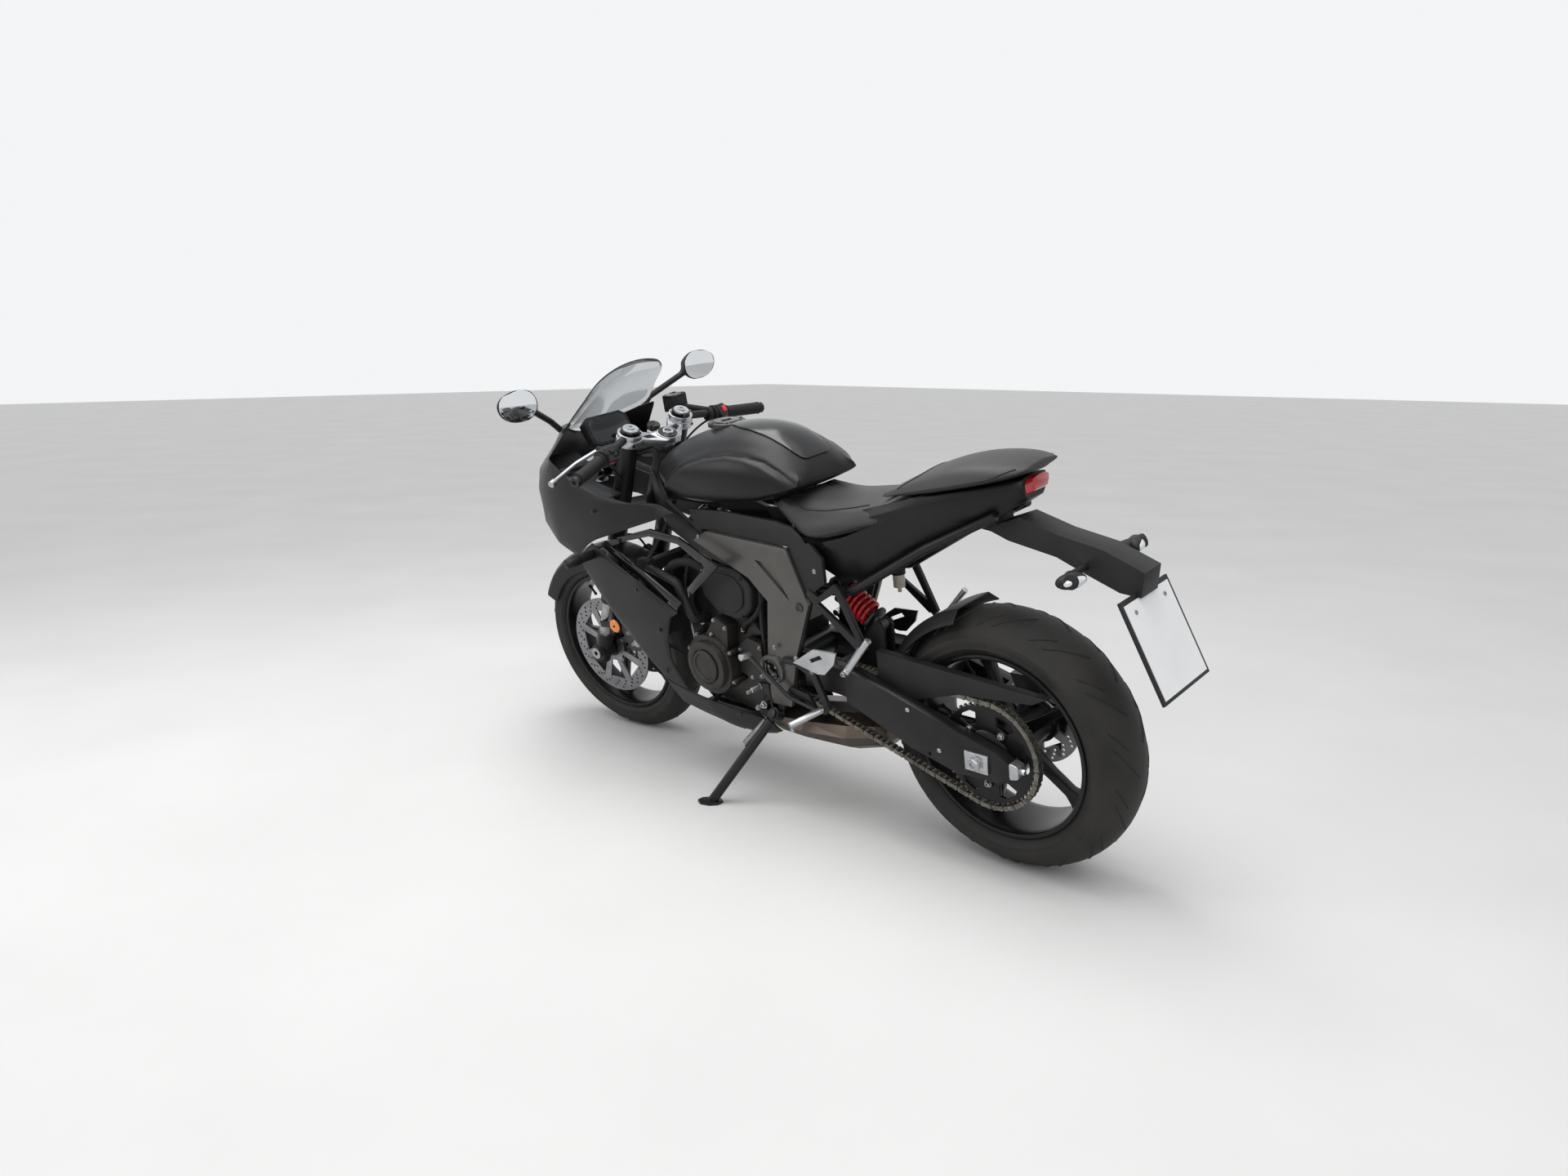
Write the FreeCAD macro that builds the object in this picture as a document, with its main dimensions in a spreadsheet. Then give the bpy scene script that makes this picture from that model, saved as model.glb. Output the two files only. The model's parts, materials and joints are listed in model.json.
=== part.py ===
import FreeCAD, Part
import math
import os
import Sketcher
from FreeCAD import Placement, Rotation, Vector

# Sport bike leaning on its side stand, in millimetres.
# Every piece is drawn on the upright bike: X forward, Y left, Z up, origin on
# the ground under the rear axle. Its Placement then steers, leans and seats it.

doc = FreeCAD.newDocument("sport_bike")
sheet = doc.addObject("Spreadsheet::Sheet", "Sizes")

SIZES = [
    # name, value, what it is
    ("wheelbase", 1425.6, "rear axle to front axle"),
    ("rake_angle", 23.8, "steering axis back from the vertical, degrees"),
    ("trail_length", 82.3, "front contact point behind the steering axis"),
    ("lean_angle", 9.47, "lean to the left on the side stand, degrees"),
    ("rest_steer_angle", 6.7, "handlebars turned to the left as parked, degrees"),
    ("running_gap", 0.05, "radial clearance of a shaft in its bearing"),
    ("seat_gap", 0.3, "clearance between pieces that pass each other"),
    ("rear_tyre_radius", 315.0, "180/55 tyre on a 17 inch rim"),
    ("rear_crown_radius", 95.0, "tread arc across the rear tyre"),
    ("rear_crown_half", 80.0, "half width of the rear tread arc"),
    ("rear_widest_radius", 262.0, "wheel radius where the rear tyre is widest"),
    ("rear_tyre_half", 90.0, "half width of the rear tyre"),
    ("rear_rim_half", 70.0, "half width between the rear rim flanges"),
    ("front_tyre_radius", 300.0, "120/70 tyre on a 17 inch rim"),
    ("front_crown_radius", 62.0, "tread arc across the front tyre"),
    ("front_crown_half", 54.0, "half width of the front tread arc"),
    ("front_widest_radius", 260.0, "wheel radius where the front tyre is widest"),
    ("front_tyre_half", 60.0, "half width of the front tyre"),
    ("front_rim_half", 45.0, "half width between the front rim flanges"),
    ("bead_radius", 216.0, "17 inch bead seat"),
    ("flange_height", 9.0, "rim flange above the bead seat"),
    ("flange_thickness", 4.5, "rim flange"),
    ("barrel_thickness", 8.0, "rim barrel under the bead seat"),
    ("spoke_count", 5, "spokes in each wheel"),
    ("spoke_depth", 26.0, "spoke along the axle"),
    ("spoke_root_half", 17.0, "half width of a spoke at the hub"),
    ("spoke_waist_half", 10.0, "half width of a spoke in the middle"),
    ("spoke_foot_length", 34.0, "flared foot of a spoke"),
    ("rear_hub_radius", 46.0, "rear hub"),
    ("front_hub_radius", 32.0, "front hub"),
    ("rear_axle_radius", 12.5, "rear axle"),
    ("front_axle_radius", 12.5, "front axle"),
    ("axle_bore_radius", 7.0, "through bore of the front axle"),
    ("front_disc_radius", 155.0, "front brake discs"),
    ("front_disc_band", 37.0, "radial width of the front braking band"),
    ("front_disc_y", 68.0, "middle of each front disc from the centre plane"),
    ("disc_thickness", 5.0, "brake discs"),
    ("rear_disc_radius", 110.0, "rear brake disc"),
    ("rear_disc_band", 34.0, "radial width of the rear braking band"),
    ("rear_disc_y", 102.0, "middle of the rear disc from the centre plane"),
    ("chain_pitch", 15.875, "525 chain"),
    ("rear_teeth", 51, "teeth on the rear sprocket"),
    ("front_teeth", 16, "teeth on the gearbox sprocket"),
    ("chain_y", 106.0, "middle of the chain from the centre plane"),
    ("chain_core", 12.0, "chain width across its inner plates"),
    ("chain_width", 20.0, "chain width across its outer plates"),
    ("chain_height", 14.0, "height of a link plate"),
    ("sprocket_thickness", 7.0, "rear sprocket"),
    ("tooth_height", 5.5, "sprocket tooth from root to tip"),
    ("pivot_x", 616.0, "swingarm pivot ahead of the rear axle"),
    ("pivot_z", 410.0, "swingarm pivot above the ground"),
    ("drive_x", 84.0, "gearbox sprocket ahead of the swingarm pivot"),
    ("drive_z", 8.0, "gearbox sprocket above the swingarm pivot"),
    ("pivot_shaft_radius", 10.0, "swingarm pivot shaft"),
    ("arm_inner_y", 121.0, "inner face of the swingarm beams"),
    ("arm_thickness", 29.0, "swingarm beam across"),
    ("plate_inner_y", 122.0, "inner face of the frame's pivot plates"),
    ("plate_thickness", 14.0, "pivot plates"),
    ("cover_thickness", 12.0, "grey frame covers"),
    ("fork_half", 103.0, "fork leg from the centre plane"),
    ("fork_tube_radius", 20.5, "41 mm stanchion"),
    ("fork_outer_radius", 27.0, "upper fork tube"),
    ("fork_top", 1068.0, "fork cap along the steering axis from the ground"),
    ("fork_overlap", 498.0, "lower end of the upper tube along the axis"),
    ("yoke_top", 1054.0, "top face of the top yoke along the steering axis"),
    ("yoke_thickness", 20.0, "top yoke"),
    ("lower_yoke_top", 830.0, "top face of the lower yoke along the axis"),
    ("lower_yoke_thickness", 34.0, "lower yoke"),
    ("stem_radius", 14.0, "steering stem"),
    ("stem_bore_radius", 8.5, "bore up the steering stem"),
    ("head_radius", 33.0, "steering head tube"),
    ("head_bottom", 833.0, "head tube lower end along the axis"),
    ("head_top", 1010.0, "head tube upper end along the axis"),
    ("bearing_length", 16.0, "steering head bearing"),
    ("bar_radius", 11.0, "handlebar tube"),
    ("grip_radius", 16.5, "hand grip"),
    ("grip_length", 122.0, "hand grip"),
    ("bar_half", 368.0, "bar end from the centre plane"),
    ("engine_half", 116.0, "crankcase from the centre plane"),
    ("alternator_radius", 84.0, "round left engine cover"),
    ("alternator_depth", 66.0, "round left engine cover outside the crankcase"),
    ("clutch_radius", 88.0, "round right engine cover"),
    ("clutch_depth", 58.0, "round right engine cover outside the crankcase"),
    ("panel_thickness", 4.0, "fairing panels"),
    ("screen_thickness", 3.5, "windscreen"),
    ("spring_radius", 29.0, "middle of the shock spring's wire"),
    ("spring_wire", 5.5, "radius of the shock spring's wire"),
    ("spring_turns", 6, "turns of the shock spring"),
    ("stand_leg_radius", 13.0, "side stand tube"),
    ("stand_pivot_drop", 130.0, "stand pivot below the swingarm pivot"),
    ("stand_pivot_y", 152.0, "stand pivot from the centre plane"),
    ("spool_bore_radius", 4.0, "tapped hole for a paddock stand bobbin"),
    ("spool_bore_depth", 20.0, "tapped hole for a paddock stand bobbin"),
    ("plate_width", 180.0, "number plate"),
    ("plate_height", 200.0, "number plate"),
]

for row, (name, value, note) in enumerate(SIZES, start=1):
    sheet.set("A%d" % row, name)
    sheet.set("B%d" % row, str(value))
    sheet.set("C%d" % row, note)
    sheet.setAlias("B%d" % row, name)
doc.recompute()


class Named:
    """The sheet's values by name."""

    def __getattr__(self, name):
        return float(getattr(sheet, name))


size = Named()


# Small tools for shapes

def point(x, y, z):
    return Vector(x, y, z)


def polygon(points):
    return Part.makePolygon(points + [points[0]])


def side_prism(outline, y_from, y_to):
    """An outline of (x, z) points, extruded across the bike."""
    face = Part.Face(polygon([point(x, y_from, z) for x, z in outline]))
    return face.extrude(Vector(0, y_to - y_from, 0))


def plan_prism(outline, z_from, z_to):
    """An outline of (x, y) points, extruded upwards."""
    face = Part.Face(polygon([point(x, y, z_from) for x, y in outline]))
    return face.extrude(Vector(0, 0, z_to - z_from))


def rod(start, end, radius):
    return Part.makeCylinder(radius, (end - start).Length, start, end - start)


def ring(start, end, radius, bore):
    return rod(start, end, radius).cut(rod(start, end, bore))


def fused(shapes):
    whole = shapes[0]
    if len(shapes) > 1:
        whole = whole.multiFuse(shapes[1:])
    return whole.removeSplitter()


def mirrored(shape):
    return shape.mirror(Vector(0, 0, 0), Vector(0, 1, 0))


def pair(shape):
    return Part.makeCompound([shape, mirrored(shape)])


def quad(a, b, c, d):
    """Two triangles between four points, split along the shorter diagonal."""
    if (a - c).Length > (b - d).Length:
        a, b, c, d = b, c, d, a
    return [Part.Face(polygon([a, b, c])), Part.Face(polygon([a, c, d]))]


def closed_solid(faces):
    """The solid inside a closed skin, with its faces turned outward."""
    skin = Part.Shell(faces)
    skin.sewShape()
    solid = Part.Solid(skin)
    if solid.Volume < 0:
        solid.reverse()
    return solid


def loft(sections):
    """A solid through closed sections, each a list of the same number of points."""
    faces = [Part.Face(polygon(sections[0])), Part.Face(polygon(sections[-1]))]
    for near, far in zip(sections, sections[1:]):
        for i in range(len(near)):
            j = (i + 1) % len(near)
            faces += quad(near[i], near[j], far[j], far[i])
    return closed_solid(faces)


def bent_path(points, bend):
    """Straight runs joined by tangent arcs of the given radius."""
    edges = []
    start = points[0]
    for before, corner, after in zip(points, points[1:], points[2:]):
        come = (corner - before).normalize()
        leave = (after - corner).normalize()
        half_turn = come.getAngle(leave) / 2
        reach = bend * math.tan(half_turn)
        inward = (leave - come).normalize()
        first = corner - come * reach
        last = corner + leave * reach
        middle = corner + inward * (bend / math.cos(half_turn) - bend)
        edges.append(Part.LineSegment(start, first).toShape())
        edges.append(Part.Arc(first, middle, last).toShape())
        start = last
    edges.append(Part.LineSegment(start, points[-1]).toShape())
    return Part.Wire(edges)


def pipe(points, radius, bend):
    """A round bar along straight runs and arcs."""
    path = bent_path(points, bend)
    along = points[1] - points[0]
    circle = Part.Wire(Part.makeCircle(radius, points[0], along))
    return path.makePipeShell([circle], True, False)


def crown_section(x, z_low, y_low, y_wide, z_wide, y_crease, z_crease, z_top):
    """Closed cross-section: flat base, leaning sides, round shoulders, crown."""
    bulge = 0.16
    shoulder_y = (y_wide + y_crease) / 2 + bulge * abs(z_crease - z_wide)
    shoulder_z = (z_wide + z_crease) / 2 + bulge * abs(y_wide - y_crease)
    left = [
        (y_low, z_low),
        (y_wide, z_wide),
        (shoulder_y, shoulder_z),
        (y_crease, z_crease),
        (y_crease * 0.52, z_top - (z_top - z_crease) * 0.27),
    ]
    right = [(-y, z) for y, z in left[::-1]]
    return [point(x, y, z) for y, z in left + [(0, z_top)] + right]


def shell_section(x, outer, thickness):
    """A thin closed strip: outer (y, z) points, then the same points moved inwards."""
    inner = []
    for i, (y, z) in enumerate(outer):
        y0, z0 = outer[max(i - 1, 0)]
        y1, z1 = outer[min(i + 1, len(outer) - 1)]
        length = math.hypot(y1 - y0, z1 - z0)
        inner.append((y + (z1 - z0) / length * thickness, z - (y1 - y0) / length * thickness))
    return [point(x, y, z) for y, z in outer + inner[::-1]]


# How the bike stands: steered and leaned, with both tyres on the floor

STEER_FOOT = point(size.wheelbase + size.trail_length, 0, 0)
STEER_UP = Vector(
    -math.sin(math.radians(size.rake_angle)), 0, math.cos(math.radians(size.rake_angle))
)
STEER_ON = Vector(STEER_UP.z, 0, -STEER_UP.x)
REAR_AXLE = point(0, 0, size.rear_tyre_radius)
FRONT_AXLE = point(size.wheelbase, 0, size.front_tyre_radius)
PIVOT = point(size.pivot_x, 0, size.pivot_z)
FORK_OFFSET = (FRONT_AXLE - STEER_FOOT).dot(STEER_ON)
AXLE_DOWN = (FRONT_AXLE - STEER_FOOT).dot(STEER_UP)


def on_fork(ahead, left, up):
    """A point in steering axis terms: ahead of it, to the left, up along it."""
    return STEER_FOOT + STEER_ON * ahead + Vector(0, left, 0) + STEER_UP * up


def turn_about(base, axis, angle):
    return Placement(Vector(0, 0, 0), Rotation(axis, angle), base)


def tyre_low(placement, centre, radius, crown):
    """Height of the lowest point of a tyre whose tread is a round crown."""
    hub = placement.multVec(centre)
    axle = placement.Rotation.multVec(Vector(0, 1, 0))
    return hub.z - (radius - crown) * math.sqrt(1 - axle.z * axle.z) - crown


steered = turn_about(STEER_FOOT, STEER_UP, size.rest_steer_angle)
chassis_place = Placement(Vector(0, 0, 0), Rotation(Vector(1, 0, 0), -size.lean_angle))
for step in range(4):
    rear_low = tyre_low(chassis_place, REAR_AXLE, size.rear_tyre_radius, size.rear_crown_radius)
    front_low = tyre_low(
        chassis_place * steered, FRONT_AXLE, size.front_tyre_radius, size.front_crown_radius
    )
    pitch = math.degrees((front_low - rear_low) / size.wheelbase)
    settle = Placement(Vector(0, 0, -rear_low), Rotation(Vector(0, 1, 0), pitch))
    chassis_place = settle * chassis_place
steering_place = chassis_place * steered

parts = []


def keep(obj, name, placement):
    """Label a finished sub-part and set it in place."""
    obj.Label = name
    obj.Placement = placement * obj.Placement
    parts.append(obj)
    return obj


def feature(name, shape, placement):
    """A sub-part whose shape is made by Part's own functions."""
    obj = doc.addObject("Part::Feature", name)
    obj.Shape = shape
    return keep(obj, name, placement)


# Sketches and bodies for what is turned, padded and patterned

def origin_feature(body, role):
    return [item for item in body.Origin.OriginFeatures if item.Role == role][0]


def new_sketch(body, name, plane, offset=0.0):
    sketch = body.newObject("Sketcher::SketchObject", name)
    sketch.AttachmentSupport = [(origin_feature(body, plane), "")]
    sketch.MapMode = "FlatFace"
    sketch.AttachmentOffset = Placement(Vector(0, 0, offset), Rotation())
    return sketch


def sketch_lines(sketch, points):
    """A closed outline of straight lines."""
    for start, end in zip(points, points[1:] + points[:1]):
        sketch.addGeometry(Part.LineSegment(Vector(*start, 0), Vector(*end, 0)), False)


def sketch_circle(sketch, radius, bound_to=None):
    index = sketch.addGeometry(Part.Circle(Vector(0, 0, 0), Vector(0, 0, 1), radius), False)
    sketch.addConstraint(Sketcher.Constraint("Coincident", index, 3, -1, 1))
    at = sketch.addConstraint(Sketcher.Constraint("Radius", index, radius))
    if bound_to:
        sketch.setExpression("Constraints[%d]" % at, bound_to)


def revolve(body, name, sketch):
    """Turn a profile of (radius, width) about the body's Y axis."""
    turned = body.newObject("PartDesign::Revolution", name)
    turned.Profile = sketch
    turned.ReferenceAxis = (origin_feature(body, "Y_Axis"), [""])
    turned.Angle = 360
    return turned


def polar(body, name, features, count):
    pattern = body.newObject("PartDesign::PolarPattern", name)
    pattern.Originals = features
    pattern.Axis = (origin_feature(body, "Y_Axis"), [""])
    pattern.Angle = 360
    if isinstance(count, str):
        pattern.setExpression("Occurrences", count)
    else:
        pattern.Occurrences = count
    body.Tip = pattern
    return pattern


def make_tyre(name, wheel, placement):
    """A tyre: round tread, bulging walls and beads between the rim flanges."""
    radius = getattr(size, wheel + "_tyre_radius")
    crown = getattr(size, wheel + "_crown_radius")
    half = getattr(size, wheel + "_crown_half")
    rim_half = getattr(size, wheel + "_rim_half")
    widest = (getattr(size, wheel + "_widest_radius"), getattr(size, wheel + "_tyre_half"))
    bead = (size.bead_radius + size.flange_height, rim_half)
    reach = math.asin(half / crown)
    tread = []
    for share in (0, 0.5, 1):
        turn = reach * share
        tread.append((radius - crown + crown * math.cos(turn), crown * math.sin(turn)))
    waist = ((widest[0] + bead[0]) / 2, (widest[1] * 3 + bead[1]) / 4)
    left = tread[1:] + [widest, waist, bead, (size.bead_radius, rim_half)]
    right = [(r, -y) for r, y in left[::-1]]
    body = doc.addObject("PartDesign::Body", name)
    sketch = new_sketch(body, name + "_profile", "XY_Plane")
    sketch_lines(sketch, right + tread[:1] + left)
    revolve(body, name + "_ring", sketch)
    return keep(body, name, placement)


def make_rim(name, wheel, hub_profile, placement):
    """A cast wheel: turned hub, spokes with flared feet, and the flanged barrel."""
    half = getattr(size, wheel + "_rim_half")
    outer = half + size.flange_thickness
    bead = size.bead_radius
    flange = bead + size.flange_height - 2
    inside = bead - size.barrel_thickness
    hub_radius = getattr(size, wheel + "_hub_radius")
    body = doc.addObject("PartDesign::Body", name)

    hub = new_sketch(body, name + "_hub_profile", "XY_Plane")
    sketch_lines(hub, hub_profile)
    revolve(body, name + "_hub", hub)

    spoke = new_sketch(body, name + "_spoke_outline", "XZ_Plane")
    root = size.spoke_root_half
    waist = size.spoke_waist_half
    start = hub_radius * 0.7
    middle = hub_radius + 0.45 * (inside - hub_radius)
    foot = size.spoke_foot_length
    edge = [(start, root), (middle, waist), (inside - foot, waist), (inside - foot / 4, root * 1.2)]
    edge.append((inside + 3, root * 2.0))
    sketch_lines(spoke, [(x, -y) for x, y in edge] + edge[::-1])
    pad = body.newObject("PartDesign::Pad", name + "_spoke")
    pad.Profile = spoke
    pad.Midplane = True
    pad.setExpression("Length", "Sizes.spoke_depth")
    polar(body, name + "_spokes", [pad], "Sizes.spoke_count")

    barrel = new_sketch(body, name + "_barrel_profile", "XY_Plane")
    edge = [(bead, half), (flange, half), (flange, outer), (bead - 3, outer), (inside, half - 16)]
    sketch_lines(barrel, edge + [(x, -y) for x, y in edge[::-1]])
    body.Tip = revolve(body, name + "_barrel", barrel)
    return keep(body, name, placement)


# Wheels

front_wheel_place = steering_place * Placement(FRONT_AXLE, Rotation())
rear_wheel_place = chassis_place * Placement(REAR_AXLE, Rotation())
half_disc = size.disc_thickness / 2
FRONT_DISC_IN = size.front_disc_y - half_disc
FRONT_HUB_END = size.front_disc_y + half_disc + 2
REAR_DISC_IN = size.rear_disc_y - half_disc
SPROCKET_IN = size.chain_y - size.sprocket_thickness / 2
SPROCKET_OUT = size.chain_y + size.sprocket_thickness / 2
PITCH_REAR = size.chain_pitch / 2 / math.sin(math.pi / size.rear_teeth)
PITCH_DRIVE = size.chain_pitch / 2 / math.sin(math.pi / size.front_teeth)
CORE_HALF = size.chain_height * 0.32
TOOTH_TIP = PITCH_REAR - CORE_HALF - 0.5


def front_hub_profile():
    bore = size.front_axle_radius + size.running_gap
    left = [
        (bore, FRONT_HUB_END),
        (36.0, FRONT_HUB_END),
        (36.0, FRONT_DISC_IN),
        (54.0, FRONT_DISC_IN),
        (54.0, FRONT_DISC_IN - 7),
        (size.front_hub_radius, FRONT_DISC_IN - 12),
    ]
    return [(r, -y) for r, y in left] + left[::-1]


def rear_hub_profile():
    bore = size.rear_axle_radius + size.running_gap
    hub = size.rear_hub_radius
    return [
        (bore, -REAR_DISC_IN - size.disc_thickness - 2),
        (40.0, -REAR_DISC_IN - size.disc_thickness - 2),
        (40.0, -REAR_DISC_IN),
        (56.0, -REAR_DISC_IN),
        (56.0, -REAR_DISC_IN + 8),
        (hub, -REAR_DISC_IN + 16),
        (hub, 40.0),
        (78.0, 46.0),
        (78.0, 76.0),
        (66.0, 82.0),
        (66.0, SPROCKET_IN),
        (50.0, SPROCKET_IN),
        (50.0, SPROCKET_OUT + 2),
        (bore, SPROCKET_OUT + 2),
    ]


def make_sprocket(name, placement):
    """The rear sprocket: a toothed ring with open windows, bolted to its carrier."""
    mid = SPROCKET_IN + size.sprocket_thickness / 2
    root = TOOTH_TIP - size.tooth_height
    body = doc.addObject("PartDesign::Body", name)
    blank = new_sketch(body, name + "_blank", "XZ_Plane", -mid)
    sketch_circle(blank, root)
    sketch_circle(blank, 50.0)
    pad = body.newObject("PartDesign::Pad", name + "_plate")
    pad.Profile = blank
    pad.Midplane = True
    pad.setExpression("Length", "Sizes.sprocket_thickness")
    window = new_sketch(body, name + "_window", "XZ_Plane", -mid)
    sketch_lines(window, [(74, -12), (98, -26), (107, -14), (107, 14), (98, 26), (74, 12)])
    cut = body.newObject("PartDesign::Pocket", name + "_opening")
    cut.Profile = window
    cut.Type = 1
    cut.Midplane = True
    polar(body, name + "_windows", [cut], 6)
    tooth = new_sketch(body, name + "_tooth", "XZ_Plane", -mid)
    wide = PITCH_REAR * math.pi / size.rear_teeth * 0.62
    sketch_lines(
        tooth,
        [(root - 2, -wide), (TOOTH_TIP, -wide * 0.35), (TOOTH_TIP, wide * 0.35), (root - 2, wide)],
    )
    teeth = body.newObject("PartDesign::Pad", name + "_tooth_pad")
    teeth.Profile = tooth
    teeth.Midplane = True
    teeth.setExpression("Length", "Sizes.sprocket_thickness")
    polar(body, name + "_teeth", [teeth], "Sizes.rear_teeth")
    return keep(body, name, placement)


make_tyre("front_tyre", "front", front_wheel_place)
make_rim("front_rim", "front", front_hub_profile(), front_wheel_place)
make_tyre("rear_tyre", "rear", rear_wheel_place)
make_rim("rear_rim", "rear", rear_hub_profile(), rear_wheel_place)
make_sprocket("rear_sprocket", rear_wheel_place)


def disc_shape(radius, band, bore, mid_y, windows):
    """A brake disc: a braking band on a spider with open windows."""
    start = Vector(0, mid_y - half_disc, 0)
    end = Vector(0, mid_y + half_disc, 0)
    disc = ring(start, end, radius, bore)
    near = bore + 16
    far = radius - band
    half_angle = math.pi / windows * 0.72
    corners = []
    for distance, side in ((near, -1), (far, -1), (far, 1), (near, 1)):
        spread = half_angle * (1 if distance == far else 0.8)
        corners.append((distance * math.cos(spread), side * distance * math.sin(spread)))
    opening = side_prism(corners, mid_y - 2 * half_disc, mid_y + 2 * half_disc)
    cuts = []
    for i in range(windows):
        copy = opening.copy()
        copy.rotate(Vector(0, 0, 0), Vector(0, 1, 0), 360.0 / windows * i)
        cuts.append(copy)
    return disc.cut(Part.makeCompound(cuts))


feature(
    "front_discs",
    pair(disc_shape(size.front_disc_radius, size.front_disc_band, 36.0, size.front_disc_y, 8)),
    front_wheel_place,
)
feature(
    "rear_disc",
    disc_shape(size.rear_disc_radius, size.rear_disc_band, 40.0, -size.rear_disc_y, 6),
    rear_wheel_place,
)


# Chain: one closed loop of links round both sprockets

DRIVE = PIVOT + Vector(size.drive_x, 0, size.drive_z)


def chain_track(offset):
    """Centre, radius and tangent angles of the loop, offset outwards."""
    gap = DRIVE - REAR_AXLE
    span = math.hypot(gap.x, gap.z)
    tilt = math.atan2(gap.z, gap.x)
    wrap = math.acos((PITCH_REAR - PITCH_DRIVE) / span)
    return span, tilt, wrap, PITCH_REAR + offset, PITCH_DRIVE + offset


def at_angle(centre, radius, angle, y):
    return Vector(centre.x + radius * math.cos(angle), y, centre.z + radius * math.sin(angle))


def chain_loop(offset, y):
    """The loop as a wire: two straight runs and two arcs."""
    span, tilt, wrap, big, small = chain_track(offset)
    top = tilt + wrap
    low = tilt - wrap
    rear_top = at_angle(REAR_AXLE, big, top, y)
    rear_low = at_angle(REAR_AXLE, big, low, y)
    drive_top = at_angle(DRIVE, small, top, y)
    drive_low = at_angle(DRIVE, small, low, y)
    return Part.Wire(
        [
            Part.makeLine(drive_top, rear_top),
            Part.Arc(rear_top, at_angle(REAR_AXLE, big, tilt + math.pi, y), rear_low).toShape(),
            Part.makeLine(rear_low, drive_low),
            Part.Arc(drive_low, at_angle(DRIVE, small, tilt, y), drive_top).toShape(),
        ]
    )


def chain_point(along):
    """The pin at a distance along the loop, from the top of the gearbox sprocket."""
    span, tilt, wrap, big, small = chain_track(0.0)
    run = math.sqrt(span**2 - (big - small) ** 2)
    rear_arc = big * 2 * (math.pi - wrap)
    top = tilt + wrap
    low = tilt - wrap
    if along < run:
        start = at_angle(DRIVE, small, top, 0)
        return start + (at_angle(REAR_AXLE, big, top, 0) - start) * (along / run)
    along -= run
    if along < rear_arc:
        return at_angle(REAR_AXLE, big, top + along / big, 0)
    along -= rear_arc
    if along < run:
        start = at_angle(REAR_AXLE, big, low, 0)
        return start + (at_angle(DRIVE, small, low, 0) - start) * (along / run)
    along -= run
    return at_angle(DRIVE, small, low + along / small, 0)


def chain_shape():
    """Inner links as a narrow band, with an outer link plate each side of every second pitch."""
    span, tilt, wrap, big, small = chain_track(0.0)
    run = math.sqrt(span**2 - (big - small) ** 2)
    length = 2 * run + big * 2 * (math.pi - wrap) + small * 2 * wrap
    links = 2 * round(length / size.chain_pitch / 2)
    pitch = length / links
    y_from = size.chain_y - size.chain_core / 2
    outer = Part.Face(chain_loop(CORE_HALF, y_from))
    inner = Part.Face(chain_loop(-CORE_HALF, y_from))
    band = outer.cut(inner).extrude(Vector(0, size.chain_core, 0))
    plate = (size.chain_width - size.chain_core) / 2
    plates = []
    tall = size.chain_height / 2
    for i in range(0, links, 2):
        a = chain_point(i * pitch)
        b = chain_point((i + 1) * pitch)
        ahead = (b - a).normalize()
        up = Vector(-ahead.z, 0, ahead.x)
        shape = []
        for reach, rise in ((-6.5, 0), (-2, 1), (2, 1), (6.5, 0), (2, -1), (-2, -1)):
            shape.append((a if reach < 0 else b) + ahead * reach + up * (rise * tall))
        for y in (y_from - plate, y_from + size.chain_core):
            face = Part.Face(polygon([Vector(p.x, y, p.z) for p in shape]))
            plates.append(face.extrude(Vector(0, plate, 0)))
    return band.multiFuse(plates)


feature("drive_chain", chain_shape(), chassis_place)


# Steering: yokes, fork, front brakes, mudguard and handlebars

def local_prism(outline, up_from, up_to):
    """An outline of (ahead, left) points across the steering axis, extruded along it."""
    face = Part.Face(polygon([on_fork(ahead, left, up_from) for ahead, left in outline]))
    return face.extrude(STEER_UP * (up_to - up_from))


def fork_cut(up_from, up_to, radius):
    return [
        rod(on_fork(FORK_OFFSET, side, up_from), on_fork(FORK_OFFSET, side, up_to), radius)
        for side in (size.fork_half, -size.fork_half)
    ]


def top_yoke():
    """Cast top yoke: a bridge between two fork clamps, over the steering stem."""
    top = size.yoke_top
    low = top - size.yoke_thickness
    web = [(-26, 30), (8, 70), (22, 92), (68, 92), (58, 62), (34, 40), (30, 0)]
    outline = web + [(ahead, -left) for ahead, left in web[::-1][1:]]
    clamps = fork_cut(low, top, size.fork_outer_radius + 9)
    boss = rod(on_fork(0, 0, low), on_fork(0, 0, top + 4), 30)
    body = fused([local_prism(outline, low, top), boss] + clamps)
    slot = local_prism([(2, 40), (14, 66), (30, 70), (26, 42)], low - 1, top + 1)
    holes = fork_cut(low - 1, top + 1, size.fork_outer_radius)
    for hole in holes + [slot, mirrored(slot)]:
        body = body.cut(hole)
    return body.cut(rod(on_fork(0, 0, low - 1), on_fork(0, 0, top + 5), size.stem_radius))


def lower_yoke():
    """Lower yoke with the steering stem pressed into it."""
    top = size.lower_yoke_top
    low = top - size.lower_yoke_thickness
    web = [(-30, 0), (-24, 34), (20, 84), (70, 84), (64, 40), (52, 0)]
    outline = web + [(ahead, -left) for ahead, left in web[::-1][1:-1]]
    clamps = fork_cut(low, top, size.fork_outer_radius + 8)
    stem = rod(on_fork(0, 0, low), on_fork(0, 0, size.yoke_top + 2), size.stem_radius)
    body = fused([local_prism(outline, low, top), stem] + clamps)
    for hole in fork_cut(low - 1, top + 1, size.fork_outer_radius):
        body = body.cut(hole)
    bore = rod(on_fork(0, 0, low - 1), on_fork(0, 0, size.yoke_top + 3), size.stem_bore_radius)
    return body.cut(bore)


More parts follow.
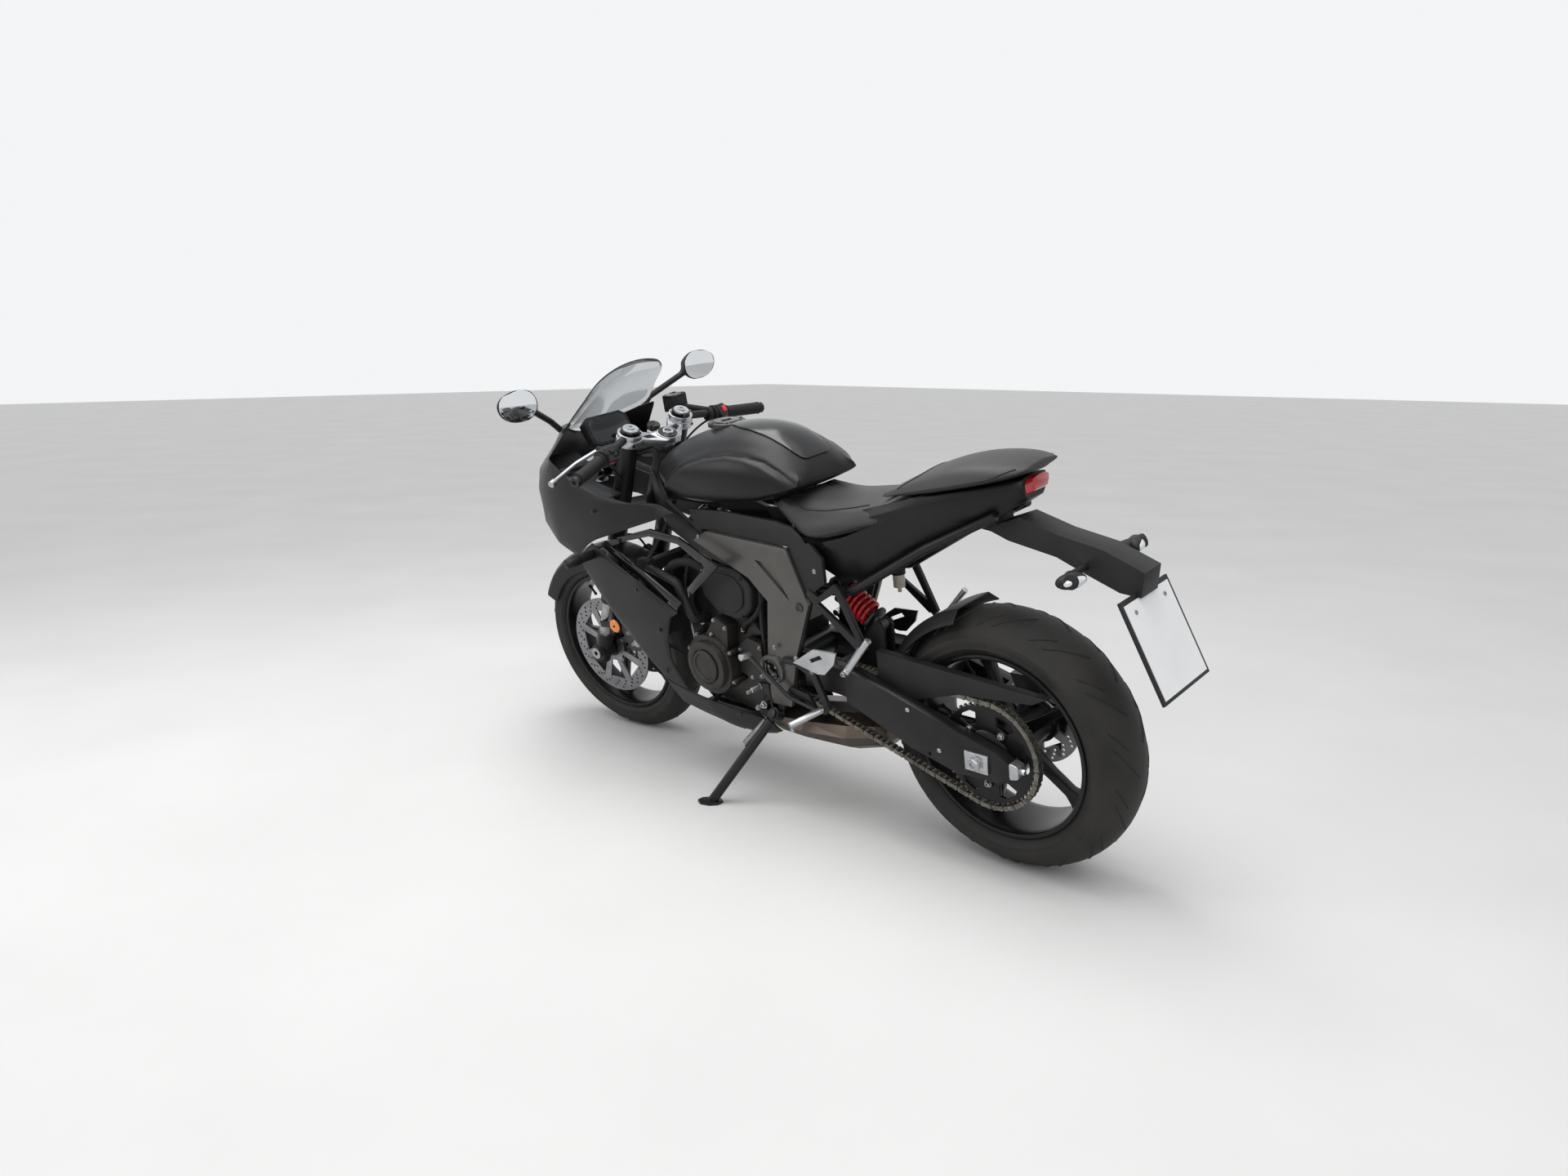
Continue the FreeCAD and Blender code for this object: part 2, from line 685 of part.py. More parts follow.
def fork_leg():
    """Upside-down fork leg: thick upper tube, stanchion and axle lug."""
    side = size.fork_half
    upper = rod(
        on_fork(FORK_OFFSET, side, size.fork_overlap),
        on_fork(FORK_OFFSET, side, size.fork_top),
        size.fork_outer_radius,
    )
    cap = rod(
        on_fork(FORK_OFFSET, side, size.fork_top),
        on_fork(FORK_OFFSET, side, size.fork_top + 8),
        size.fork_outer_radius - 8,
    )
    stanchion = rod(
        on_fork(FORK_OFFSET, side, AXLE_DOWN + 40),
        on_fork(FORK_OFFSET, side, size.fork_overlap),
        size.fork_tube_radius,
    )
    lug = rod(
        on_fork(FORK_OFFSET, side, AXLE_DOWN - 34),
        on_fork(FORK_OFFSET, side, AXLE_DOWN + 70),
        size.fork_tube_radius + 4,
    )
    eye = rod(FRONT_AXLE + Vector(0, side - 26, 0), FRONT_AXLE + Vector(0, side + 24, 0), 27)
    hole = rod(
        FRONT_AXLE + Vector(0, side - 40, 0),
        FRONT_AXLE + Vector(0, side + 40, 0),
        size.front_axle_radius,
    )
    return fused([upper, cap, stanchion, lug, eye]).cut(hole)


def front_axle():
    """Hollow front axle with its spacers."""
    end = size.fork_half + 27
    shaft = rod(
        FRONT_AXLE + Vector(0, -end, 0), FRONT_AXLE + Vector(0, end, 0), size.front_axle_radius
    )
    nut = rod(FRONT_AXLE + Vector(0, end - 2, 0), FRONT_AXLE + Vector(0, end + 7, 0), 18)
    spacers = []
    for side in (1, -1):
        spacers.append(
            rod(
                FRONT_AXLE + Vector(0, side * (FRONT_HUB_END + size.seat_gap), 0),
                FRONT_AXLE + Vector(0, side * (size.fork_half - 26), 0),
                17,
            )
        )
    body = fused([shaft, nut] + spacers)
    bore = rod(
        FRONT_AXLE + Vector(0, -end - 1, 0),
        FRONT_AXLE + Vector(0, end + 9, 0),
        size.axle_bore_radius,
    )
    return body.cut(bore)


def wheel_prism(outline, centre, y_from, y_to):
    """An outline given as (radius, degrees) about a wheel's axle, extruded across."""
    spots = []
    for radius, angle in outline:
        turn = math.radians(angle)
        spots.append((centre.x + radius * math.cos(turn), centre.z + radius * math.sin(turn)))
    return side_prism(spots, y_from, y_to)


def front_caliper():
    """Radial caliper behind the fork leg, open where the disc runs through."""
    reach = size.front_disc_radius
    outline = [(reach - 46, 138), (reach - 46, 178), (reach + 16, 176), (reach + 22, 150)]
    body = wheel_prism(outline + [(reach + 10, 138)], FRONT_AXLE, 50, 88)
    disc = ring(
        FRONT_AXLE + Vector(0, FRONT_DISC_IN - 5, 0),
        FRONT_AXLE + Vector(0, FRONT_DISC_IN + size.disc_thickness + 5, 0),
        reach + 5,
        20,
    )
    ears = wheel_prism(
        [(reach - 40, 118), (reach - 40, 138), (reach + 8, 138), (reach + 8, 118)],
        FRONT_AXLE,
        78,
        88,
    )
    whole = fused([body, ears]).cut(disc)
    for leg in fork_cut(AXLE_DOWN - 34, AXLE_DOWN + 70, size.fork_tube_radius + 4):
        whole = whole.cut(leg)
    for leg in fork_cut(AXLE_DOWN + 70, size.fork_overlap, size.fork_tube_radius):
        whole = whole.cut(leg)
    return whole


def front_mudguard():
    """Mudguard: an arched shell close over the front tyre, with side stays to the fork."""
    gap = 9.0
    radius = size.front_tyre_radius + gap
    half = size.front_tyre_half + gap
    wall = 3.0
    profile = [
        (radius - 62, half),
        (radius - 16, half),
        (radius, half - 22),
        (radius, -half + 22),
        (radius - 16, -half),
        (radius - 62, -half),
    ]
    inner = [
        (radius - 62, -half + wall),
        (radius - 17, -half + wall),
        (radius - wall, -half + 23),
        (radius - wall, half - 23),
        (radius - 17, half - wall),
        (radius - 62, half - wall),
    ]
    start = Vector(FRONT_AXLE)
    loop = [Vector(start.x + r, y, start.z) for r, y in profile + inner]
    shell = Part.Face(polygon(loop)).revolve(start, Vector(0, -1, 0), 128)
    shell.rotate(start, Vector(0, 1, 0), -28)
    stay = wheel_prism([(250, 104), (250, 124), (300, 122), (300, 106)], FRONT_AXLE, half - 1, 92)
    legs = fork_cut(AXLE_DOWN, size.fork_overlap, size.fork_tube_radius)
    legs += fork_cut(size.fork_overlap, size.fork_top, size.fork_outer_radius)
    whole = fused([shell, stay, mirrored(stay)])
    for leg in legs:
        whole = whole.cut(leg)
    return whole


yokes = fused([lower_yoke(), top_yoke()])
feature("fork_yokes", yokes, steering_place)
feature("fork_legs", pair(fork_leg()), steering_place)
feature("front_axle", front_axle(), steering_place)
feature("front_calipers", pair(front_caliper()), steering_place)
feature("front_mudguard", front_mudguard(), steering_place)

BAR_ROOT = on_fork(FORK_OFFSET, size.fork_half, size.yoke_top)
BAR_END = Vector(BAR_ROOT.x - 66, size.bar_half, BAR_ROOT.z - 38)
BAR_LINE = (BAR_END - BAR_ROOT).normalize()


def along_bar(distance, ahead=0.0, above=0.0):
    """A point measured in from the bar end, with offsets ahead of and above the bar."""
    return BAR_END - BAR_LINE * distance + Vector(ahead, 0, above)


def handlebar():
    """Clip-on: a clamp round the fork leg above the yoke, its bar, grip, switches and lever."""
    up = size.yoke_top
    clamp = rod(
        on_fork(FORK_OFFSET, size.fork_half, up),
        on_fork(FORK_OFFSET, size.fork_half, size.fork_top),
        size.fork_outer_radius + 7,
    )
    bar = rod(BAR_ROOT + Vector(0, 0, 4), BAR_END, size.bar_radius)
    grip = rod(along_bar(size.grip_length), BAR_END, size.grip_radius)
    end = rod(BAR_END, BAR_END + BAR_LINE * 14, size.grip_radius - 2)
    switch = rod(along_bar(size.grip_length + 44), along_bar(size.grip_length + 2), 24)
    perch = rod(along_bar(size.grip_length + 62), along_bar(size.grip_length + 48), 20)
    lever_root = along_bar(size.grip_length + 56, 52, 4)
    holder = rod(along_bar(size.grip_length + 56), lever_root, 9)
    lever = pipe(
        [lever_root + Vector(0, -6, 0), along_bar(110, 92, -8), along_bar(6, 103, -15)], 6.0, 60.0
    )
    ball = rod(along_bar(12, 102, -15), along_bar(-4, 104, -16), 9)
    leg = rod(
        on_fork(FORK_OFFSET, size.fork_half, up - 80),
        on_fork(FORK_OFFSET, size.fork_half, size.fork_top + 20),
        size.fork_outer_radius,
    )
    return fused([clamp, bar, grip, end, switch, perch, holder, lever, ball]).cut(leg).cut(yokes)


def brake_master():
    """Front brake fluid reservoir on its stalk, beside the right lever."""
    foot = along_bar(size.grip_length + 55, 0, 21)
    foot = Vector(foot.x, -foot.y, foot.z)
    spot = foot + Vector(76, 46, 2)
    stalk = rod(foot - Vector(0, 0, 8), spot + Vector(-10, -16, 8), 8)
    tub = plan_prism(
        [
            (spot.x - 20, spot.y - 26),
            (spot.x + 26, spot.y - 26),
            (spot.x + 26, spot.y + 26),
            (spot.x - 20, spot.y + 26),
        ],
        spot.z,
        spot.z + 42,
    )
    return fused([stalk, tub])


left_bar = handlebar()
right_bar = fused([mirrored(left_bar), brake_master()])
feature("handlebars", Part.makeCompound([left_bar, right_bar]), steering_place)


# Frame, swingarm and what hangs on them

PLATE_OUT = size.plate_inner_y + size.plate_thickness


def from_pivot(outline):
    """Points given ahead of and above the swingarm pivot, as (x, z)."""
    return [(PIVOT.x + ahead, PIVOT.z + above) for ahead, above in outline]


def from_front(outline):
    """Points given ahead of the front axle and above the ground, as (x, z)."""
    return [(size.wheelbase + ahead, z) for ahead, z in outline]


def from_axle(ahead, left, above):
    """A point given ahead of the front axle, to the left and above the ground."""
    return point(size.wheelbase + ahead, left, above)


def box_section(x, y_in, y_out, z_low, z_high):
    corners = [(y_in, z_low), (y_out, z_low), (y_out, z_high), (y_in, z_high)]
    return [point(x, y, z) for y, z in corners]


STAND_PIVOT = PIVOT + Vector(13, size.stand_pivot_y, -size.stand_pivot_drop)
STAND_OUT = Vector(0.443, 0.468, -0.766).normalize()
STAND_FOLDED = Vector(-0.996, 0.083, -0.033).normalize()
STAND_AXIS = STAND_OUT.cross(STAND_FOLDED).normalize()
STAND_BOLT = 8.0


FAIRING_STAY = point(size.wheelbase - 92, 0, 886)


def stand_bracket():
    """Lug at the foot of the left pivot plate with the stand's pivot bolt."""
    bolt = rod(STAND_PIVOT - STAND_AXIS * 12, STAND_PIVOT + STAND_AXIS * 14, STAND_BOLT)
    inner = rod(STAND_PIVOT - STAND_AXIS * 20, STAND_PIVOT - STAND_AXIS * 9.3, 15)
    head = rod(STAND_PIVOT + STAND_AXIS * 9.3, STAND_PIVOT + STAND_AXIS * 15, 13)
    arm = rod(STAND_PIVOT - STAND_AXIS * 16, PIVOT + Vector(-8, 129, -82), 10)
    clear = rod(STAND_PIVOT - STAND_AXIS * 9.3, STAND_PIVOT + STAND_AXIS * 9.3, 24)
    return fused([arm.cut(clear), inner, bolt, head])


PIVOT_PLATE = from_pivot(
    [
        (232, 276),
        (232, 334),
        (186, 338),
        (-86, 326),
        (-142, 196),
        (-84, 50),
        (-46, -88),
        (16, -94),
        (62, -90),
        (62, -60),
        (15, -54),
        (12, 24),
        (-18, 180),
        (50, 230),
        (118, 252),
        (196, 268),
        (206, 230),
        (240, 230),
    ]
)


SHOCK_MOUNT = PIVOT + Vector(-118, 0, 200)


def main_frame():
    """Frame of solids met at their welds: pivot plates, spars, head tube, cross tube and rails."""
    x0 = PIVOT.x + 232
    z0 = PIVOT.z
    head = on_fork(0, 0, (size.head_bottom + size.head_top) / 2)
    sections = [
        box_section(x0, size.plate_inner_y, PLATE_OUT, z0 + 276, z0 + 334),
        box_section(head.x - 130, 92, 110, head.z - 108, head.z - 36),
        box_section(head.x + 4, 14, 34, head.z - 70, head.z + 30),
    ]
    plate = side_prism(PIVOT_PLATE, size.plate_inner_y, PLATE_OUT)
    rail = pipe(
        [
            PIVOT + Vector(-96, 129, 226),
            PIVOT + Vector(-260, 112, 236),
            PIVOT + Vector(-472, 96, 362),
            PIVOT + Vector(-640, 62, 446),
        ],
        11.0,
        60.0,
    )
    rear_spar = loft(sections[:2]).cut(plate)
    front_spar = loft(sections[1:])
    head_lug = PIVOT + Vector(222, 0, 243)
    case_lug = PIVOT + Vector(54, 0, -75)
    lugs = []
    for lug, reach in ((head_lug, size.engine_half - 4), (case_lug, size.engine_half)):
        end = lug + Vector(0, size.plate_inner_y + 2, 0)
        lugs.append(rod(lug + Vector(0, reach, 0), end, 9))
    tube = rod(on_fork(0, 0, size.head_bottom), on_fork(0, 0, size.head_top), size.head_radius)
    stays = [
        rod(on_fork(30, 0, 916), FAIRING_STAY, 11),
        rod(FAIRING_STAY + Vector(0, -199.6, 0), FAIRING_STAY + Vector(0, 199.6, 0), 8),
        rod(FAIRING_STAY, FAIRING_STAY + Vector(16, 0, 56), 6),
    ]
    head_piece = fused([tube] + stays)
    right = fused([mirrored(plate)] + [mirrored(lug) for lug in lugs])
    left = fused([plate, stand_bracket()] + lugs)
    spars = [rear_spar.cut(left), mirrored(rear_spar).cut(right)]
    spars += [front_spar.cut(tube), mirrored(front_spar).cut(tube)]
    cross = rod(
        SHOCK_MOUNT - Vector(0, size.plate_inner_y + 2, 0),
        SHOCK_MOUNT + Vector(0, size.plate_inner_y + 2, 0),
        14,
    )
    tail_tie = rod(PIVOT + Vector(-602, -70, 427), PIVOT + Vector(-602, 70, 427), 9)
    rails = [rail.cut(left), mirrored(rail).cut(right)]
    for spar in spars:
        head_piece = head_piece.cut(spar)
        rails = [tail_rail.cut(spar) for tail_rail in rails]
    pieces = [left, right, head_piece] + spars
    pieces.append(cross.cut(left).cut(right))
    pieces.extend(rails)
    pieces.append(tail_tie.cut(rails[0]).cut(rails[1]))
    bearing = size.stem_radius + size.running_gap
    bores = [
        rod(on_fork(0, 0, size.head_bottom - 1), on_fork(0, 0, size.head_top + 1), bearing),
        rod(
            on_fork(0, 0, size.head_bottom + size.bearing_length),
            on_fork(0, 0, size.head_top - size.bearing_length),
            size.head_radius - 7,
        ),
        rod(PIVOT + Vector(0, -200, 0), PIVOT + Vector(0, 200, 0), size.pivot_shaft_radius),
    ]
    for bore in bores:
        pieces = [piece.cut(bore) for piece in pieces]
    return Part.makeCompound([solid for piece in pieces for solid in piece.Solids])


frame = main_frame()
feature("main_frame", frame, chassis_place)


FRAME_COVER = from_pivot(
    [
        (245, 316),
        (190, 345),
        (-92, 332),
        (-149, 196),
        (-86, 46),
        (-48, -96),
        (22, -100),
        (17, 28),
        (-8, 185),
        (52, 238),
        (120, 265),
    ]
)


def frame_cover():
    """Grey side cover with a sunk three-sided facet and a cap over the pivot."""
    inner = PLATE_OUT
    outer = inner + size.cover_thickness
    cover = side_prism(FRAME_COVER, inner, outer)
    facet = side_prism(from_pivot([(-36, 288), (20, 290), (-88, 196)]), outer - 6, outer + 1)
    cap = rod(PIVOT + Vector(0, inner, 0), PIVOT + Vector(0, outer + 10, 0), 40)
    dish = rod(PIVOT + Vector(0, outer + 3, 0), PIVOT + Vector(0, outer + 11, 0), 29)
    bolt = rod(PIVOT + Vector(-118, inner - 1, 186), PIVOT + Vector(-118, outer + 1, 186), 8)
    return fused([cover, cap]).cut(facet).cut(dish).cut(bolt).cut(frame)


feature("frame_covers", pair(frame_cover()), chassis_place)

ARM_OUT = size.arm_inner_y + size.arm_thickness
ARM_OUTLINE = [
    (372, 462),
    (253, 433),
    (60, 378),
    (-52, 346),
    (-84, 330),
    (-84, 298),
    (-50, 276),
    (60, 272),
    (184, 302),
    (346, 364),
    (372, 374),
]
KNEE_OUT = size.arm_inner_y + 13
SHOCK_TOP = SHOCK_MOUNT
SHOCK_LOW = PIVOT + Vector(-248, 0, 112)
SHOCK_PIN = 7.0


def swingarm():
    """Swingarm: two beams outside the chain, a knee to the pivot tube and a cross member."""
    beam = side_prism(ARM_OUTLINE, size.arm_inner_y, ARM_OUT)
    inner_y = size.chain_y - size.chain_width / 2 - 18
    knee = plan_prism(
        [
            (PIVOT.x + 26, inner_y - 16),
            (PIVOT.x + 26, 116),
            (PIVOT.x - 86, 116),
            (PIVOT.x - 98, KNEE_OUT),
            (366, KNEE_OUT),
            (366, inner_y),
        ],
        PIVOT.z - 30,
        PIVOT.z + 30,
    )
    window = rod(REAR_AXLE + Vector(0, 100, 0), REAR_AXLE + Vector(0, 170, 0), size.rear_axle_radius)
    spool_y = ARM_OUT - size.spool_bore_depth
    spool = rod(
        Vector(130, spool_y, 300), Vector(130, ARM_OUT + 1, 300), size.spool_bore_radius
    )
    side = fused([beam, knee]).cut(window).cut(spool)
    tube = rod(PIVOT + Vector(0, -116, 0), PIVOT + Vector(0, 116, 0), 32)
    cross = side_prism(
        [(346, 366), (360, 425), (470, 430), (514, 400), (500, 380)],
        -size.arm_inner_y - 2,
        size.arm_inner_y + 2,
    )
    lug = side_prism([(350, 400), (346, 524), (368, 540), (390, 524), (450, 420)], 13, 20)
    pin = rod(SHOCK_LOW + Vector(0, -13, 0), SHOCK_LOW + Vector(0, 13, 0), SHOCK_PIN)
    end = PLATE_OUT
    shaft = rod(
        PIVOT + Vector(0, -end, 0), PIVOT + Vector(0, end, 0), size.pivot_shaft_radius
    )
    whole = fused([side, mirrored(side), tube, cross, lug, mirrored(lug), pin, shaft])
    return whole


feature("swingarm", swingarm(), chassis_place)


def rear_axle():
    """Rear axle with nut, spacers and the chain adjuster blocks."""
    end = ARM_OUT + 8
    shaft = rod(REAR_AXLE + Vector(0, -end, 0), REAR_AXLE + Vector(0, end, 0), size.rear_axle_radius)
    pieces = [shaft]
    for side, inner in ((1, SPROCKET_OUT + 2), (-1, REAR_DISC_IN + size.disc_thickness + 2)):
        pieces.append(
            rod(
                REAR_AXLE + Vector(0, side * (inner + size.seat_gap), 0),
                REAR_AXLE + Vector(0, side * size.arm_inner_y, 0),
                19,
            )
        )
        pieces.append(
            side_prism(
                [(-30, 292), (-30, 338), (30, 338), (30, 292)],
                *sorted((side * ARM_OUT, side * (ARM_OUT + 5)))
            )
        )
        pieces.append(
            rod(
                REAR_AXLE + Vector(0, side * (ARM_OUT + 4), 0),
                REAR_AXLE + Vector(0, side * (ARM_OUT + 16), 0),
                16,
            )
        )
    return fused(pieces)


feature("rear_axle", rear_axle(), chassis_place)


def rear_caliper():
    """Rear caliper on its carrier, above the right beam, open for the disc."""
    reach = size.rear_disc_radius
    outline = [(reach - 40, 62), (reach - 40, 106), (reach + 14, 104), (reach + 18, 64)]
    body = wheel_prism(outline, REAR_AXLE, -size.arm_inner_y + 3, -size.rear_disc_y + 26)
    slot = ring(
        REAR_AXLE + Vector(0, -REAR_DISC_IN + 5, 0),
        REAR_AXLE + Vector(0, -REAR_DISC_IN - size.disc_thickness - 5, 0),
        reach + 5,
        20,
    )
    carrier = wheel_prism(
        [(28, 30), (28, 85), (28, 140), (reach + 6, 100), (reach + 6, 66)],
        REAR_AXLE,
        -size.arm_inner_y,
        -size.arm_inner_y + 7,
    )
    return fused([body.cut(slot), carrier])


feature("rear_caliper", rear_caliper(), chassis_place)


def wheel_guards():
    """Chain guard over the upper run, and the hugger over the front of the rear tyre."""
    y_in = size.chain_y + size.chain_width / 2 + 2
    wall = 3.0
    top = side_prism([(289, 512), (-161, 489), (-161, 486), (289, 509)], 99, y_in + wall)
    face = side_prism(
        [(289, 512), (-161, 489), (-128, 470), (60, 452), (180, 412), (289, 436)], y_in, y_in + wall
    )
    radius = size.rear_tyre_radius + 14
    profile = [
        (radius - 26, 92),
        (radius, 62),
        (radius, -62),
        (radius - 26, -92),
        (radius - 29, -90),
        (radius - wall, -60),
        (radius - wall, 60),
        (radius - 29, 90),
    ]
    loop = [Vector(REAR_AXLE.x + r, y, REAR_AXLE.z) for r, y in profile]
    hugger = Part.Face(polygon(loop)).revolve(REAR_AXLE, Vector(0, -1, 0), 46)
    hugger.rotate(REAR_AXLE, Vector(0, 1, 0), -28)
    strut = side_prism(
        [(266, 428), (288, 432), (284, 462), (262, 484), (250, 476), (262, 456)], 84, 92
    )
    foot = side_prism([(266, 424), (288, 428), (288, 436), (266, 432)], 84, size.arm_inner_y)
    struts = [strut, foot, mirrored(strut), mirrored(foot)]
    return Part.makeCompound([fused([top, face]), fused([hugger] + struts)])


feature("wheel_guards", wheel_guards(), chassis_place)


def shock_absorber():
    """Rear shock: an eye at each end, damper body, rod and coil spring."""
    along = (SHOCK_LOW - SHOCK_TOP).normalize()
    room = (SHOCK_LOW - SHOCK_TOP).Length
    body = rod(SHOCK_TOP + along * 18, SHOCK_TOP + along * 84, 19)
    shaft = rod(SHOCK_TOP + along * 84, SHOCK_LOW - along * 12, 8)
    seats = [
        rod(SHOCK_TOP + along * 22, SHOCK_TOP + along * 29, size.spring_radius + 8),
        rod(SHOCK_LOW - along * 28, SHOCK_LOW - along * 20, size.spring_radius + 6),
    ]
    across = Vector(0, 1, 0)
    top_eye = rod(SHOCK_TOP - across * 16, SHOCK_TOP + across * 16, 22)
    low_eye = rod(SHOCK_LOW - across * 12, SHOCK_LOW + across * 12, 17)
    whole = fused([body, shaft, top_eye, low_eye] + seats)
    for spot, bore in ((SHOCK_TOP, 14.0), (SHOCK_LOW, SHOCK_PIN)):
        whole = whole.cut(rod(spot - across * 30, spot + across * 30, bore + size.seat_gap))
    coils = []
    first = 29 + size.spring_wire
    pitch = (room - first - 28 - size.spring_wire) / (size.spring_turns - 1)
    for i in range(int(size.spring_turns)):
        middle = SHOCK_TOP + along * (first + pitch * i)
        edge = along * size.spring_wire
        outer = size.spring_radius + size.spring_wire
        coils.append(Part.makeCone(outer - 4, outer, size.spring_wire, middle - edge, along))
        coils.append(Part.makeCone(outer, outer - 4, size.spring_wire, middle, along))
    sleeve = rod(SHOCK_TOP + along * 29, SHOCK_LOW - along * 28, size.spring_radius - 6)
    return fused([whole, sleeve] + coils)


feature("shock_absorber", shock_absorber(), chassis_place)


# Engine, cooling and exhaust

def engine():
    """Crankcase with the inclined cylinder block and head."""
    half = size.engine_half
    case = side_prism(
        from_pivot(
            [
                (46, -92),
                (40, 60),
                (120, 116),
                (230, 120),
                (330, 84),
                (350, -60),
                (300, -142),
                (110, -158),
            ]
        ),
        -half,
        half,
    )
    block = side_prism(
        from_pivot([(150, 90), (168, 222), (274, 290), (352, 238), (330, 70)]), -half + 4, half - 4
    )
    sprocket_room = rod(
        DRIVE + Vector(0, size.chain_y - 16, 0), DRIVE + Vector(0, half + 1, 0), PITCH_DRIVE + 14
    )
    run_room = side_prism(
        from_pivot([(20, -60), (20, 76), (84, 66), (84, -50)]), size.chain_y - 16, half + 1
    )
    return fused([case, block]).cut(sprocket_room).cut(run_room)


def cover_with_ribs(centre, radius, depth, ribs, side):
    """A round cast cover: stepped drum, raised face ring and radial ribs down its flank."""
    start = size.engine_half
    outward = Vector(0, side, 0)
    base = centre + outward * start
    drum = rod(base, base + outward * (depth - 16), radius)
    face = rod(base, base + outward * depth, radius - 14)
    dish = rod(base + outward * (depth - 5), base + outward * (depth + 1), radius - 34)
    boss = rod(base, base + outward * depth, radius - 42)
    fins = []
    for angle in ribs:
        turn = math.radians(angle)
        spot = Vector(math.cos(turn), 0, math.sin(turn)) * (radius + 5)
        fins.append(rod(base + spot, base + spot + outward * (depth - 24), 8))
    return fused([fused([drum, face] + fins).cut(dish), boss])


ALTERNATOR = PIVOT + Vector(229, 0, -28)
CLUTCH = PIVOT + Vector(190, 0, -20)


def engine_covers():
    left = cover_with_ribs(
        ALTERNATOR, size.alternator_radius, size.alternator_depth, (60, 100, 150, 205, 330, 20), 1
    )
    ear = side_prism(
        from_pivot([(252, 40), (196, 110), (150, 92), (160, 20)]),
        size.engine_half,
        size.engine_half + 40,
    )
    right = cover_with_ribs(
        CLUTCH, size.clutch_radius, size.clutch_depth, (10, 50, 95, 140, 190, 240, 300), -1
    )
    drive = side_prism(
        from_pivot([(52, -48), (52, 52), (100, 62), (140, 30), (140, -40), (100, -54)]),
        size.engine_half + 0.5,
        size.engine_half + 20,
    )
    return Part.makeCompound([fused([left, ear]).cut(drive), drive, right])


engine_block = engine()
feature("engine", engine_block, chassis_place)
feature("engine_covers", engine_covers(), chassis_place)


def exhaust():
    """Three header pipes into a collector and a low silencer box under the engine."""
    pipes = []
    for side in (-70, 0, 70):
        pipes.append(
            pipe(
                [
                    PIVOT + Vector(330, side, 212),
                    PIVOT + Vector(390, side, 158),
                    PIVOT + Vector(366, side * 0.8, -186),
                    PIVOT + Vector(150, side * 0.5, -196),
                ],
                19.0,
                56.0,
            )
        )
    stations = [
        # ahead of the pivot, half width, middle y, low and high above the ground
        (170, 66, 0, 184, 240),
        (70, 90, 0, 172, 248),
        (-20, 104, -6, 172, 262),
        (-160, 104, -20, 166, 284),
        (-236, 92, -30, 184, 288),
        (-258, 70, -36, 208, 272),
    ]
    wires = []
    for ahead, half, middle, low, high in stations:
        x = PIVOT.x + ahead
        waist = (low + high) / 2
        section = []
        for angle in range(0, 360, 30):
            turn = math.radians(angle)
            section.append(
                point(x, middle + half * math.cos(turn), waist + (high - waist) * math.sin(turn))
            )
        wires.append(section)
    return fused(pipes + [loft(wires)]).cut(engine_block)


feature("exhaust", exhaust(), chassis_place)


# Tank, seats and tail

YOKE_BACK = on_fork(-52, 0, size.yoke_top - size.yoke_thickness - 8)
TANK_REAR = PIVOT.x - 118
TANK_LENGTH = YOKE_BACK.x - 8 - TANK_REAR

TANK = [
    # share of the length, low z, low half, widest half and z, crease half and z, top z
    (0.00, 470, 92, 112, 478, 84, 500, 512),
    (0.16, 432, 122, 146, 452, 104, 556, 592),
    (0.38, 412, 132, 162, 452, 118, 576, 614),
    (0.62, 398, 128, 164, 446, 116, 560, 598),
    (0.84, 396, 104, 142, 444, 96, 530, 566),
    (1.00, 428, 60, 92, 458, 66, 500, 526),
]


def crowned(rows, start, length, base):
    """Loft a body through crown sections listed by their share of a length."""
    wires = []
    for share, low, y_low, y_wide, z_wide, y_crease, z_crease, top in rows:
        wires.append(
            crown_section(
                start + share * length,
                base + low,
                y_low,
                y_wide,
                base + z_wide,
                y_crease,
                base + z_crease,
                base + top,
            )
        )
    return loft(wires)


fuel_tank = crowned(TANK, TANK_REAR, TANK_LENGTH, PIVOT.z)
feature("fuel_tank", fuel_tank, chassis_place)

RIDER_SEAT = [
    (0.00, 396, 96, 120, 420, 92, 456, 470),
    (0.30, 372, 126, 146, 396, 108, 442, 458),
    (0.56, 344, 138, 150, 366, 104, 430, 442),
    (0.78, 380, 104, 118, 400, 80, 446, 460),
    (1.00, 420, 70, 84, 440, 60, 470, 482),
]
SEAT_REAR = PIVOT.x - 366
SEAT_LENGTH = 372
rider_seat = crowned(RIDER_SEAT, SEAT_REAR, SEAT_LENGTH, PIVOT.z).cut(fuel_tank)
feature("rider_seat", rider_seat, chassis_place)

PASSENGER_SEAT = [
    (0.00, 540, 40, 62, 548, 44, 556, 560),
    (0.14, 524, 88, 104, 536, 78, 562, 571),
    (0.45, 500, 100, 116, 514, 88, 556, 568),
    (0.74, 480, 98, 112, 492, 86, 520, 534),
    (1.00, 470, 88, 98, 474, 80, 482, 486),
]
PILLION_REAR = PIVOT.x - 722
PILLION_LENGTH = 354
passenger_seat = crowned(PASSENGER_SEAT, PILLION_REAR, PILLION_LENGTH, PIVOT.z).cut(rider_seat)
feature("passenger_seat", passenger_seat, chassis_place)

TAIL = [
    (0.00, 478, 34, 50, 500, 44, 526, 530),
    (0.16, 420, 56, 84, 480, 80, 506, 512),
    (0.42, 344, 76, 108, 440, 104, 480, 486),
    (0.66, 262, 84, 122, 396, 112, 440, 446),
    (0.84, 250, 90, 132, 360, 118, 400, 404),
    (1.00, 300, 96, 136, 380, 120, 400, 404),
]
TAIL_REAR = PIVOT.x - 700
TAIL_LENGTH = 590


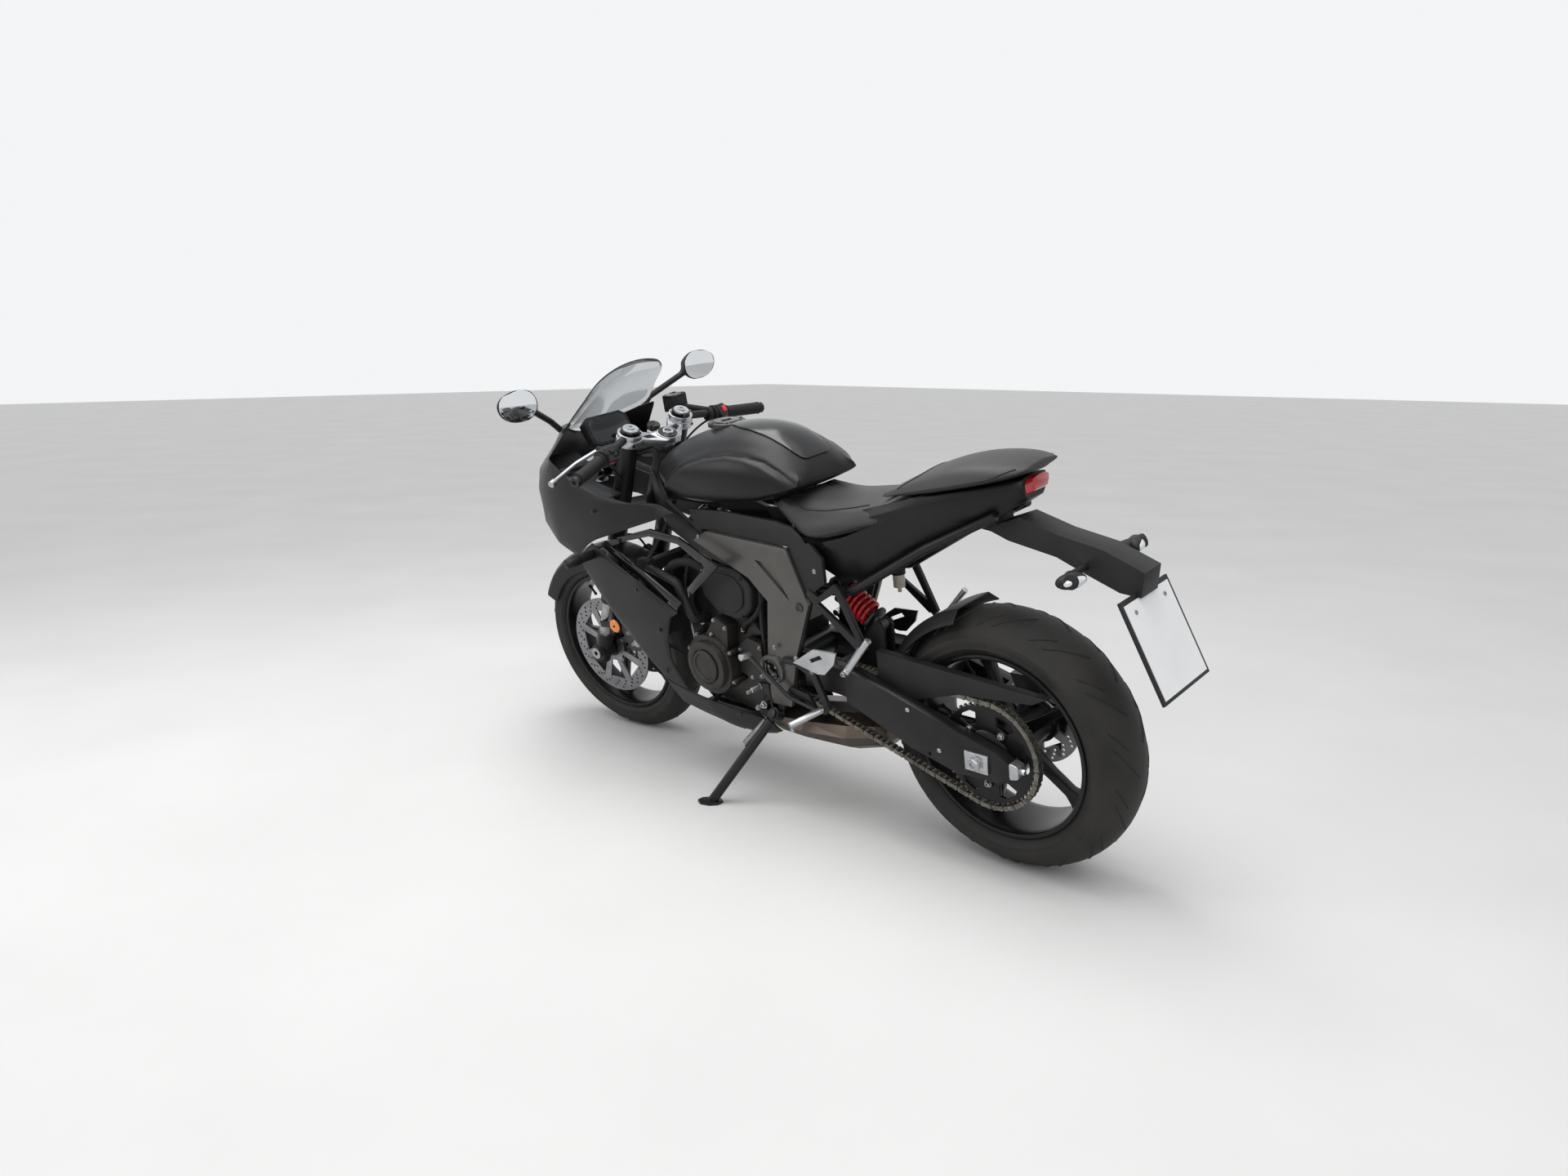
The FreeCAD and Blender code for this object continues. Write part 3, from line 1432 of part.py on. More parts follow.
def tail_cowl():
    """Tail fairing under the seats, hollow below, resting on the tail rails."""
    outer = crowned(TAIL, TAIL_REAR, TAIL_LENGTH, PIVOT.z)
    thin = []
    for share, low, y_low, y_wide, z_wide, y_crease, z_crease, top in TAIL:
        wall = size.panel_thickness
        thin.append(
            (
                min(max(share, 0.03), 0.99),
                low - 30,
                y_low - wall - 30 * (y_wide - y_low) / (z_wide - low),
                y_wide - wall,
                z_wide - wall,
                y_crease - wall,
                z_crease - wall,
                top - wall,
            )
        )
    inner = crowned(thin, TAIL_REAR, TAIL_LENGTH, PIVOT.z)
    shell = outer.cut(inner)
    for neighbour in (rider_seat, passenger_seat, fuel_tank, tail_lens, frame):
        shell = shell.cut(neighbour)
    return max(shell.Solids, key=lambda solid: solid.Volume)


def tail_light():
    return crowned(
        [
            (0.0, 500, 24, 30, 512, 26, 526, 530),
            (1.0, 462, 40, 52, 470, 46, 512, 518),
        ],
        PIVOT.x - 716,
        60,
        PIVOT.z,
    )


tail_lens = tail_light().cut(passenger_seat)
feature("tail_light", tail_lens, chassis_place)
tail_shell = tail_cowl()
feature("tail_cowl", tail_shell, chassis_place)


def passenger_bracket():
    """Triangular bracket under the tail rail with its folding peg."""
    outline = from_pivot(
        [
            (-140, 222),
            (-152, 236),
            (-182, 222),
            (-236, 262),
            (-252, 254),
            (-318, 112),
            (-290, 104),
            (-270, 120),
        ]
    )
    window = from_pivot([(-180, 206), (-236, 240), (-290, 134)])
    low = PLATE_OUT
    plate = side_prism(outline, low, low + 10).cut(side_prism(window, low - 4, low + 16))
    bosses = []
    for ahead, above in ((-164, 224), (-248, 240)):
        spot = PIVOT + Vector(ahead, 0, above)
        bosses.append(rod(spot + Vector(0, 108, 0), spot + Vector(0, low + 4, 0), 9))
    peg = rod(PIVOT + Vector(-300, low + 6, 110), PIVOT + Vector(-286, 190, 62), 9)
    fold = rod(PIVOT + Vector(-286, 184, 64), PIVOT + Vector(-366, 190, 160), 8)
    return fused([plate, peg, fold] + bosses).cut(frame)


passenger_hanger = passenger_bracket()


def side_cover():
    """Black cover between tank, seat and grey frame cover."""
    outline = from_pivot(
        [
            (238, 346),
            (250, 398),
            (120, 404),
            (-60, 396),
            (-112, 386),
            (-160, 360),
            (-204, 318),
            (-204, 258),
            (-146, 214),
            (-98, 336),
            (190, 349),
        ]
    )
    cover = side_prism(outline, PLATE_OUT - 4, PLATE_OUT + 6)
    for neighbour in (fuel_tank, rider_seat, tail_shell, frame, passenger_hanger):
        cover = cover.cut(neighbour)
    return max(cover.Solids, key=lambda solid: solid.Volume)


side_covers = pair(side_cover())
feature("side_covers", side_covers, chassis_place)


def plate_hanger():
    """Long bracket behind the tail that carries the plate, reflector and indicators."""
    outline = from_pivot(
        [
            (-560, 444),
            (-610, 414),
            (-680, 440),
            (-770, 412),
            (-870, 392),
            (-958, 356),
            (-950, 303),
            (-904, 307),
            (-830, 336),
            (-764, 364),
            (-650, 386),
            (-570, 416),
        ]
    )
    arm = side_prism(outline, -34, 34)
    stalk = rod(PIVOT + Vector(-830, -104, 352), PIVOT + Vector(-830, 104, 352), 8)
    block = side_prism(from_pivot([(-584, 405), (-584, 450), (-622, 450), (-622, 400)]), -34, 34)
    return fused([arm, stalk, block]).cut(frame)


PLATE_TOP = PIVOT + Vector(-936, 0, 300)
PLATE_DROP = Vector(-0.42, 0, -0.907)
PLATE_OUTWARD = Vector(-0.907, 0, 0.42)


def number_plate():
    """Blank white plate."""
    half = size.plate_width / 2
    top = PLATE_TOP + PLATE_OUTWARD * 6
    low = top + PLATE_DROP * size.plate_height
    face = Part.Face(
        polygon(
            [
                top + Vector(0, -half, 0),
                top + Vector(0, half, 0),
                low + Vector(0, half, 0),
                low + Vector(0, -half, 0),
            ]
        )
    )
    return face.extrude(PLATE_OUTWARD * 1.5)


def plate_holder():
    half = size.plate_width / 2 + 8
    top = PLATE_TOP - PLATE_DROP * 10
    low = top + PLATE_DROP * (size.plate_height + 18)
    face = Part.Face(
        polygon(
            [
                top + Vector(0, -half, 0),
                top + Vector(0, half, 0),
                low + Vector(0, half, 0),
                low + Vector(0, -half, 0),
            ]
        )
    )
    return face.extrude(PLATE_OUTWARD * 6)


feature("number_plate", number_plate(), chassis_place)
feature("plate_hanger", fused([plate_hanger(), plate_holder()]), chassis_place)


# Fairing: each panel is an outline cut from one thin shell

COWL = [
    # ahead of the front axle, then (y, z) from the top edge down to the low edge
    (214, (0, 862), (26, 858), (46, 842), (48, 814), (24, 790)),
    (164, (0, 902), (64, 892), (104, 856), (114, 806), (100, 752)),
    (74, (0, 952), (100, 934), (160, 878), (182, 806), (174, 706)),
    (-26, (128, 1000), (160, 962), (200, 894), (218, 804), (208, 650)),
    (-116, (156, 1020), (182, 962), (208, 880), (224, 802), (218, 636)),
    (-296, (150, 900), (186, 868), (204, 846), (218, 808), (220, 690)),
    (-426, (146, 880), (176, 858), (190, 842), (200, 822), (208, 726)),
    (-560, (120, 860), (142, 848), (160, 834), (178, 812), (192, 770)),
]
LOWER = [
    (-90, (204, 700), (206, 600), (196, 480), (176, 380), (146, 300), (112, 268), (70, 250)),
    (-226, (218, 704), (220, 600), (210, 480), (190, 380), (160, 290), (118, 246), (70, 226)),
    (-376, (220, 704), (222, 600), (212, 480), (192, 380), (162, 282), (124, 214), (70, 186)),
    (-526, (214, 704), (214, 600), (206, 480), (188, 380), (158, 272), (128, 192), (84, 160)),
    (-666, (190, 704), (190, 600), (184, 480), (170, 380), (142, 262), (112, 180), (92, 166)),
    (-776, (170, 704), (170, 600), (166, 480), (150, 380), (126, 264), (108, 206), (96, 196)),
]


def shell(rows):
    wires = []
    for ahead, *outer in rows:
        wires.append(shell_section(size.wheelbase + ahead, outer, size.panel_thickness))
    return loft(wires)


cowl_skin = shell(COWL)
lower_skin = shell(LOWER)

def radiator():
    """Radiator: core between two side tanks, its stays and the left hose."""
    core = side_prism(from_front([(-372, 640), (-336, 640), (-316, 408), (-352, 408)]), -140, 140)
    tank = side_prism(from_front([(-378, 648), (-330, 648), (-310, 400), (-358, 400)]), 140, 164)
    stays = [
        rod(from_axle(-358, 150, 640), from_axle(-420, 101, 752), 6),
        rod(from_axle(-340, 150, 404), from_axle(-464, 106, 356), 6),
        rod(from_axle(-346, 160, 560), from_axle(-346, 224, 560), 7),
    ]
    side = fused([tank] + stays)
    hose = pipe(
        [
            from_axle(-366, 156, 626),
            from_axle(-496, 168, 604),
            from_axle(-540, 166, 504),
            from_axle(-546, 116, 494),
        ],
        12.0,
        24.0,
    )
    whole = fused([core, side, mirrored(side), hose])
    for neighbour in (lower_skin, mirrored(lower_skin), frame, engine_block):
        whole = whole.cut(neighbour)
    return max(whole.Solids, key=lambda solid: solid.Volume)


feature("radiator", radiator(), chassis_place)


UPPER_PANEL = [
    (240, 1040),
    (240, 740),
    (164, 744),
    (54, 712),
    (-46, 668),
    (-126, 648),
    (-206, 700),
    (-388, 756),
    (-546, 804),
    (-478, 828),
    (-390, 822),
    (-264, 838),
    (-140, 874),
    (-20, 916),
    (-110, 1012),
    (-118, 1040),
]
SIDE_PANEL = [
    (-130, 646),
    (-204, 694),
    (-390, 612),
    (-530, 536),
    (-496, 516),
    (-459, 436),
    (-446, 366),
    (-468, 278),
    (-382, 300),
    (-318, 394),
    (-254, 475),
    (-136, 614),
]
BELLY_PANEL = [
    (-384, 297),
    (-470, 275),
    (-560, 262),
    (-680, 246),
    (-738, 236),
    (-770, 206),
    (-622, 120),
    (-380, 120),
]


def panel(skin, outline):
    return skin.common(side_prism(from_front(outline), 0, 260))


def both_halves(half):
    return half.fuse(mirrored(half)).removeSplitter()


LAMP = from_front([(192, 826), (160, 798), (92, 770), (108, 816), (172, 850)])
lamp_prism = side_prism(LAMP, 30, 140)
upper_half = panel(cowl_skin, UPPER_PANEL)
lamp_lens = upper_half.common(lamp_prism)
feature("upper_cowl", both_halves(upper_half.cut(lamp_prism)), chassis_place)
feature("headlamps", pair(lamp_lens), chassis_place)
feature("side_fairings", pair(panel(lower_skin, SIDE_PANEL)), chassis_place)


def indicators():
    """Four indicators: slim pods at the ends of short stalks."""
    pods = []
    for side in (1, -1):
        tail = PIVOT + Vector(-838, side * 104, 352)
        pods.append(rod(tail, tail + Vector(-26, side * 44, 8), 15))
        nose = Vector(size.wheelbase - 200, side * 218, 660)
        pod = rod(nose, nose + Vector(4, side * 88, -4), 13)
        pods.append(pod.cut(lower_skin).cut(mirrored(lower_skin)))
    return Part.makeCompound(pods)


feature("indicators", indicators(), chassis_place)


def belly_cowl():
    """Belly fairing: both flanks joined by a floor under the pipes."""
    flank = panel(lower_skin, BELLY_PANEL)
    floor = loft(
        [
            box_section(size.wheelbase - 388, -72, 72, 181, 185),
            box_section(size.wheelbase - 526, -85, 85, 157, 161),
            box_section(size.wheelbase - 600, -89, 89, 160, 164),
        ]
    )
    boss = rod(from_axle(-546, 105, 276), from_axle(-546, 147, 250), 7).cut(engine_block)
    return fused([flank, mirrored(flank), floor, boss, mirrored(boss)])


feature("belly_cowl", belly_cowl(), chassis_place)


def fairing_vane():
    """Gloss vane across the side vent, the duct rim behind it and their tabs."""
    vane = side_prism(
        from_front([(-250, 702), (-230, 688), (-520, 540), (-548, 566)]), 198, 204
    )
    rim = side_prism(
        from_front(
            [
                (-296, 714),
                (-442, 754),
                (-560, 744),
                (-700, 684),
                (-584, 592),
                (-566, 604),
                (-650, 676),
                (-554, 726),
                (-440, 734),
                (-300, 700),
            ]
        ),
        186,
        194,
    )
    bridge = side_prism(from_front([(-244, 700), (-310, 713), (-314, 701), (-262, 686)]), 188, 201)
    front_tab = side_prism(from_front([(-250, 700), (-216, 686), (-222, 676), (-250, 688)]), 199, 226)
    rear_tab = side_prism(from_front([(-496, 562), (-480, 548), (-520, 528), (-528, 542)]), 199, 226)
    whole = fused([vane, rim, bridge, front_tab, rear_tab]).cut(lower_skin)
    return max(whole.Solids, key=lambda solid: solid.Volume)


feature("fairing_vanes", pair(fairing_vane()), chassis_place)


def bowed_row(side, middle):
    """Points of a bow from left to right over the centre plane."""
    row = []
    for step in (-1, -0.72, -0.38, 0, 0.38, 0.72, 1):
        bow = step * step
        x = middle.x + (side.x - middle.x) * bow
        z = middle.z + (side.z - middle.z) * bow
        row.append(point(x, side.y * step, z))
    return row


def thin_sheet(rows, behind):
    """A thin solid sheet through rows of points, as thick as the vector behind."""
    back = [[spot + behind for spot in row] for row in rows]
    faces = []
    for low, high, low_back, high_back in zip(rows, rows[1:], back, back[1:]):
        for i in range(len(low) - 1):
            faces += quad(low[i], low[i + 1], high[i + 1], high[i])
            faces += quad(low_back[i], high_back[i], high_back[i + 1], low_back[i + 1])
        faces += quad(low[0], high[0], high_back[0], low_back[0])
        faces += quad(low[-1], low_back[-1], high_back[-1], high[-1])
    for edge, edge_back in ((rows[0], back[0]), (rows[-1], back[-1])):
        for i in range(len(edge) - 1):
            faces += quad(edge[i], edge[i + 1], edge_back[i + 1], edge_back[i])
    return closed_solid(faces)


SCREEN = [
    # side ahead of the front axle, side y, side z, middle ahead, middle z
    (-100, 148, 1020, 60, 966),
    (-160, 122, 1080, -36, 1038),
    (-224, 120, 1130, -146, 1114),
    (-256, 82, 1156, -262, 1170),
]


def windscreen():
    """Clear double-curved screen."""
    rows = []
    for side_x, side_y, side_z, mid_x, mid_z in SCREEN:
        side = point(size.wheelbase + side_x, side_y, side_z)
        middle = point(size.wheelbase + mid_x, 0, mid_z)
        rows.append(bowed_row(side, middle))
    sheet_solid = thin_sheet(rows, Vector(-0.54, 0, -0.84) * size.screen_thickness)
    trimmed = sheet_solid.cut(cowl_skin).cut(mirrored(cowl_skin))
    return max(trimmed.Solids, key=lambda solid: solid.Volume)


feature("windscreen", windscreen(), chassis_place)


MIRROR = Vector(size.wheelbase - 136, 324, 1100)


def mirror():
    """Mirror head on a stalk from the cowl."""
    shape = [(-62, -22), (-30, -48), (44, -44), (74, -2), (58, 36), (-20, 50), (-60, 24)]
    small = [MIRROR + Vector(20, y * 0.8, z * 0.8) for y, z in shape]
    large = [MIRROR + Vector(-6, y, z) for y, z in shape]
    back = [MIRROR + Vector(44, y * 0.4, z * 0.4) for y, z in shape]
    head = loft([large, small, back])
    stalk = pipe(
        [
            from_axle(-54, 144, 988),
            from_axle(-60, 182, 1026),
            Vector(size.wheelbase - 110, 262, 1072),
            MIRROR + Vector(14, -20, -10),
        ],
        9.0,
        20.0,
    )
    whole = fused([head, stalk]).cut(cowl_skin)
    return max(whole.Solids, key=lambda solid: solid.Volume)


feature("mirrors", pair(mirror()), chassis_place)


def instrument_cluster():
    """Round-cornered display leaning back above the fork."""
    centre = Vector(size.wheelbase - 82, 0, 968)
    outline = [(-78, -34), (-60, -48), (60, -48), (78, -34), (78, 34), (60, 48), (-60, 48), (-78, 34)]
    spots = [centre + Vector(rise * 0.5, y, rise * 0.86) for y, rise in outline]
    face = Part.Face(polygon(spots))
    return face.extrude(Vector(0.86, 0, -0.5) * 24).cut(frame)


feature("instrument_cluster", instrument_cluster(), chassis_place)


def cockpit_panel():
    """Black inner panels between the screen, the cluster and the side fairings."""
    wires = []
    for ahead, inner, outer, low in (
        (40, 50, 158, 905),
        (-20, 60, 208, 882),
        (-118, 84, 216, 862),
        (-176, 150, 216, 850),
        (-300, 152, 216, 826),
    ):
        wires.append(box_section(size.wheelbase + ahead, inner, outer, low, low + 4))
    piece = loft(wires).cut(cowl_skin)
    return min(piece.Solids, key=lambda solid: solid.CenterOfMass.y)


feature("cockpit_panel", pair(cockpit_panel()), chassis_place)


# Footrests, brackets and the rear brake reservoir

HANGER_IN = PLATE_OUT + size.cover_thickness


def footrest():
    """Rider's footrest: hanger, heel plate, peg and foot lever."""
    low = HANGER_IN
    heel = side_prism(
        from_pivot(
            [
                (-87, 40),
                (-160, 89),
                (-235, 93),
                (-226, 63),
                (-192, 29),
                (-168, 26),
                (-105, 38),
            ]
        ),
        low + 10,
        low + 15,
    )
    slot = side_prism(
        from_pivot([(-150, 52), (-190, 70), (-182, 78), (-144, 60)]), low, low + 20
    )
    hanger = side_prism(
        from_pivot(
            [
                (-46, 28),
                (-88, 30),
                (-140, 8),
                (-172, -66),
                (-150, -82),
                (-118, -40),
                (-60, -34),
                (-46, -52),
                (-62, -66),
                (-104, -60),
                (-136, -84),
                (-176, -84),
                (-190, -62),
                (-152, 26),
                (-100, 46),
                (-46, 44),
            ]
        ),
        low,
        low + 10,
    )
    root = PIVOT + Vector(-162, low + 5, -74)
    tip = root + Vector(30, 90, -14)
    peg = rod(root, tip, 9)
    lug = rod(tip + Vector(-2, -6, 0), tip + Vector(-2, -6, -18), 5)
    lever = pipe(
        [
            root + Vector(0, 14, 0),
            PIVOT + Vector(-60, low + 18, -58),
            PIVOT + Vector(66, low + 24, 36),
        ],
        5.0,
        40.0,
    )
    toe = rod(PIVOT + Vector(62, low + 20, 34), PIVOT + Vector(66, low + 50, 36), 9)
    return fused([heel.cut(slot), hanger, peg, lug, lever, toe])


def brake_reservoir():
    spot = PIVOT + Vector(-228, -104, 176)
    tub = rod(spot, spot + Vector(0, 0, 34), 15)
    cap = rod(spot + Vector(0, 0, 34), spot + Vector(0, 0, 50), 18)
    neck = rod(spot + Vector(0, 0, -14), spot, 5)
    arm = rod(spot + Vector(4, 0, 16), spot + Vector(20, 2, 50), 5)
    return fused([tub, cap, neck, arm]).cut(frame)


foot_pieces = [footrest(), passenger_hanger]
foot_pieces += [mirrored(piece) for piece in foot_pieces] + [brake_reservoir()]
feature("footrests", Part.makeCompound(foot_pieces), chassis_place)


# Side stand, long enough to reach the floor with the bike leaning

def floor_reach(start, along):
    """How far along a line from the pivot the floor lies, with the bike leaning."""
    high = chassis_place.multVec(start).z
    fall = chassis_place.Rotation.multVec(along).z
    return -high / fall


def side_stand():
    """Side stand: eye, tube and a flat foot that lies on the floor."""
    reach = floor_reach(STAND_PIVOT, STAND_OUT)
    down = chassis_place.Rotation.inverted().multVec(Vector(0, 0, -1))
    foot = STAND_PIVOT + STAND_OUT * reach
    top = foot - down * 7
    eye = rod(STAND_PIVOT - STAND_AXIS * 9, STAND_PIVOT + STAND_AXIS * 9, 18)
    leg = rod(STAND_PIVOT + STAND_OUT * 20, top, size.stand_leg_radius)
    root = rod(STAND_PIVOT, STAND_PIVOT + STAND_OUT * 40, 8.5)
    ahead = (STAND_OUT - down * STAND_OUT.dot(down)).normalize()
    side = down.cross(ahead)
    spots = []
    for angle in range(0, 360, 45):
        turn = math.radians(angle)
        spots.append(foot + ahead * (34 * math.cos(turn) + 6) + side * (24 * math.sin(turn)))
    pad = Part.Face(polygon(spots)).extrude(down * -7)
    bore = STAND_BOLT + size.running_gap
    hole = rod(STAND_PIVOT - STAND_AXIS * 12, STAND_PIVOT + STAND_AXIS * 12, bore)
    corners = ((-90, -90), (90, -90), (90, 90), (-90, 90))
    floor = polygon([foot + ahead * a + side * b for a, b in corners])
    below = Part.Face(floor).extrude(down * 60)
    whole = fused([eye, leg, root, pad]).cut(hole).cut(below)
    for start, end in ((-40, -9), (9, 40)):
        whole = whole.cut(rod(STAND_PIVOT + STAND_AXIS * start, STAND_PIVOT + STAND_AXIS * end, 18))
    return whole


feature("side_stand", side_stand(), chassis_place)


# The origin goes on the floor under the middle of the whole bike

def settle_origin():
    doc.recompute()
    whole = FreeCAD.BoundBox()
    for obj in parts:
        whole.add(obj.Shape.optimalBoundingBox(False))
    middle = Vector(round(whole.Center.x), round(whole.Center.y), 0)
    for obj in parts:
        obj.Placement = Placement(middle * -1, Rotation()) * obj.Placement
    return middle


def build_and_write():
    middle = settle_origin()
    doc.recompute()
    for obj in doc.Objects:
        if "Invalid" in obj.State or "Error" in obj.State:
            raise RuntimeError("%s did not build: %s" % (obj.Label, obj.State))
    os.makedirs("parts", exist_ok=True)
    for obj in parts:
        shape = obj.Shape
        if shape.isNull() or not shape.isValid():
            raise RuntimeError("%s has a bad shape" % obj.Label)
        shape.exportStep("parts/%s.step" % obj.Label)
    return middle


def report_places(middle):
    """Print the joints and fixing points in the finished frame."""
    spool = Vector(130, ARM_OUT, 300)
    fork = size.fork_half + 27
    rows = [
        ("steering", steering_place, on_fork(0, 0, size.head_bottom), STEER_UP),
        ("front_wheel", steering_place, FRONT_AXLE, Vector(0, 1, 0)),
        ("rear_wheel", chassis_place, REAR_AXLE, Vector(0, 1, 0)),
        ("side_stand", chassis_place, STAND_PIVOT, STAND_AXIS),
        ("spool_left", chassis_place, spool, Vector(0, 1, 0)),
        ("spool_right", chassis_place, Vector(spool.x, -spool.y, spool.z), Vector(0, -1, 0)),
        ("front_axle_bore", steering_place, FRONT_AXLE + Vector(0, -fork, 0), Vector(0, -1, 0)),
        ("stem_bore", steering_place, on_fork(0, 0, size.yoke_top + 2), STEER_UP),
        ("pivot_bore", chassis_place, PIVOT + Vector(0, -PLATE_OUT, 0), Vector(0, -1, 0)),
    ]
    for name, place, spot, axis in rows:
        at = place.multVec(spot) - middle
        way = place.Rotation.multVec(axis)
        print("place %s %.4f %.4f %.4f axis %.6f %.6f %.6f" % (name, *at, *way))


report_places(build_and_write())
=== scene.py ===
# %% [markdown]
# # A sport bike, dressed over its measured frame
# The frame holds every rigid piece at its true size and place: wheels, fork, frame, engine and the
# bodywork as plain facets. This lesson adds what the eye sees on the real bike: rounded panels,
# tyre tread, drilled discs, a coil spring, hoses, bolts, seams, and a finish for each material.
# It could be painted straight on to the plain solids, but light shows every facet of a matt black
# panel, so the large panels are rounded copies and the small things are modelled by hand.

# %% Load the frame
import json
import math

import bpy
from mathutils import Matrix, Vector

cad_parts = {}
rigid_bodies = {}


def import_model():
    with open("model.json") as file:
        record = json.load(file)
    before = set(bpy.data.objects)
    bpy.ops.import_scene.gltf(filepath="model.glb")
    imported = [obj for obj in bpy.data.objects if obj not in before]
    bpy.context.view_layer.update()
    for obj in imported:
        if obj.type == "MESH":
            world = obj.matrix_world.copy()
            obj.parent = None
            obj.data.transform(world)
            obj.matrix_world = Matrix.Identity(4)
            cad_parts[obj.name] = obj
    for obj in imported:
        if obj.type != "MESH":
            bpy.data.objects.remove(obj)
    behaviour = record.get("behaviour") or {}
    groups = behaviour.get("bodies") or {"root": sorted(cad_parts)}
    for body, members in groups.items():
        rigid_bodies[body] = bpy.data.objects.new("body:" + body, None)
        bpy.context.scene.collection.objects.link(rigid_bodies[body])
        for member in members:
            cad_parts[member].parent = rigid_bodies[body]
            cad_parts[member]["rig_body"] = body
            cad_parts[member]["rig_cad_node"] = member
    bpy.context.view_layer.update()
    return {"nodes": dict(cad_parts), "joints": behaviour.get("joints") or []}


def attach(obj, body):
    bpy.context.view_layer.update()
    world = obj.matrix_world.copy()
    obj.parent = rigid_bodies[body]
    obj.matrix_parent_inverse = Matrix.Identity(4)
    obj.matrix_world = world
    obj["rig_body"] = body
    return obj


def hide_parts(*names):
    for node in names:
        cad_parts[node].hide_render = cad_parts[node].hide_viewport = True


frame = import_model()
joints = {joint["name"]: joint for joint in frame["joints"]}

# %% [markdown]
# ## Where things are
# A bike is easiest to measure upright, but this one leans on its stand with the bars turned a
# little. Two matrices carry upright measurements to the parked bike: one for all that leans with
# the frame, one for what also steers. Both start from the rear hub, which the frame gives.

# %% Upright measurements to the parked bike
LEAN = math.radians(9.47)
SETTLE = math.radians(0.06)
STEER = math.radians(6.7)
RAKE = math.radians(23.8)
REAR_HUB = Vector((0, 0, 0.315))
FRONT_HUB = Vector((1.4256, 0, 0.300))
PIVOT = Vector((0.616, 0, 0.410))
STEER_FOOT = Vector((1.5079, 0, 0))
STEER_UP = Vector((-math.sin(RAKE), 0, math.cos(RAKE)))
STEER_ON = Vector((STEER_UP.z, 0, -STEER_UP.x))
FORK_OFFSET = (FRONT_HUB - STEER_FOOT).dot(STEER_ON)

chassis = (
    Matrix.Translation(joints["rear_wheel"]["pos_m"])
    @ Matrix.Rotation(SETTLE, 4, "Y")
    @ Matrix.Rotation(-LEAN, 4, "X")
    @ Matrix.Translation(-REAR_HUB)
)
steering = (
    chassis
    @ Matrix.Translation(STEER_FOOT)
    @ Matrix.Rotation(STEER, 4, STEER_UP)
    @ Matrix.Translation(-STEER_FOOT)
)
rear_wheel = chassis @ Matrix.Translation(REAR_HUB)
front_wheel = steering @ Matrix.Translation(FRONT_HUB)
upright = Matrix.Identity(4)
PLACES = {
    "chassis": chassis,
    "steering": steering,
    "rear_wheel": rear_wheel,
    "front_wheel": front_wheel,
}
slip = (front_wheel.translation - Vector(joints["front_wheel"]["pos_m"])).length
print("front hub is within", round(slip * 1000, 2), "mm of the frame's")


def fork_point(ahead, left, up):
    """A point in steering terms: ahead of the axis, to the left, up along it."""
    return STEER_FOOT + STEER_ON * ahead + Vector((0, left, 0)) + STEER_UP * up


# %% [markdown]
# ## Modelling by hand
# Each new piece starts as a primitive, is shaped in edit mode, and ends with its place in its own
# mesh. These few helpers do the steps that every piece repeats: select one thing only, turn a
# profile as on a lathe, cut an outline from plate, bend a tube, and settle the piece on its body.

# %% Select one piece, and settle it
def only(*chosen):
    """Select these pieces and nothing else, in object mode."""
    if bpy.context.mode != "OBJECT":
        bpy.ops.object.mode_set(mode="OBJECT")
    bpy.ops.object.select_all(action="DESELECT")
    for piece in chosen:
        piece.select_set(True)
    bpy.context.view_layer.objects.active = chosen[0] if chosen else None


def nothing_selected():
    only()


def apply_all(piece):
    """Apply a piece's modifiers, as the last step of making it."""
    only(piece)
    for modifier in list(piece.modifiers):
        bpy.ops.object.modifier_apply(modifier=modifier.name)


def bevelled(piece, width, segments=2, angle=35):
    """Round a piece's edges that are sharper than an angle."""
    modifier = piece.modifiers.new("rounded edges", "BEVEL")
    modifier.width = width
    modifier.segments = segments
    modifier.angle_limit = math.radians(angle)
    apply_all(piece)
    return piece


def smooth(piece, angle=35):
    only(piece)
    bpy.ops.object.shade_smooth_by_angle(angle=math.radians(angle))
    return piece


WELD_WITHIN = 0.00002


def outward(piece):
    """Merge doubles and point every face outwards."""
    only(piece)
    bpy.ops.object.mode_set(mode="EDIT")
    bpy.ops.mesh.select_all(action="SELECT")
    bpy.ops.mesh.remove_doubles(threshold=WELD_WITHIN)
    bpy.ops.mesh.normals_make_consistent(inside=False)
    bpy.ops.object.mode_set(mode="OBJECT")
    return piece


def placed(piece, place):
    """Put a piece somewhere, and keep that place in its mesh."""
    piece.matrix_world = place
    only(piece)
    bpy.ops.object.transform_apply(location=True, rotation=True)
    return piece


def settle(piece, place, body, material):
    """Put a finished piece in its place, on its body, with its finish."""
    only(piece)
    piece.matrix_world = place @ piece.matrix_world
    bpy.ops.object.transform_apply(location=True, rotation=True, scale=True)
    piece.data.materials.clear()
    piece.data.materials.append(material)
    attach(piece, body)
    return piece


def joined(name, pieces):
    """One object from several, keeping each one's mesh."""
    only(*pieces)
    if len(pieces) > 1:
        bpy.ops.object.join()
    pieces[0].name = name
    return pieces[0]


def fitted(name, pieces, body, material, angle=35):
    """Join the parts of one fitting, smooth it, and settle it on its body."""
    return settle(smooth(joined(name, pieces), angle), PLACES[body], body, material)


# %% Turn a profile, as on a lathe
def facing(start, along):
    """The place of something modelled up the Z axis that now points along a direction."""
    return Matrix.Translation(start) @ Vector(along).to_track_quat("Z", "Y").to_matrix().to_4x4()


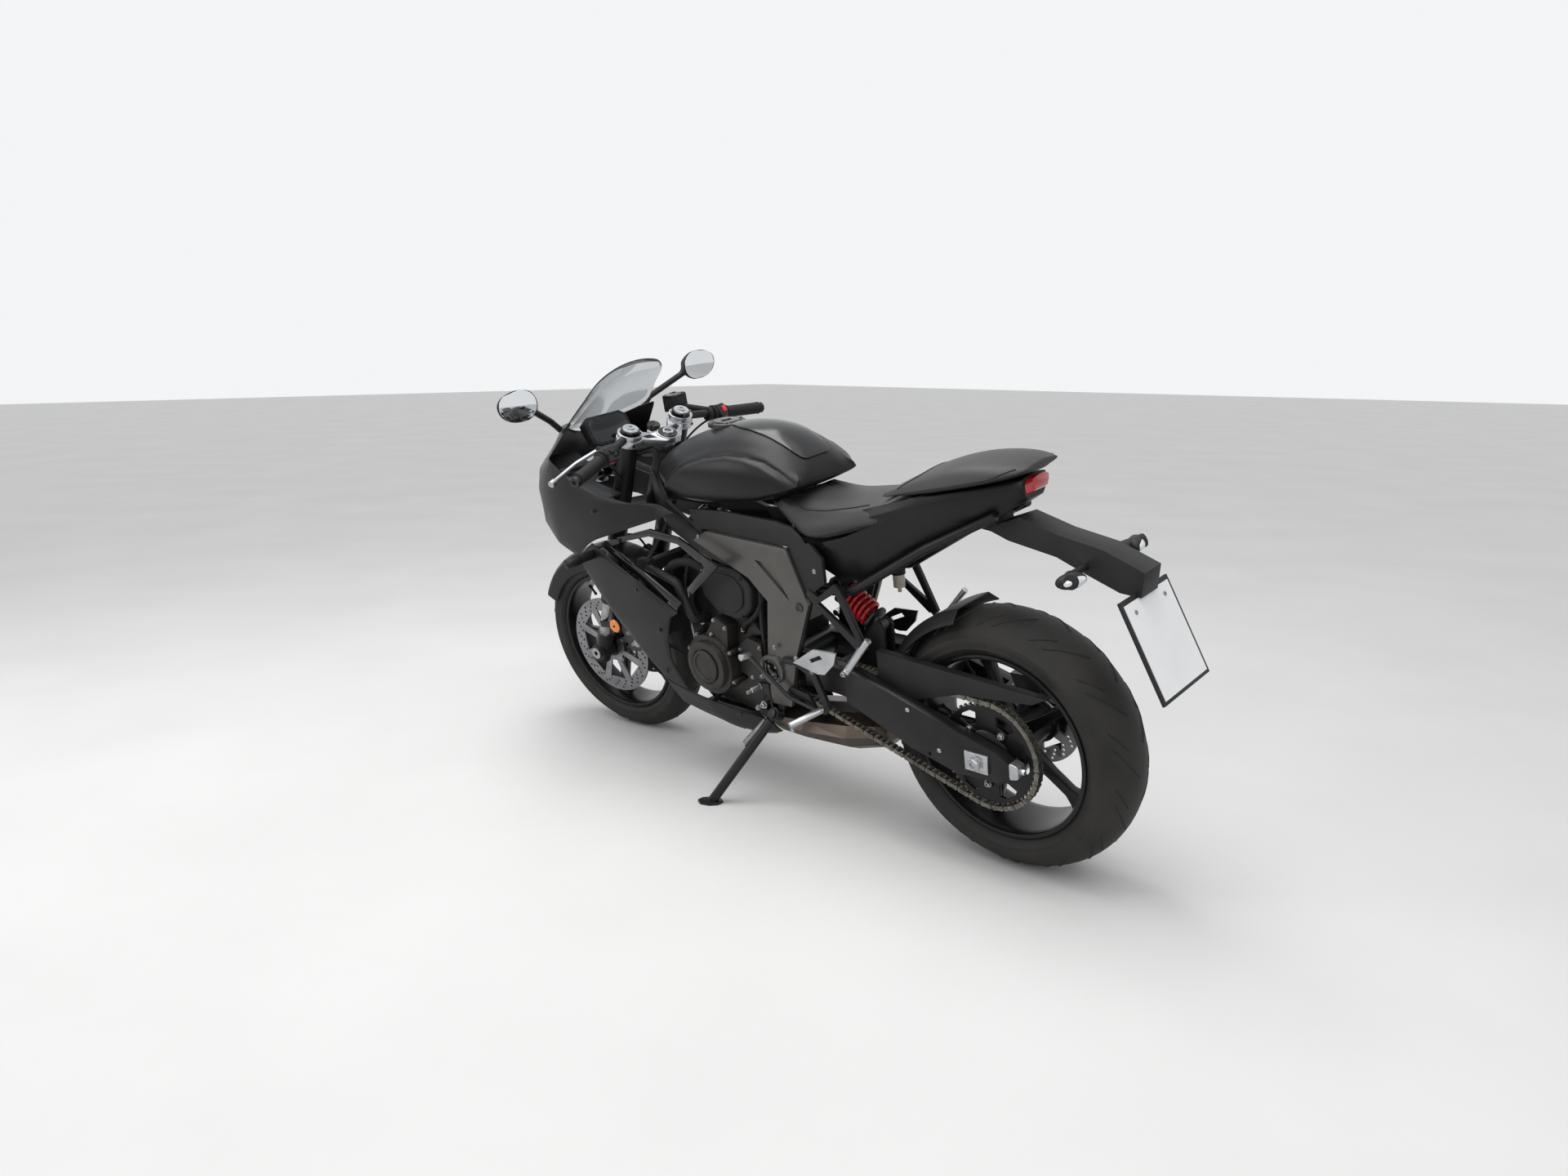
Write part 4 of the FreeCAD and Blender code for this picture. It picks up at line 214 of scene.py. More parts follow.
def turned(name, profile, start=(0, 0, 0), along=(0, 0, 1), sides=32):
    """A turned piece from (radius, height) steps: a disc, extruded and resized step by step."""
    nothing_selected()
    radius, height = profile[0]
    bpy.ops.mesh.primitive_circle_add(
        vertices=sides, radius=radius, fill_type="NGON", location=(0, 0, height)
    )
    piece = bpy.context.object
    piece.name = name
    bpy.ops.object.transform_apply(location=True)
    bpy.ops.object.mode_set(mode="EDIT")
    bpy.ops.mesh.select_all(action="SELECT")
    for next_radius, next_height in profile[1:]:
        bpy.ops.mesh.extrude_region_move(
            TRANSFORM_OT_translate={"value": (0, 0, next_height - height)}
        )
        scale = next_radius / radius
        bpy.ops.transform.resize(value=(scale, scale, 1), center_override=(0, 0, next_height))
        radius, height = next_radius, next_height
    bpy.ops.mesh.select_all(action="SELECT")
    bpy.ops.mesh.normals_make_consistent(inside=False)
    bpy.ops.object.mode_set(mode="OBJECT")
    return placed(piece, facing(start, along))


def bolt(name, start, along, radius=0.006, height=0.005, sides=6):
    """A bolt head: a washer under a hexagon with a dished top."""
    washer = turned(name, [(radius * 1.25, 0), (radius * 1.25, height * 0.2)], start, along, 20)
    head = turned(
        name + "_head",
        [
            (radius, height * 0.15),
            (radius, height * 0.85),
            (radius * 0.86, height),
            (radius * 0.5, height),
            (radius * 0.42, height * 0.55),
        ],
        start,
        along,
        sides,
    )
    return joined(name, [washer, head])


# %% Cut an outline from plate
def outlined(name, outline, low, high, width=0.0015, segments=2, up="Y", corner=0.0):
    """A plate from an outline of (x, z) points between two widths, with rounded edges."""
    nothing_selected()
    bpy.ops.mesh.primitive_circle_add(vertices=len(outline), radius=1, fill_type="NGON")
    piece = bpy.context.object
    piece.name = name
    for vertex, spot in zip(piece.data.vertices, outline):
        if up == "Y":
            vertex.co = (spot[0], low, spot[1])
        else:
            vertex.co = (spot[0], spot[1], low)
    bpy.ops.object.mode_set(mode="EDIT")
    bpy.ops.mesh.select_all(action="SELECT")
    if corner:
        bpy.ops.mesh.bevel(offset=corner, segments=5, affect="VERTICES")
        bpy.ops.mesh.select_all(action="SELECT")
    shift = (0, high - low, 0) if up == "Y" else (0, 0, high - low)
    bpy.ops.mesh.extrude_region_move(TRANSFORM_OT_translate={"value": shift})
    bpy.ops.mesh.select_all(action="SELECT")
    bpy.ops.mesh.normals_make_consistent(inside=False)
    bpy.ops.object.mode_set(mode="OBJECT")
    if width:
        bevelled(piece, width, segments)
    return piece


# %% Bend a tube
def bent(name, points, radius, rings=6, order=4):
    """A tube along a smooth line that is steered by points."""
    nothing_selected()
    bpy.ops.curve.primitive_nurbs_path_add()
    piece = bpy.context.object
    piece.name = name
    line = piece.data.splines[0]
    while len(line.points) < len(points):
        line.points.add(1)
    if len(points) < len(line.points):
        piece.data.splines.remove(line)
        line = piece.data.splines.new("NURBS")
        line.points.add(len(points) - 1)
    for control, spot in zip(line.points, points):
        control.co = (*spot, 1)
    line.order_u = min(order, len(points))
    line.use_endpoint_u = True
    line.resolution_u = 8
    piece.data.bevel_depth = radius
    piece.data.bevel_resolution = rings // 2
    piece.data.use_fill_caps = True
    only(piece)
    bpy.ops.object.convert(target="MESH")
    piece = bpy.context.object
    return smooth(outward(piece), 60)


# %% Copy round the Y axis
def repeated(piece, count):
    """Copies of a piece round the Y axis, joined into one."""
    copies = []
    for number in range(count):
        only(piece)
        bpy.ops.object.duplicate(linked=False)
        copy = bpy.context.object
        turn = Matrix.Rotation(2 * math.pi * number / count, 4, "Y")
        copy.matrix_world = turn @ copy.matrix_world
        copies.append(copy)
    name = piece.name
    bpy.data.objects.remove(piece)
    whole = joined(name, copies)
    bpy.ops.object.transform_apply(location=True, rotation=True, scale=True)
    return whole


# %% A copy of a frame node to work on
def worked_copy(node, name, quads=True):
    """A merged copy of a node's mesh, which then stands for the node."""
    nothing_selected()
    original = frame["nodes"][node]
    only(original)
    bpy.ops.object.duplicate(linked=False)
    piece = bpy.context.object
    piece.name = name
    piece.parent = None
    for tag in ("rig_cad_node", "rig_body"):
        if tag in piece:
            del piece[tag]
    bpy.ops.object.mode_set(mode="EDIT")
    bpy.ops.mesh.select_all(action="SELECT")
    bpy.ops.mesh.remove_doubles(threshold=WELD_WITHIN)
    if quads:
        bpy.ops.mesh.tris_convert_to_quads(
            face_threshold=math.radians(40), shape_threshold=math.radians(100)
        )
    bpy.ops.object.mode_set(mode="OBJECT")
    return piece


def rounded_panel(piece, crease_angle, levels=2):
    """Smooth a faceted panel, keeping its sharp lines with creases."""
    only(piece)
    bpy.ops.object.mode_set(mode="EDIT")
    bpy.ops.mesh.select_mode(type="EDGE")
    bpy.ops.mesh.select_all(action="DESELECT")
    bpy.ops.mesh.edges_select_sharp(sharpness=math.radians(crease_angle))
    bpy.ops.transform.edge_crease(value=0.9)
    bpy.ops.object.mode_set(mode="OBJECT")
    modifier = piece.modifiers.new("smooth", "SUBSURF")
    modifier.levels = levels
    modifier.render_levels = levels
    apply_all(piece)
    return smooth(piece, 50)


# %% [markdown]
# ## Finishes
# No surface on a bike is one flat colour. Paint has a fine orange peel and dust that dulls it,
# moulded plastic has a grain, cast alloy is pebbled, steel is dulled by handling, rubber is dusty.
# One recipe makes them all: a slow noise moves the colour and the roughness, and a fine one gives
# the grain through a bump. It reads Object coordinates, so it stays on the piece as it moves.

# %% The recipe for a finish
def finish(name, colour, rough, metal=0.0, grain=700, depth=0.1, wear=0.15, patch=9, **sockets):
    """A finish with slow changes of tone and roughness, and a fine grain."""
    material = bpy.data.materials.new(name)
    material.use_nodes = True
    nodes = material.node_tree.nodes
    links = material.node_tree.links
    shader = nodes["Principled BSDF"]
    place = nodes.new("ShaderNodeTexCoord")
    slow = nodes.new("ShaderNodeTexNoise")
    slow.inputs["Scale"].default_value = patch
    slow.inputs["Detail"].default_value = 5
    links.new(place.outputs["Object"], slow.inputs["Vector"])
    tone = nodes.new("ShaderNodeValToRGB")
    tone.color_ramp.elements[0].position = 0.32
    tone.color_ramp.elements[1].position = 0.72
    dark = [channel * (1 - wear) for channel in colour]
    light = [min(1, channel * (1 + wear) + wear * 0.012) for channel in colour]
    tone.color_ramp.elements[0].color = (*dark, 1)
    tone.color_ramp.elements[1].color = (*light, 1)
    links.new(slow.outputs["Fac"], tone.inputs["Fac"])
    links.new(tone.outputs["Color"], shader.inputs["Base Color"])
    shine = nodes.new("ShaderNodeMapRange")
    shine.inputs["To Min"].default_value = max(0.02, rough - wear * 0.35)
    shine.inputs["To Max"].default_value = min(1, rough + wear * 0.35)
    links.new(slow.outputs["Fac"], shine.inputs["Value"])
    links.new(shine.outputs["Result"], shader.inputs["Roughness"])
    fine = nodes.new("ShaderNodeTexNoise")
    fine.inputs["Scale"].default_value = grain
    fine.inputs["Detail"].default_value = 3
    links.new(place.outputs["Object"], fine.inputs["Vector"])
    bump = nodes.new("ShaderNodeBump")
    bump.inputs["Strength"].default_value = depth
    bump.inputs["Distance"].default_value = 0.001
    links.new(fine.outputs["Fac"], bump.inputs["Height"])
    links.new(bump.outputs["Normal"], shader.inputs["Normal"])
    shader.inputs["Metallic"].default_value = metal
    for socket, value in sockets.items():
        shader.inputs[socket.replace("_", " ").title().replace("Ior", "IOR")].default_value = value
    return material


# %% Paints and plastics
# name, colour, roughness, metal, scale of the grain, its depth, wear, scale of the slow patches
matt_black = finish(
    "matt_black", (0.0085, 0.0085, 0.0095), 0.38, 0.25, 900, 0.05, 0.18, 6, Specular_Ior_Level=0.30
)
satin_black = finish("satin_black", (0.007, 0.007, 0.008), 0.20, 0.1, 500, 0.03, 0.12, 8)
frame_black = finish(
    "frame_black", (0.008, 0.008, 0.009), 0.40, 0.1, 500, 0.10, 0.2, 14, Specular_Ior_Level=0.30
)
moulded = finish(
    "moulded_plastic", (0.010, 0.010, 0.011), 0.50, 0.0, 1300, 0.35, 0.25, 12,
    Specular_Ior_Level=0.28,
)
gloss_black = finish("gloss_black", (0.006, 0.006, 0.007), 0.10, 0.0, 250, 0.02, 0.12, 10)
grey_paint = finish("grey_paint", (0.098, 0.094, 0.088), 0.36, 0.65, 1100, 0.06, 0.10, 7)
red_paint = finish("red_paint", (0.52, 0.012, 0.018), 0.24, 0.0, 400, 0.04, 0.18, 30)
white_plate = finish("white_plate", (0.80, 0.81, 0.82), 0.28, 0.0, 900, 0.03, 0.03, 12)
red_switch = finish("red_switch", (0.60, 0.03, 0.035), 0.38, 0.0, 900, 0.1, 0.12, 60)

# %% Metals
bright_alloy = finish("bright_alloy", (0.44, 0.45, 0.465), 0.30, 0.9, 800, 0.14, 0.12, 22)
wheel_black = finish(
    "wheel_black", (0.008, 0.008, 0.009), 0.33, 0.3, 700, 0.06, 0.2, 12, Specular_Ior_Level=0.35
)
disc_steel = finish("disc_steel", (0.22, 0.22, 0.23), 0.30, 1.0, 1500, 0.10, 0.2, 35)
plain_steel = finish("plain_steel", (0.34, 0.34, 0.35), 0.30, 1.0, 900, 0.10, 0.25, 40)
chain_steel = finish("chain_steel", (0.16, 0.15, 0.13), 0.38, 0.9, 600, 0.2, 0.45, 60)
cast_case = finish(
    "cast_case", (0.034, 0.032, 0.030), 0.42, 0.6, 750, 0.30, 0.22, 16, Specular_Ior_Level=0.4
)
exhaust_steel = finish("exhaust_steel", (0.115, 0.092, 0.075), 0.38, 0.85, 300, 0.12, 0.4, 9)
dark_alloy = finish("dark_alloy", (0.060, 0.060, 0.063), 0.40, 0.8, 800, 0.15, 0.2, 20)

# %% Rubber, vinyl and things that glow or reflect
tyre_rubber = finish(
    "tyre_rubber", (0.017, 0.0155, 0.0145), 0.64, 0.0, 850, 0.30, 0.35, 11, Specular_Ior_Level=0.30
)
# Nearly black rubber for the sunk groove faces: painted shade in the tyre grooves.
painted_groove_shade = finish("painted_groove_shade", (0.0035, 0.0032, 0.0030), 0.80, 0.0, 850, 0.10, 0.2, 11)
soft_rubber = finish(
    "soft_rubber", (0.010, 0.010, 0.010), 0.62, 0.0, 1500, 0.45, 0.25, 30, Specular_Ior_Level=0.25
)
mirror_glass = finish("mirror_glass", (0.72, 0.74, 0.76), 0.03, 1.0, 20, 0.0, 0.03, 8)
display_glass = finish("display_glass", (0.008, 0.009, 0.011), 0.06, 0.0, 30, 0.0, 0.1, 12)
reflector_amber = finish(
    "amber_lens", (0.85, 0.22, 0.01), 0.20, 0.0, 330, 0.5, 0.12, 60, Coat_Weight=0.6
)
red_lens = finish(
    "red_lens", (0.42, 0.006, 0.010), 0.12, 0.0, 260, 0.25, 0.25, 50, Coat_Weight=0.8
)
lamp_white = finish("lamp_white", (0.72, 0.74, 0.76), 0.16, 0.2, 320, 0.3, 0.08, 60)
reservoir_white = finish("reservoir_white", (0.62, 0.58, 0.48), 0.40, 0.0, 600, 0.1, 0.1, 40)


def vinyl():
    """Seat cover: small rounded cells pressed into matt vinyl, over slow creases."""
    material = finish("seat_vinyl", (0.016, 0.016, 0.017), 0.50, 0.0, 1500, 0.2, 0.22, 14)
    nodes = material.node_tree.nodes
    links = material.node_tree.links
    place = nodes["Texture Coordinate"]
    cells = nodes.new("ShaderNodeTexVoronoi")
    cells.inputs["Scale"].default_value = 520
    links.new(place.outputs["Object"], cells.inputs["Vector"])
    pressed = nodes.new("ShaderNodeBump")
    pressed.inputs["Strength"].default_value = 0.4
    pressed.inputs["Distance"].default_value = 0.0006
    links.new(cells.outputs["Distance"], pressed.inputs["Height"])
    links.new(nodes["Bump"].outputs["Normal"], pressed.inputs["Normal"])
    links.new(pressed.outputs["Normal"], nodes["Principled BSDF"].inputs["Normal"])
    return material


seat_vinyl = vinyl()


def clear(name, colour, rough):
    """Clear moulded plastic, tinted all through."""
    material = finish(name, colour, rough, 0.0, 60, 0.02, 0.04, 8, Transmission_Weight=0.96)
    material.node_tree.nodes["Principled BSDF"].inputs["IOR"].default_value = 1.30
    return material


smoked_screen = clear("smoked_screen", (0.62, 0.64, 0.66), 0.02)
lamp_cover = clear("lamp_cover", (0.80, 0.83, 0.86), 0.02)
print("finishes:", len(bpy.data.materials))

# %% [markdown]
# ## The frame's own pieces
# Castings, tubes and forgings are right as they are, so each keeps its solid and only takes a
# finish. A weld and a narrow bevel catch the light along the edges, as a cast or cut edge does.

# %% Finish the pieces that stay
# node: (finish, width of its rounded edges)
KEPT = {
    "fork_yokes": (bright_alloy, 0.0014),
    "fork_legs": (frame_black, 0),
    "front_axle": (plain_steel, 0),
    "front_calipers": (dark_alloy, 0.002),
    "rear_axle": (bright_alloy, 0.001),
    "rear_caliper": (dark_alloy, 0.002),
    "engine": (cast_case, 0.004),
    "engine_covers": (cast_case, 0.0022),
    "main_frame": (frame_black, 0.0015),
    "swingarm": (frame_black, 0.004),
    "frame_covers": (grey_paint, 0.0025),
    "exhaust": (exhaust_steel, 0),
    "radiator": (moulded, 0.001),
    "front_rim": (wheel_black, 0.0012),
    "rear_rim": (wheel_black, 0.0012),
    "rear_sprocket": (chain_steel, 0.0006),
    "wheel_guards": (moulded, 0.0012),
    "side_stand": (frame_black, 0.001),
    "handlebars": (soft_rubber, 0.001),
    "indicators": (moulded, 0.003),
    "fairing_vanes": (gloss_black, 0.0012),
    "cockpit_panel": (moulded, 0.001),
    "number_plate": (white_plate, 0),
    "plate_hanger": (moulded, 0.009),
    "footrests": (bright_alloy, 0.0012),
    "instrument_cluster": (moulded, 0.002),
    "headlamps": (lamp_cover, 0),
    "tail_light": (red_lens, 0.002),
    "side_covers": (moulded, 0.0015),
}
for node_name, (material, edge) in KEPT.items():
    node = frame["nodes"][node_name]
    node.data.materials.clear()
    node.data.materials.append(material)
    for face in node.data.polygons:
        face.use_smooth = bool(edge)
    if edge:
        weld = node.modifiers.new("weld", "WELD")
        weld.merge_threshold = 0.00003
        round_edges = node.modifiers.new("rounded edges", "BEVEL")
        round_edges.width = edge
        round_edges.segments = 2
        round_edges.angle_limit = math.radians(28)
        round_edges.harden_normals = True
print("kept nodes:", len(KEPT), "dressed over:", len(frame["nodes"]) - len(KEPT))

# %% [markdown]
# ## Bodywork
# On the real bike the tank is pressed steel and the rest is moulded plastic, all with soft curves
# between a few crisp lines. The frame gives each as flat facets. Remodelling them from nothing
# would risk a gap to what they bolt to, so each is a merged copy of its solid: the sharp lines are
# creased, and a subdivision surface rounds all that lies between them.

# %% Round the painted and moulded panels
ROUNDED = (
    # node, piece, finish, slot, crease above this angle, levels
    ("fuel_tank", "tank_shell", matt_black, "matte_black_paint", 60, 3),
    ("tail_cowl", "tail_fairing", matt_black, "matte_black_paint", 50, 2),
    ("upper_cowl", "nose_fairing", matt_black, "matte_black_paint", 30, 2),
    ("side_fairings", "flank_fairings", matt_black, "matte_black_paint", 30, 2),
    ("belly_cowl", "belly_fairing", matt_black, "matte_black_paint", 30, 2),
    ("windscreen", "screen", smoked_screen, "clear_screen", 50, 2),
)
for node_name, piece_name, material, slot, crease, levels in ROUNDED:
    panel = rounded_panel(worked_copy(node_name, piece_name), crease, levels)
    settle(panel, upright, "chassis", material)
    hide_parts(node_name)
    print(piece_name, len(panel.data.polygons), "faces")

guard = rounded_panel(worked_copy("front_mudguard", "front_fender"), 38, 2)
settle(guard, upright, "steering", matt_black)
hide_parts("front_mudguard")

# %% [markdown]
# ## Seats
# Both seats are moulded foam under tight vinyl, so they don't sag like a cushion: the form is
# firm, and what shows is the crown, the seam round the top panel and the grain. A cloth solver
# would only swell the form, so a subdivision surface makes it, and a thin welt is laid along it.

# %% Seats and their welts
for node_name, piece_name in (("rider_seat", "rider_saddle"), ("passenger_seat", "pillion_pad")):
    pad = rounded_panel(worked_copy(node_name, piece_name), 62, 3)
    settle(pad, upright, "chassis", seat_vinyl)
    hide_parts(node_name)
    print(piece_name, len(pad.data.polygons), "faces")


def settled_on(piece, target, offset):
    """Pull each point of a piece on to a surface, a little proud of it."""
    wrap = piece.modifiers.new("lay on", "SHRINKWRAP")
    wrap.target = target
    wrap.wrap_method = "NEAREST_SURFACEPOINT"
    wrap.wrap_mode = "ABOVE_SURFACE"
    wrap.offset = offset
    apply_all(piece)


def welt(name, points, target, radius=0.0016):
    """A seam: a fine line laid on a surface, then thickened to a tube."""
    nothing_selected()
    bpy.ops.mesh.primitive_circle_add(vertices=3, radius=0.01)
    line = bpy.context.object
    line.name = name
    bpy.ops.object.mode_set(mode="EDIT")
    bpy.ops.mesh.select_all(action="SELECT")
    bpy.ops.mesh.delete(type="VERT")
    bpy.ops.object.mode_set(mode="OBJECT")
    spots = [chassis @ Vector(spot) for spot in points]
    fine = []
    for start, end in zip(spots, spots[1:]):
        for share in (0, 0.25, 0.5, 0.75):
            fine.append(start.lerp(end, share))
    fine.append(spots[-1])
    line.data.from_pydata(fine, [(i, i + 1) for i in range(len(fine) - 1)], [])
    settled_on(line, target, 0.0004)
    laid = [vertex.co.copy() for vertex in line.data.vertices]
    bpy.data.objects.remove(line)
    return bent(name, laid, radius, 4, 3)


saddle = bpy.data.objects["rider_saddle"]
pillion = bpy.data.objects["pillion_pad"]
seams = []
for side in (1, -1):
    seams.append(
        welt(
            "saddle_seam",
            [
                (0.610, side * 0.062, 0.885),
                (0.560, side * 0.092, 0.862),
                (0.480, side * 0.112, 0.838),
                (0.400, side * 0.112, 0.838),
                (0.330, side * 0.104, 0.850),
                (0.290, side * 0.096, 0.862),
            ],
            saddle,
        )
    )
seams.append(
    welt(
        "pillion_front_seam",
        [(0.205, 0.096, 0.905), (0.168, 0.07, 0.945), (0.155, 0, 0.955), (0.168, -0.07, 0.945),
         (0.205, -0.096, 0.905)],
        pillion,
    )
)
for side in (1, -1):
    seams.append(
        welt(
            "pillion_side_seam",
            [
                (0.235, side * 0.104, 0.888),
                (0.160, side * 0.112, 0.905),
                (0.060, side * 0.116, 0.925),
                (-0.040, side * 0.104, 0.946),
                (-0.085, side * 0.070, 0.962),
            ],
            pillion,
        )
    )
seam_line = joined("seat_seams", seams)
settle(seam_line, upright, "chassis", moulded)
print("seams:", len(seam_line.data.polygons), "faces")

# %% [markdown]
# ## Tyres
# A road tyre's tread is cut, not moulded on: long slanted grooves sweep from near the middle to
# each shoulder. A texture would leave the edge of the tyre smooth, so the grooves are real. One
# pitch of the tread is modelled on a grid whose lines already slant, its groove faces are inset
# and sunk and take a darker rubber as painted shade, and copies of that pitch close the ring.

# %% The section of a tyre
def tyre_outline(radius, crown, crown_half, widest, widest_half, rim_half):
    """The closed section of a tyre, from the left bead over the crown and back inside."""
    bead = 0.216
    left = []
    reach = math.asin(crown_half / crown)
    for step in range(9):
        turn = reach * step / 8
        left.append((crown * math.sin(turn), radius - crown + crown * math.cos(turn)))
    left += [
        (widest_half * 0.985, (left[-1][1] + widest) / 2),
        (widest_half, widest),
        (widest_half * 0.985, widest - 0.010),
        (widest_half * 0.955, widest - 0.019),
        (widest_half * 0.962, widest - 0.0205),
        (widest_half * 0.90, widest - 0.029),
        (rim_half + 0.001, bead + 0.0105),
        (rim_half - 0.0015, bead + 0.0085),
        (rim_half - 0.0015, bead + 0.0006),
        (rim_half - 0.014, bead + 0.0006),
        (rim_half - 0.010, bead + 0.016),
        (widest_half - 0.013, widest),
        (crown_half * 0.85, radius - crown + crown * math.cos(reach * 0.85) - 0.013),
        (crown_half * 0.4, radius - 0.017),
    ]
    outer = left[:18]
    inner = left[18:]
    right = [(-y, r) for y, r in outer[:0:-1]]
    inner_right = [(-y, r) for y, r in inner]
    return right + outer + inner + inner_right[::-1]


# %% One pitch of tread, copied round
def tyre(name, section, pitches, slant, slots, depth, body, node):
    """A tyre from the sizes of its section: slots are (column, low y, high y) to sink."""
    radius, crown = section[:2]
    outline = tyre_outline(*section)
    nothing_selected()
    shares = (0, 0.12, 0.165, 0.34, 0.38, 0.62, 0.665, 0.84, 0.88, 1)
    columns = len(shares) - 1
    rows = len(outline)
    bpy.ops.mesh.primitive_grid_add(x_subdivisions=columns, y_subdivisions=rows, size=1)
    pitch = bpy.context.object
    pitch.name = name
    pitch.data.materials.append(tyre_rubber)
    pitch.data.materials.append(painted_groove_shade)
    turn = 2 * math.pi / pitches
    vertices = pitch.data.vertices
    for number, vertex in enumerate(vertices):
        row, column = divmod(number, columns + 1)
        y, distance = outline[row % rows]
        lead = slant * min(1.0, abs(y) / crown) ** 1.4 if distance > radius * 0.7 else slant
        angle = shares[column] * turn + lead
        vertex.co = (distance * math.cos(angle), y, distance * math.sin(angle))
    for sunk_column, low, high in slots:
        bpy.ops.object.mode_set(mode="EDIT")
        bpy.ops.mesh.select_mode(type="FACE")
        bpy.ops.mesh.select_all(action="DESELECT")
        bpy.ops.object.mode_set(mode="OBJECT")
        for number, face in enumerate(pitch.data.polygons[: columns * rows]):
            row, column = divmod(number, columns)
            y_middle = (outline[row][0] + outline[(row + 1) % rows][0]) / 2
            outside = outline[row][1] > radius - crown * 0.75
            face.select = column == sunk_column and low < y_middle < high and outside
        bpy.ops.object.mode_set(mode="EDIT")
        bpy.ops.mesh.inset(thickness=0.0006, depth=-depth)
        bpy.ops.object.mode_set(mode="OBJECT")
        # The sunk groove faces take the darker rubber, which is painted shade in the grooves.
        for face in pitch.data.polygons:
            if face.select:
                face.material_index = 1
    ring = repeated(pitch, pitches)
    ring = smooth(outward(ring), 40)
    sunk = [face.index for face in ring.data.polygons if face.material_index == 1]
    settle(ring, PLACES[body], body, tyre_rubber)
    ring.data.materials.append(painted_groove_shade)
    for number in sunk:
        ring.data.polygons[number].material_index = 1
    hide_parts(node)
    print(name, len(ring.data.polygons), "faces")


# radius, crown's arc, crown's half width, radius where widest, half width there, rim's half width
FRONT_SECTION = (0.300, 0.062, 0.054, 0.260, 0.060, 0.045)
REAR_SECTION = (0.315, 0.095, 0.080, 0.262, 0.090, 0.070)
front_slots = ((1, 0.003, 0.043), (5, -0.043, -0.003), (3, -0.040, -0.022), (7, 0.022, 0.040))
rear_slots = ((1, 0.006, 0.066), (5, -0.066, -0.006), (3, -0.064, -0.034), (7, 0.034, 0.064))
tyre("front_tread", FRONT_SECTION, 16, 0.34, front_slots, 0.0016, "front_wheel", "front_tyre")
tyre("rear_tread", REAR_SECTION, 14, -0.50, rear_slots, 0.0018, "rear_wheel", "rear_tyre")

# %% [markdown]
# ## Several finishes on one casting
# Some solids are one piece in the frame but carry more than one finish on the real bike: a bright
# heel plate on a black hanger, a plated tube under a black one. Cutting them apart would leave
# open holes, so each face of the solid takes its material by where it lies on the upright bike.

# %% Paint faces by their place
SEEN_FROM = {"chassis": chassis.inverted(), "steering": steering.inverted()}


def painted(node_name, material, body, chosen):
    """Give a material to the faces of a node whose upright middle passes a test."""
    mesh = frame["nodes"][node_name].data
    mesh.materials.append(material)
    number = len(mesh.materials) - 1
    count = 0
    for face in mesh.polygons:
        if chosen(SEEN_FROM[body] @ face.center):
            face.material_index = number
            count += 1
    print(node_name, "takes", material.name, "on", count, "faces")


def along_fork(spot):
    return (spot - STEER_FOOT).dot(STEER_UP)


def from_leg(spot):
    """Distance from the nearer fork leg's axis."""
    middle = fork_point(FORK_OFFSET, math.copysign(0.103, spot.y), 0)
    away = spot - middle
    return (away - STEER_UP * away.dot(STEER_UP)).length


BAR_ROOT = fork_point(FORK_OFFSET, 0.103, 1.054)
BAR_END = Vector((BAR_ROOT.x - 0.066, 0.368, BAR_ROOT.z - 0.038))
BAR_LINE = (BAR_END - BAR_ROOT).normalized()


def along_bar(distance, ahead=0.0, above=0.0, side=1):
    """A point measured in from the bar end, ahead of and above the bar."""
    spot = BAR_END - BAR_LINE * distance + Vector((ahead, 0, above))
    return Vector((spot.x, side * spot.y, spot.z))


def from_bar(spot):
    away = Vector((spot.x, abs(spot.y), spot.z)) - BAR_END
    return (away - BAR_LINE * away.dot(BAR_LINE)).length


painted("fork_legs", plain_steel, "steering", lambda p: 0.37 < along_fork(p) < 0.496)
painted("fork_yokes", frame_black, "steering", lambda p: along_fork(p) < 0.90)
painted(
    "handlebars", bright_alloy, "steering",
    lambda p: from_leg(p) < 0.036 or (from_bar(p) > 0.026 and p.z < 0.972 and abs(p.y) > 0.17),
)
painted(
    "handlebars", frame_black, "steering",
    lambda p: 0.10 < abs(p.y) < 0.19 and from_leg(p) > 0.037 and from_bar(p) < 0.014,
)
painted(
    "footrests", frame_black, "chassis",
    lambda p: abs(p.y) < 0.1581 or (abs(p.y) < 0.1748 and p.x > 0.47 and p.z < 0.43) or p.z > 0.60,
)
painted("footrests", moulded, "chassis", lambda p: -0.125 < p.y < -0.085 and p.z > 0.617)
painted(
    "footrests", reservoir_white, "chassis",
    lambda p: -0.125 < p.y < -0.085 and 0.575 < p.z < 0.6199 and p.x < 0.406,
)
painted("main_frame", moulded, "chassis", lambda p: p.x > 1.02)
painted(
    "rear_sprocket", wheel_black, "chassis",
    lambda p: math.hypot(p.x, p.z - REAR_HUB.z) < 0.118,
)
painted("exhaust", plain_steel, "chassis", lambda p: p.x > 0.80)

# %% [markdown]
# ## Brake discs
# Each disc is drilled in slanted rows, so that the pads are wiped and the steel cools. The rows
# are cut with a boolean: one row of drills is modelled, copied round, and taken from the disc.

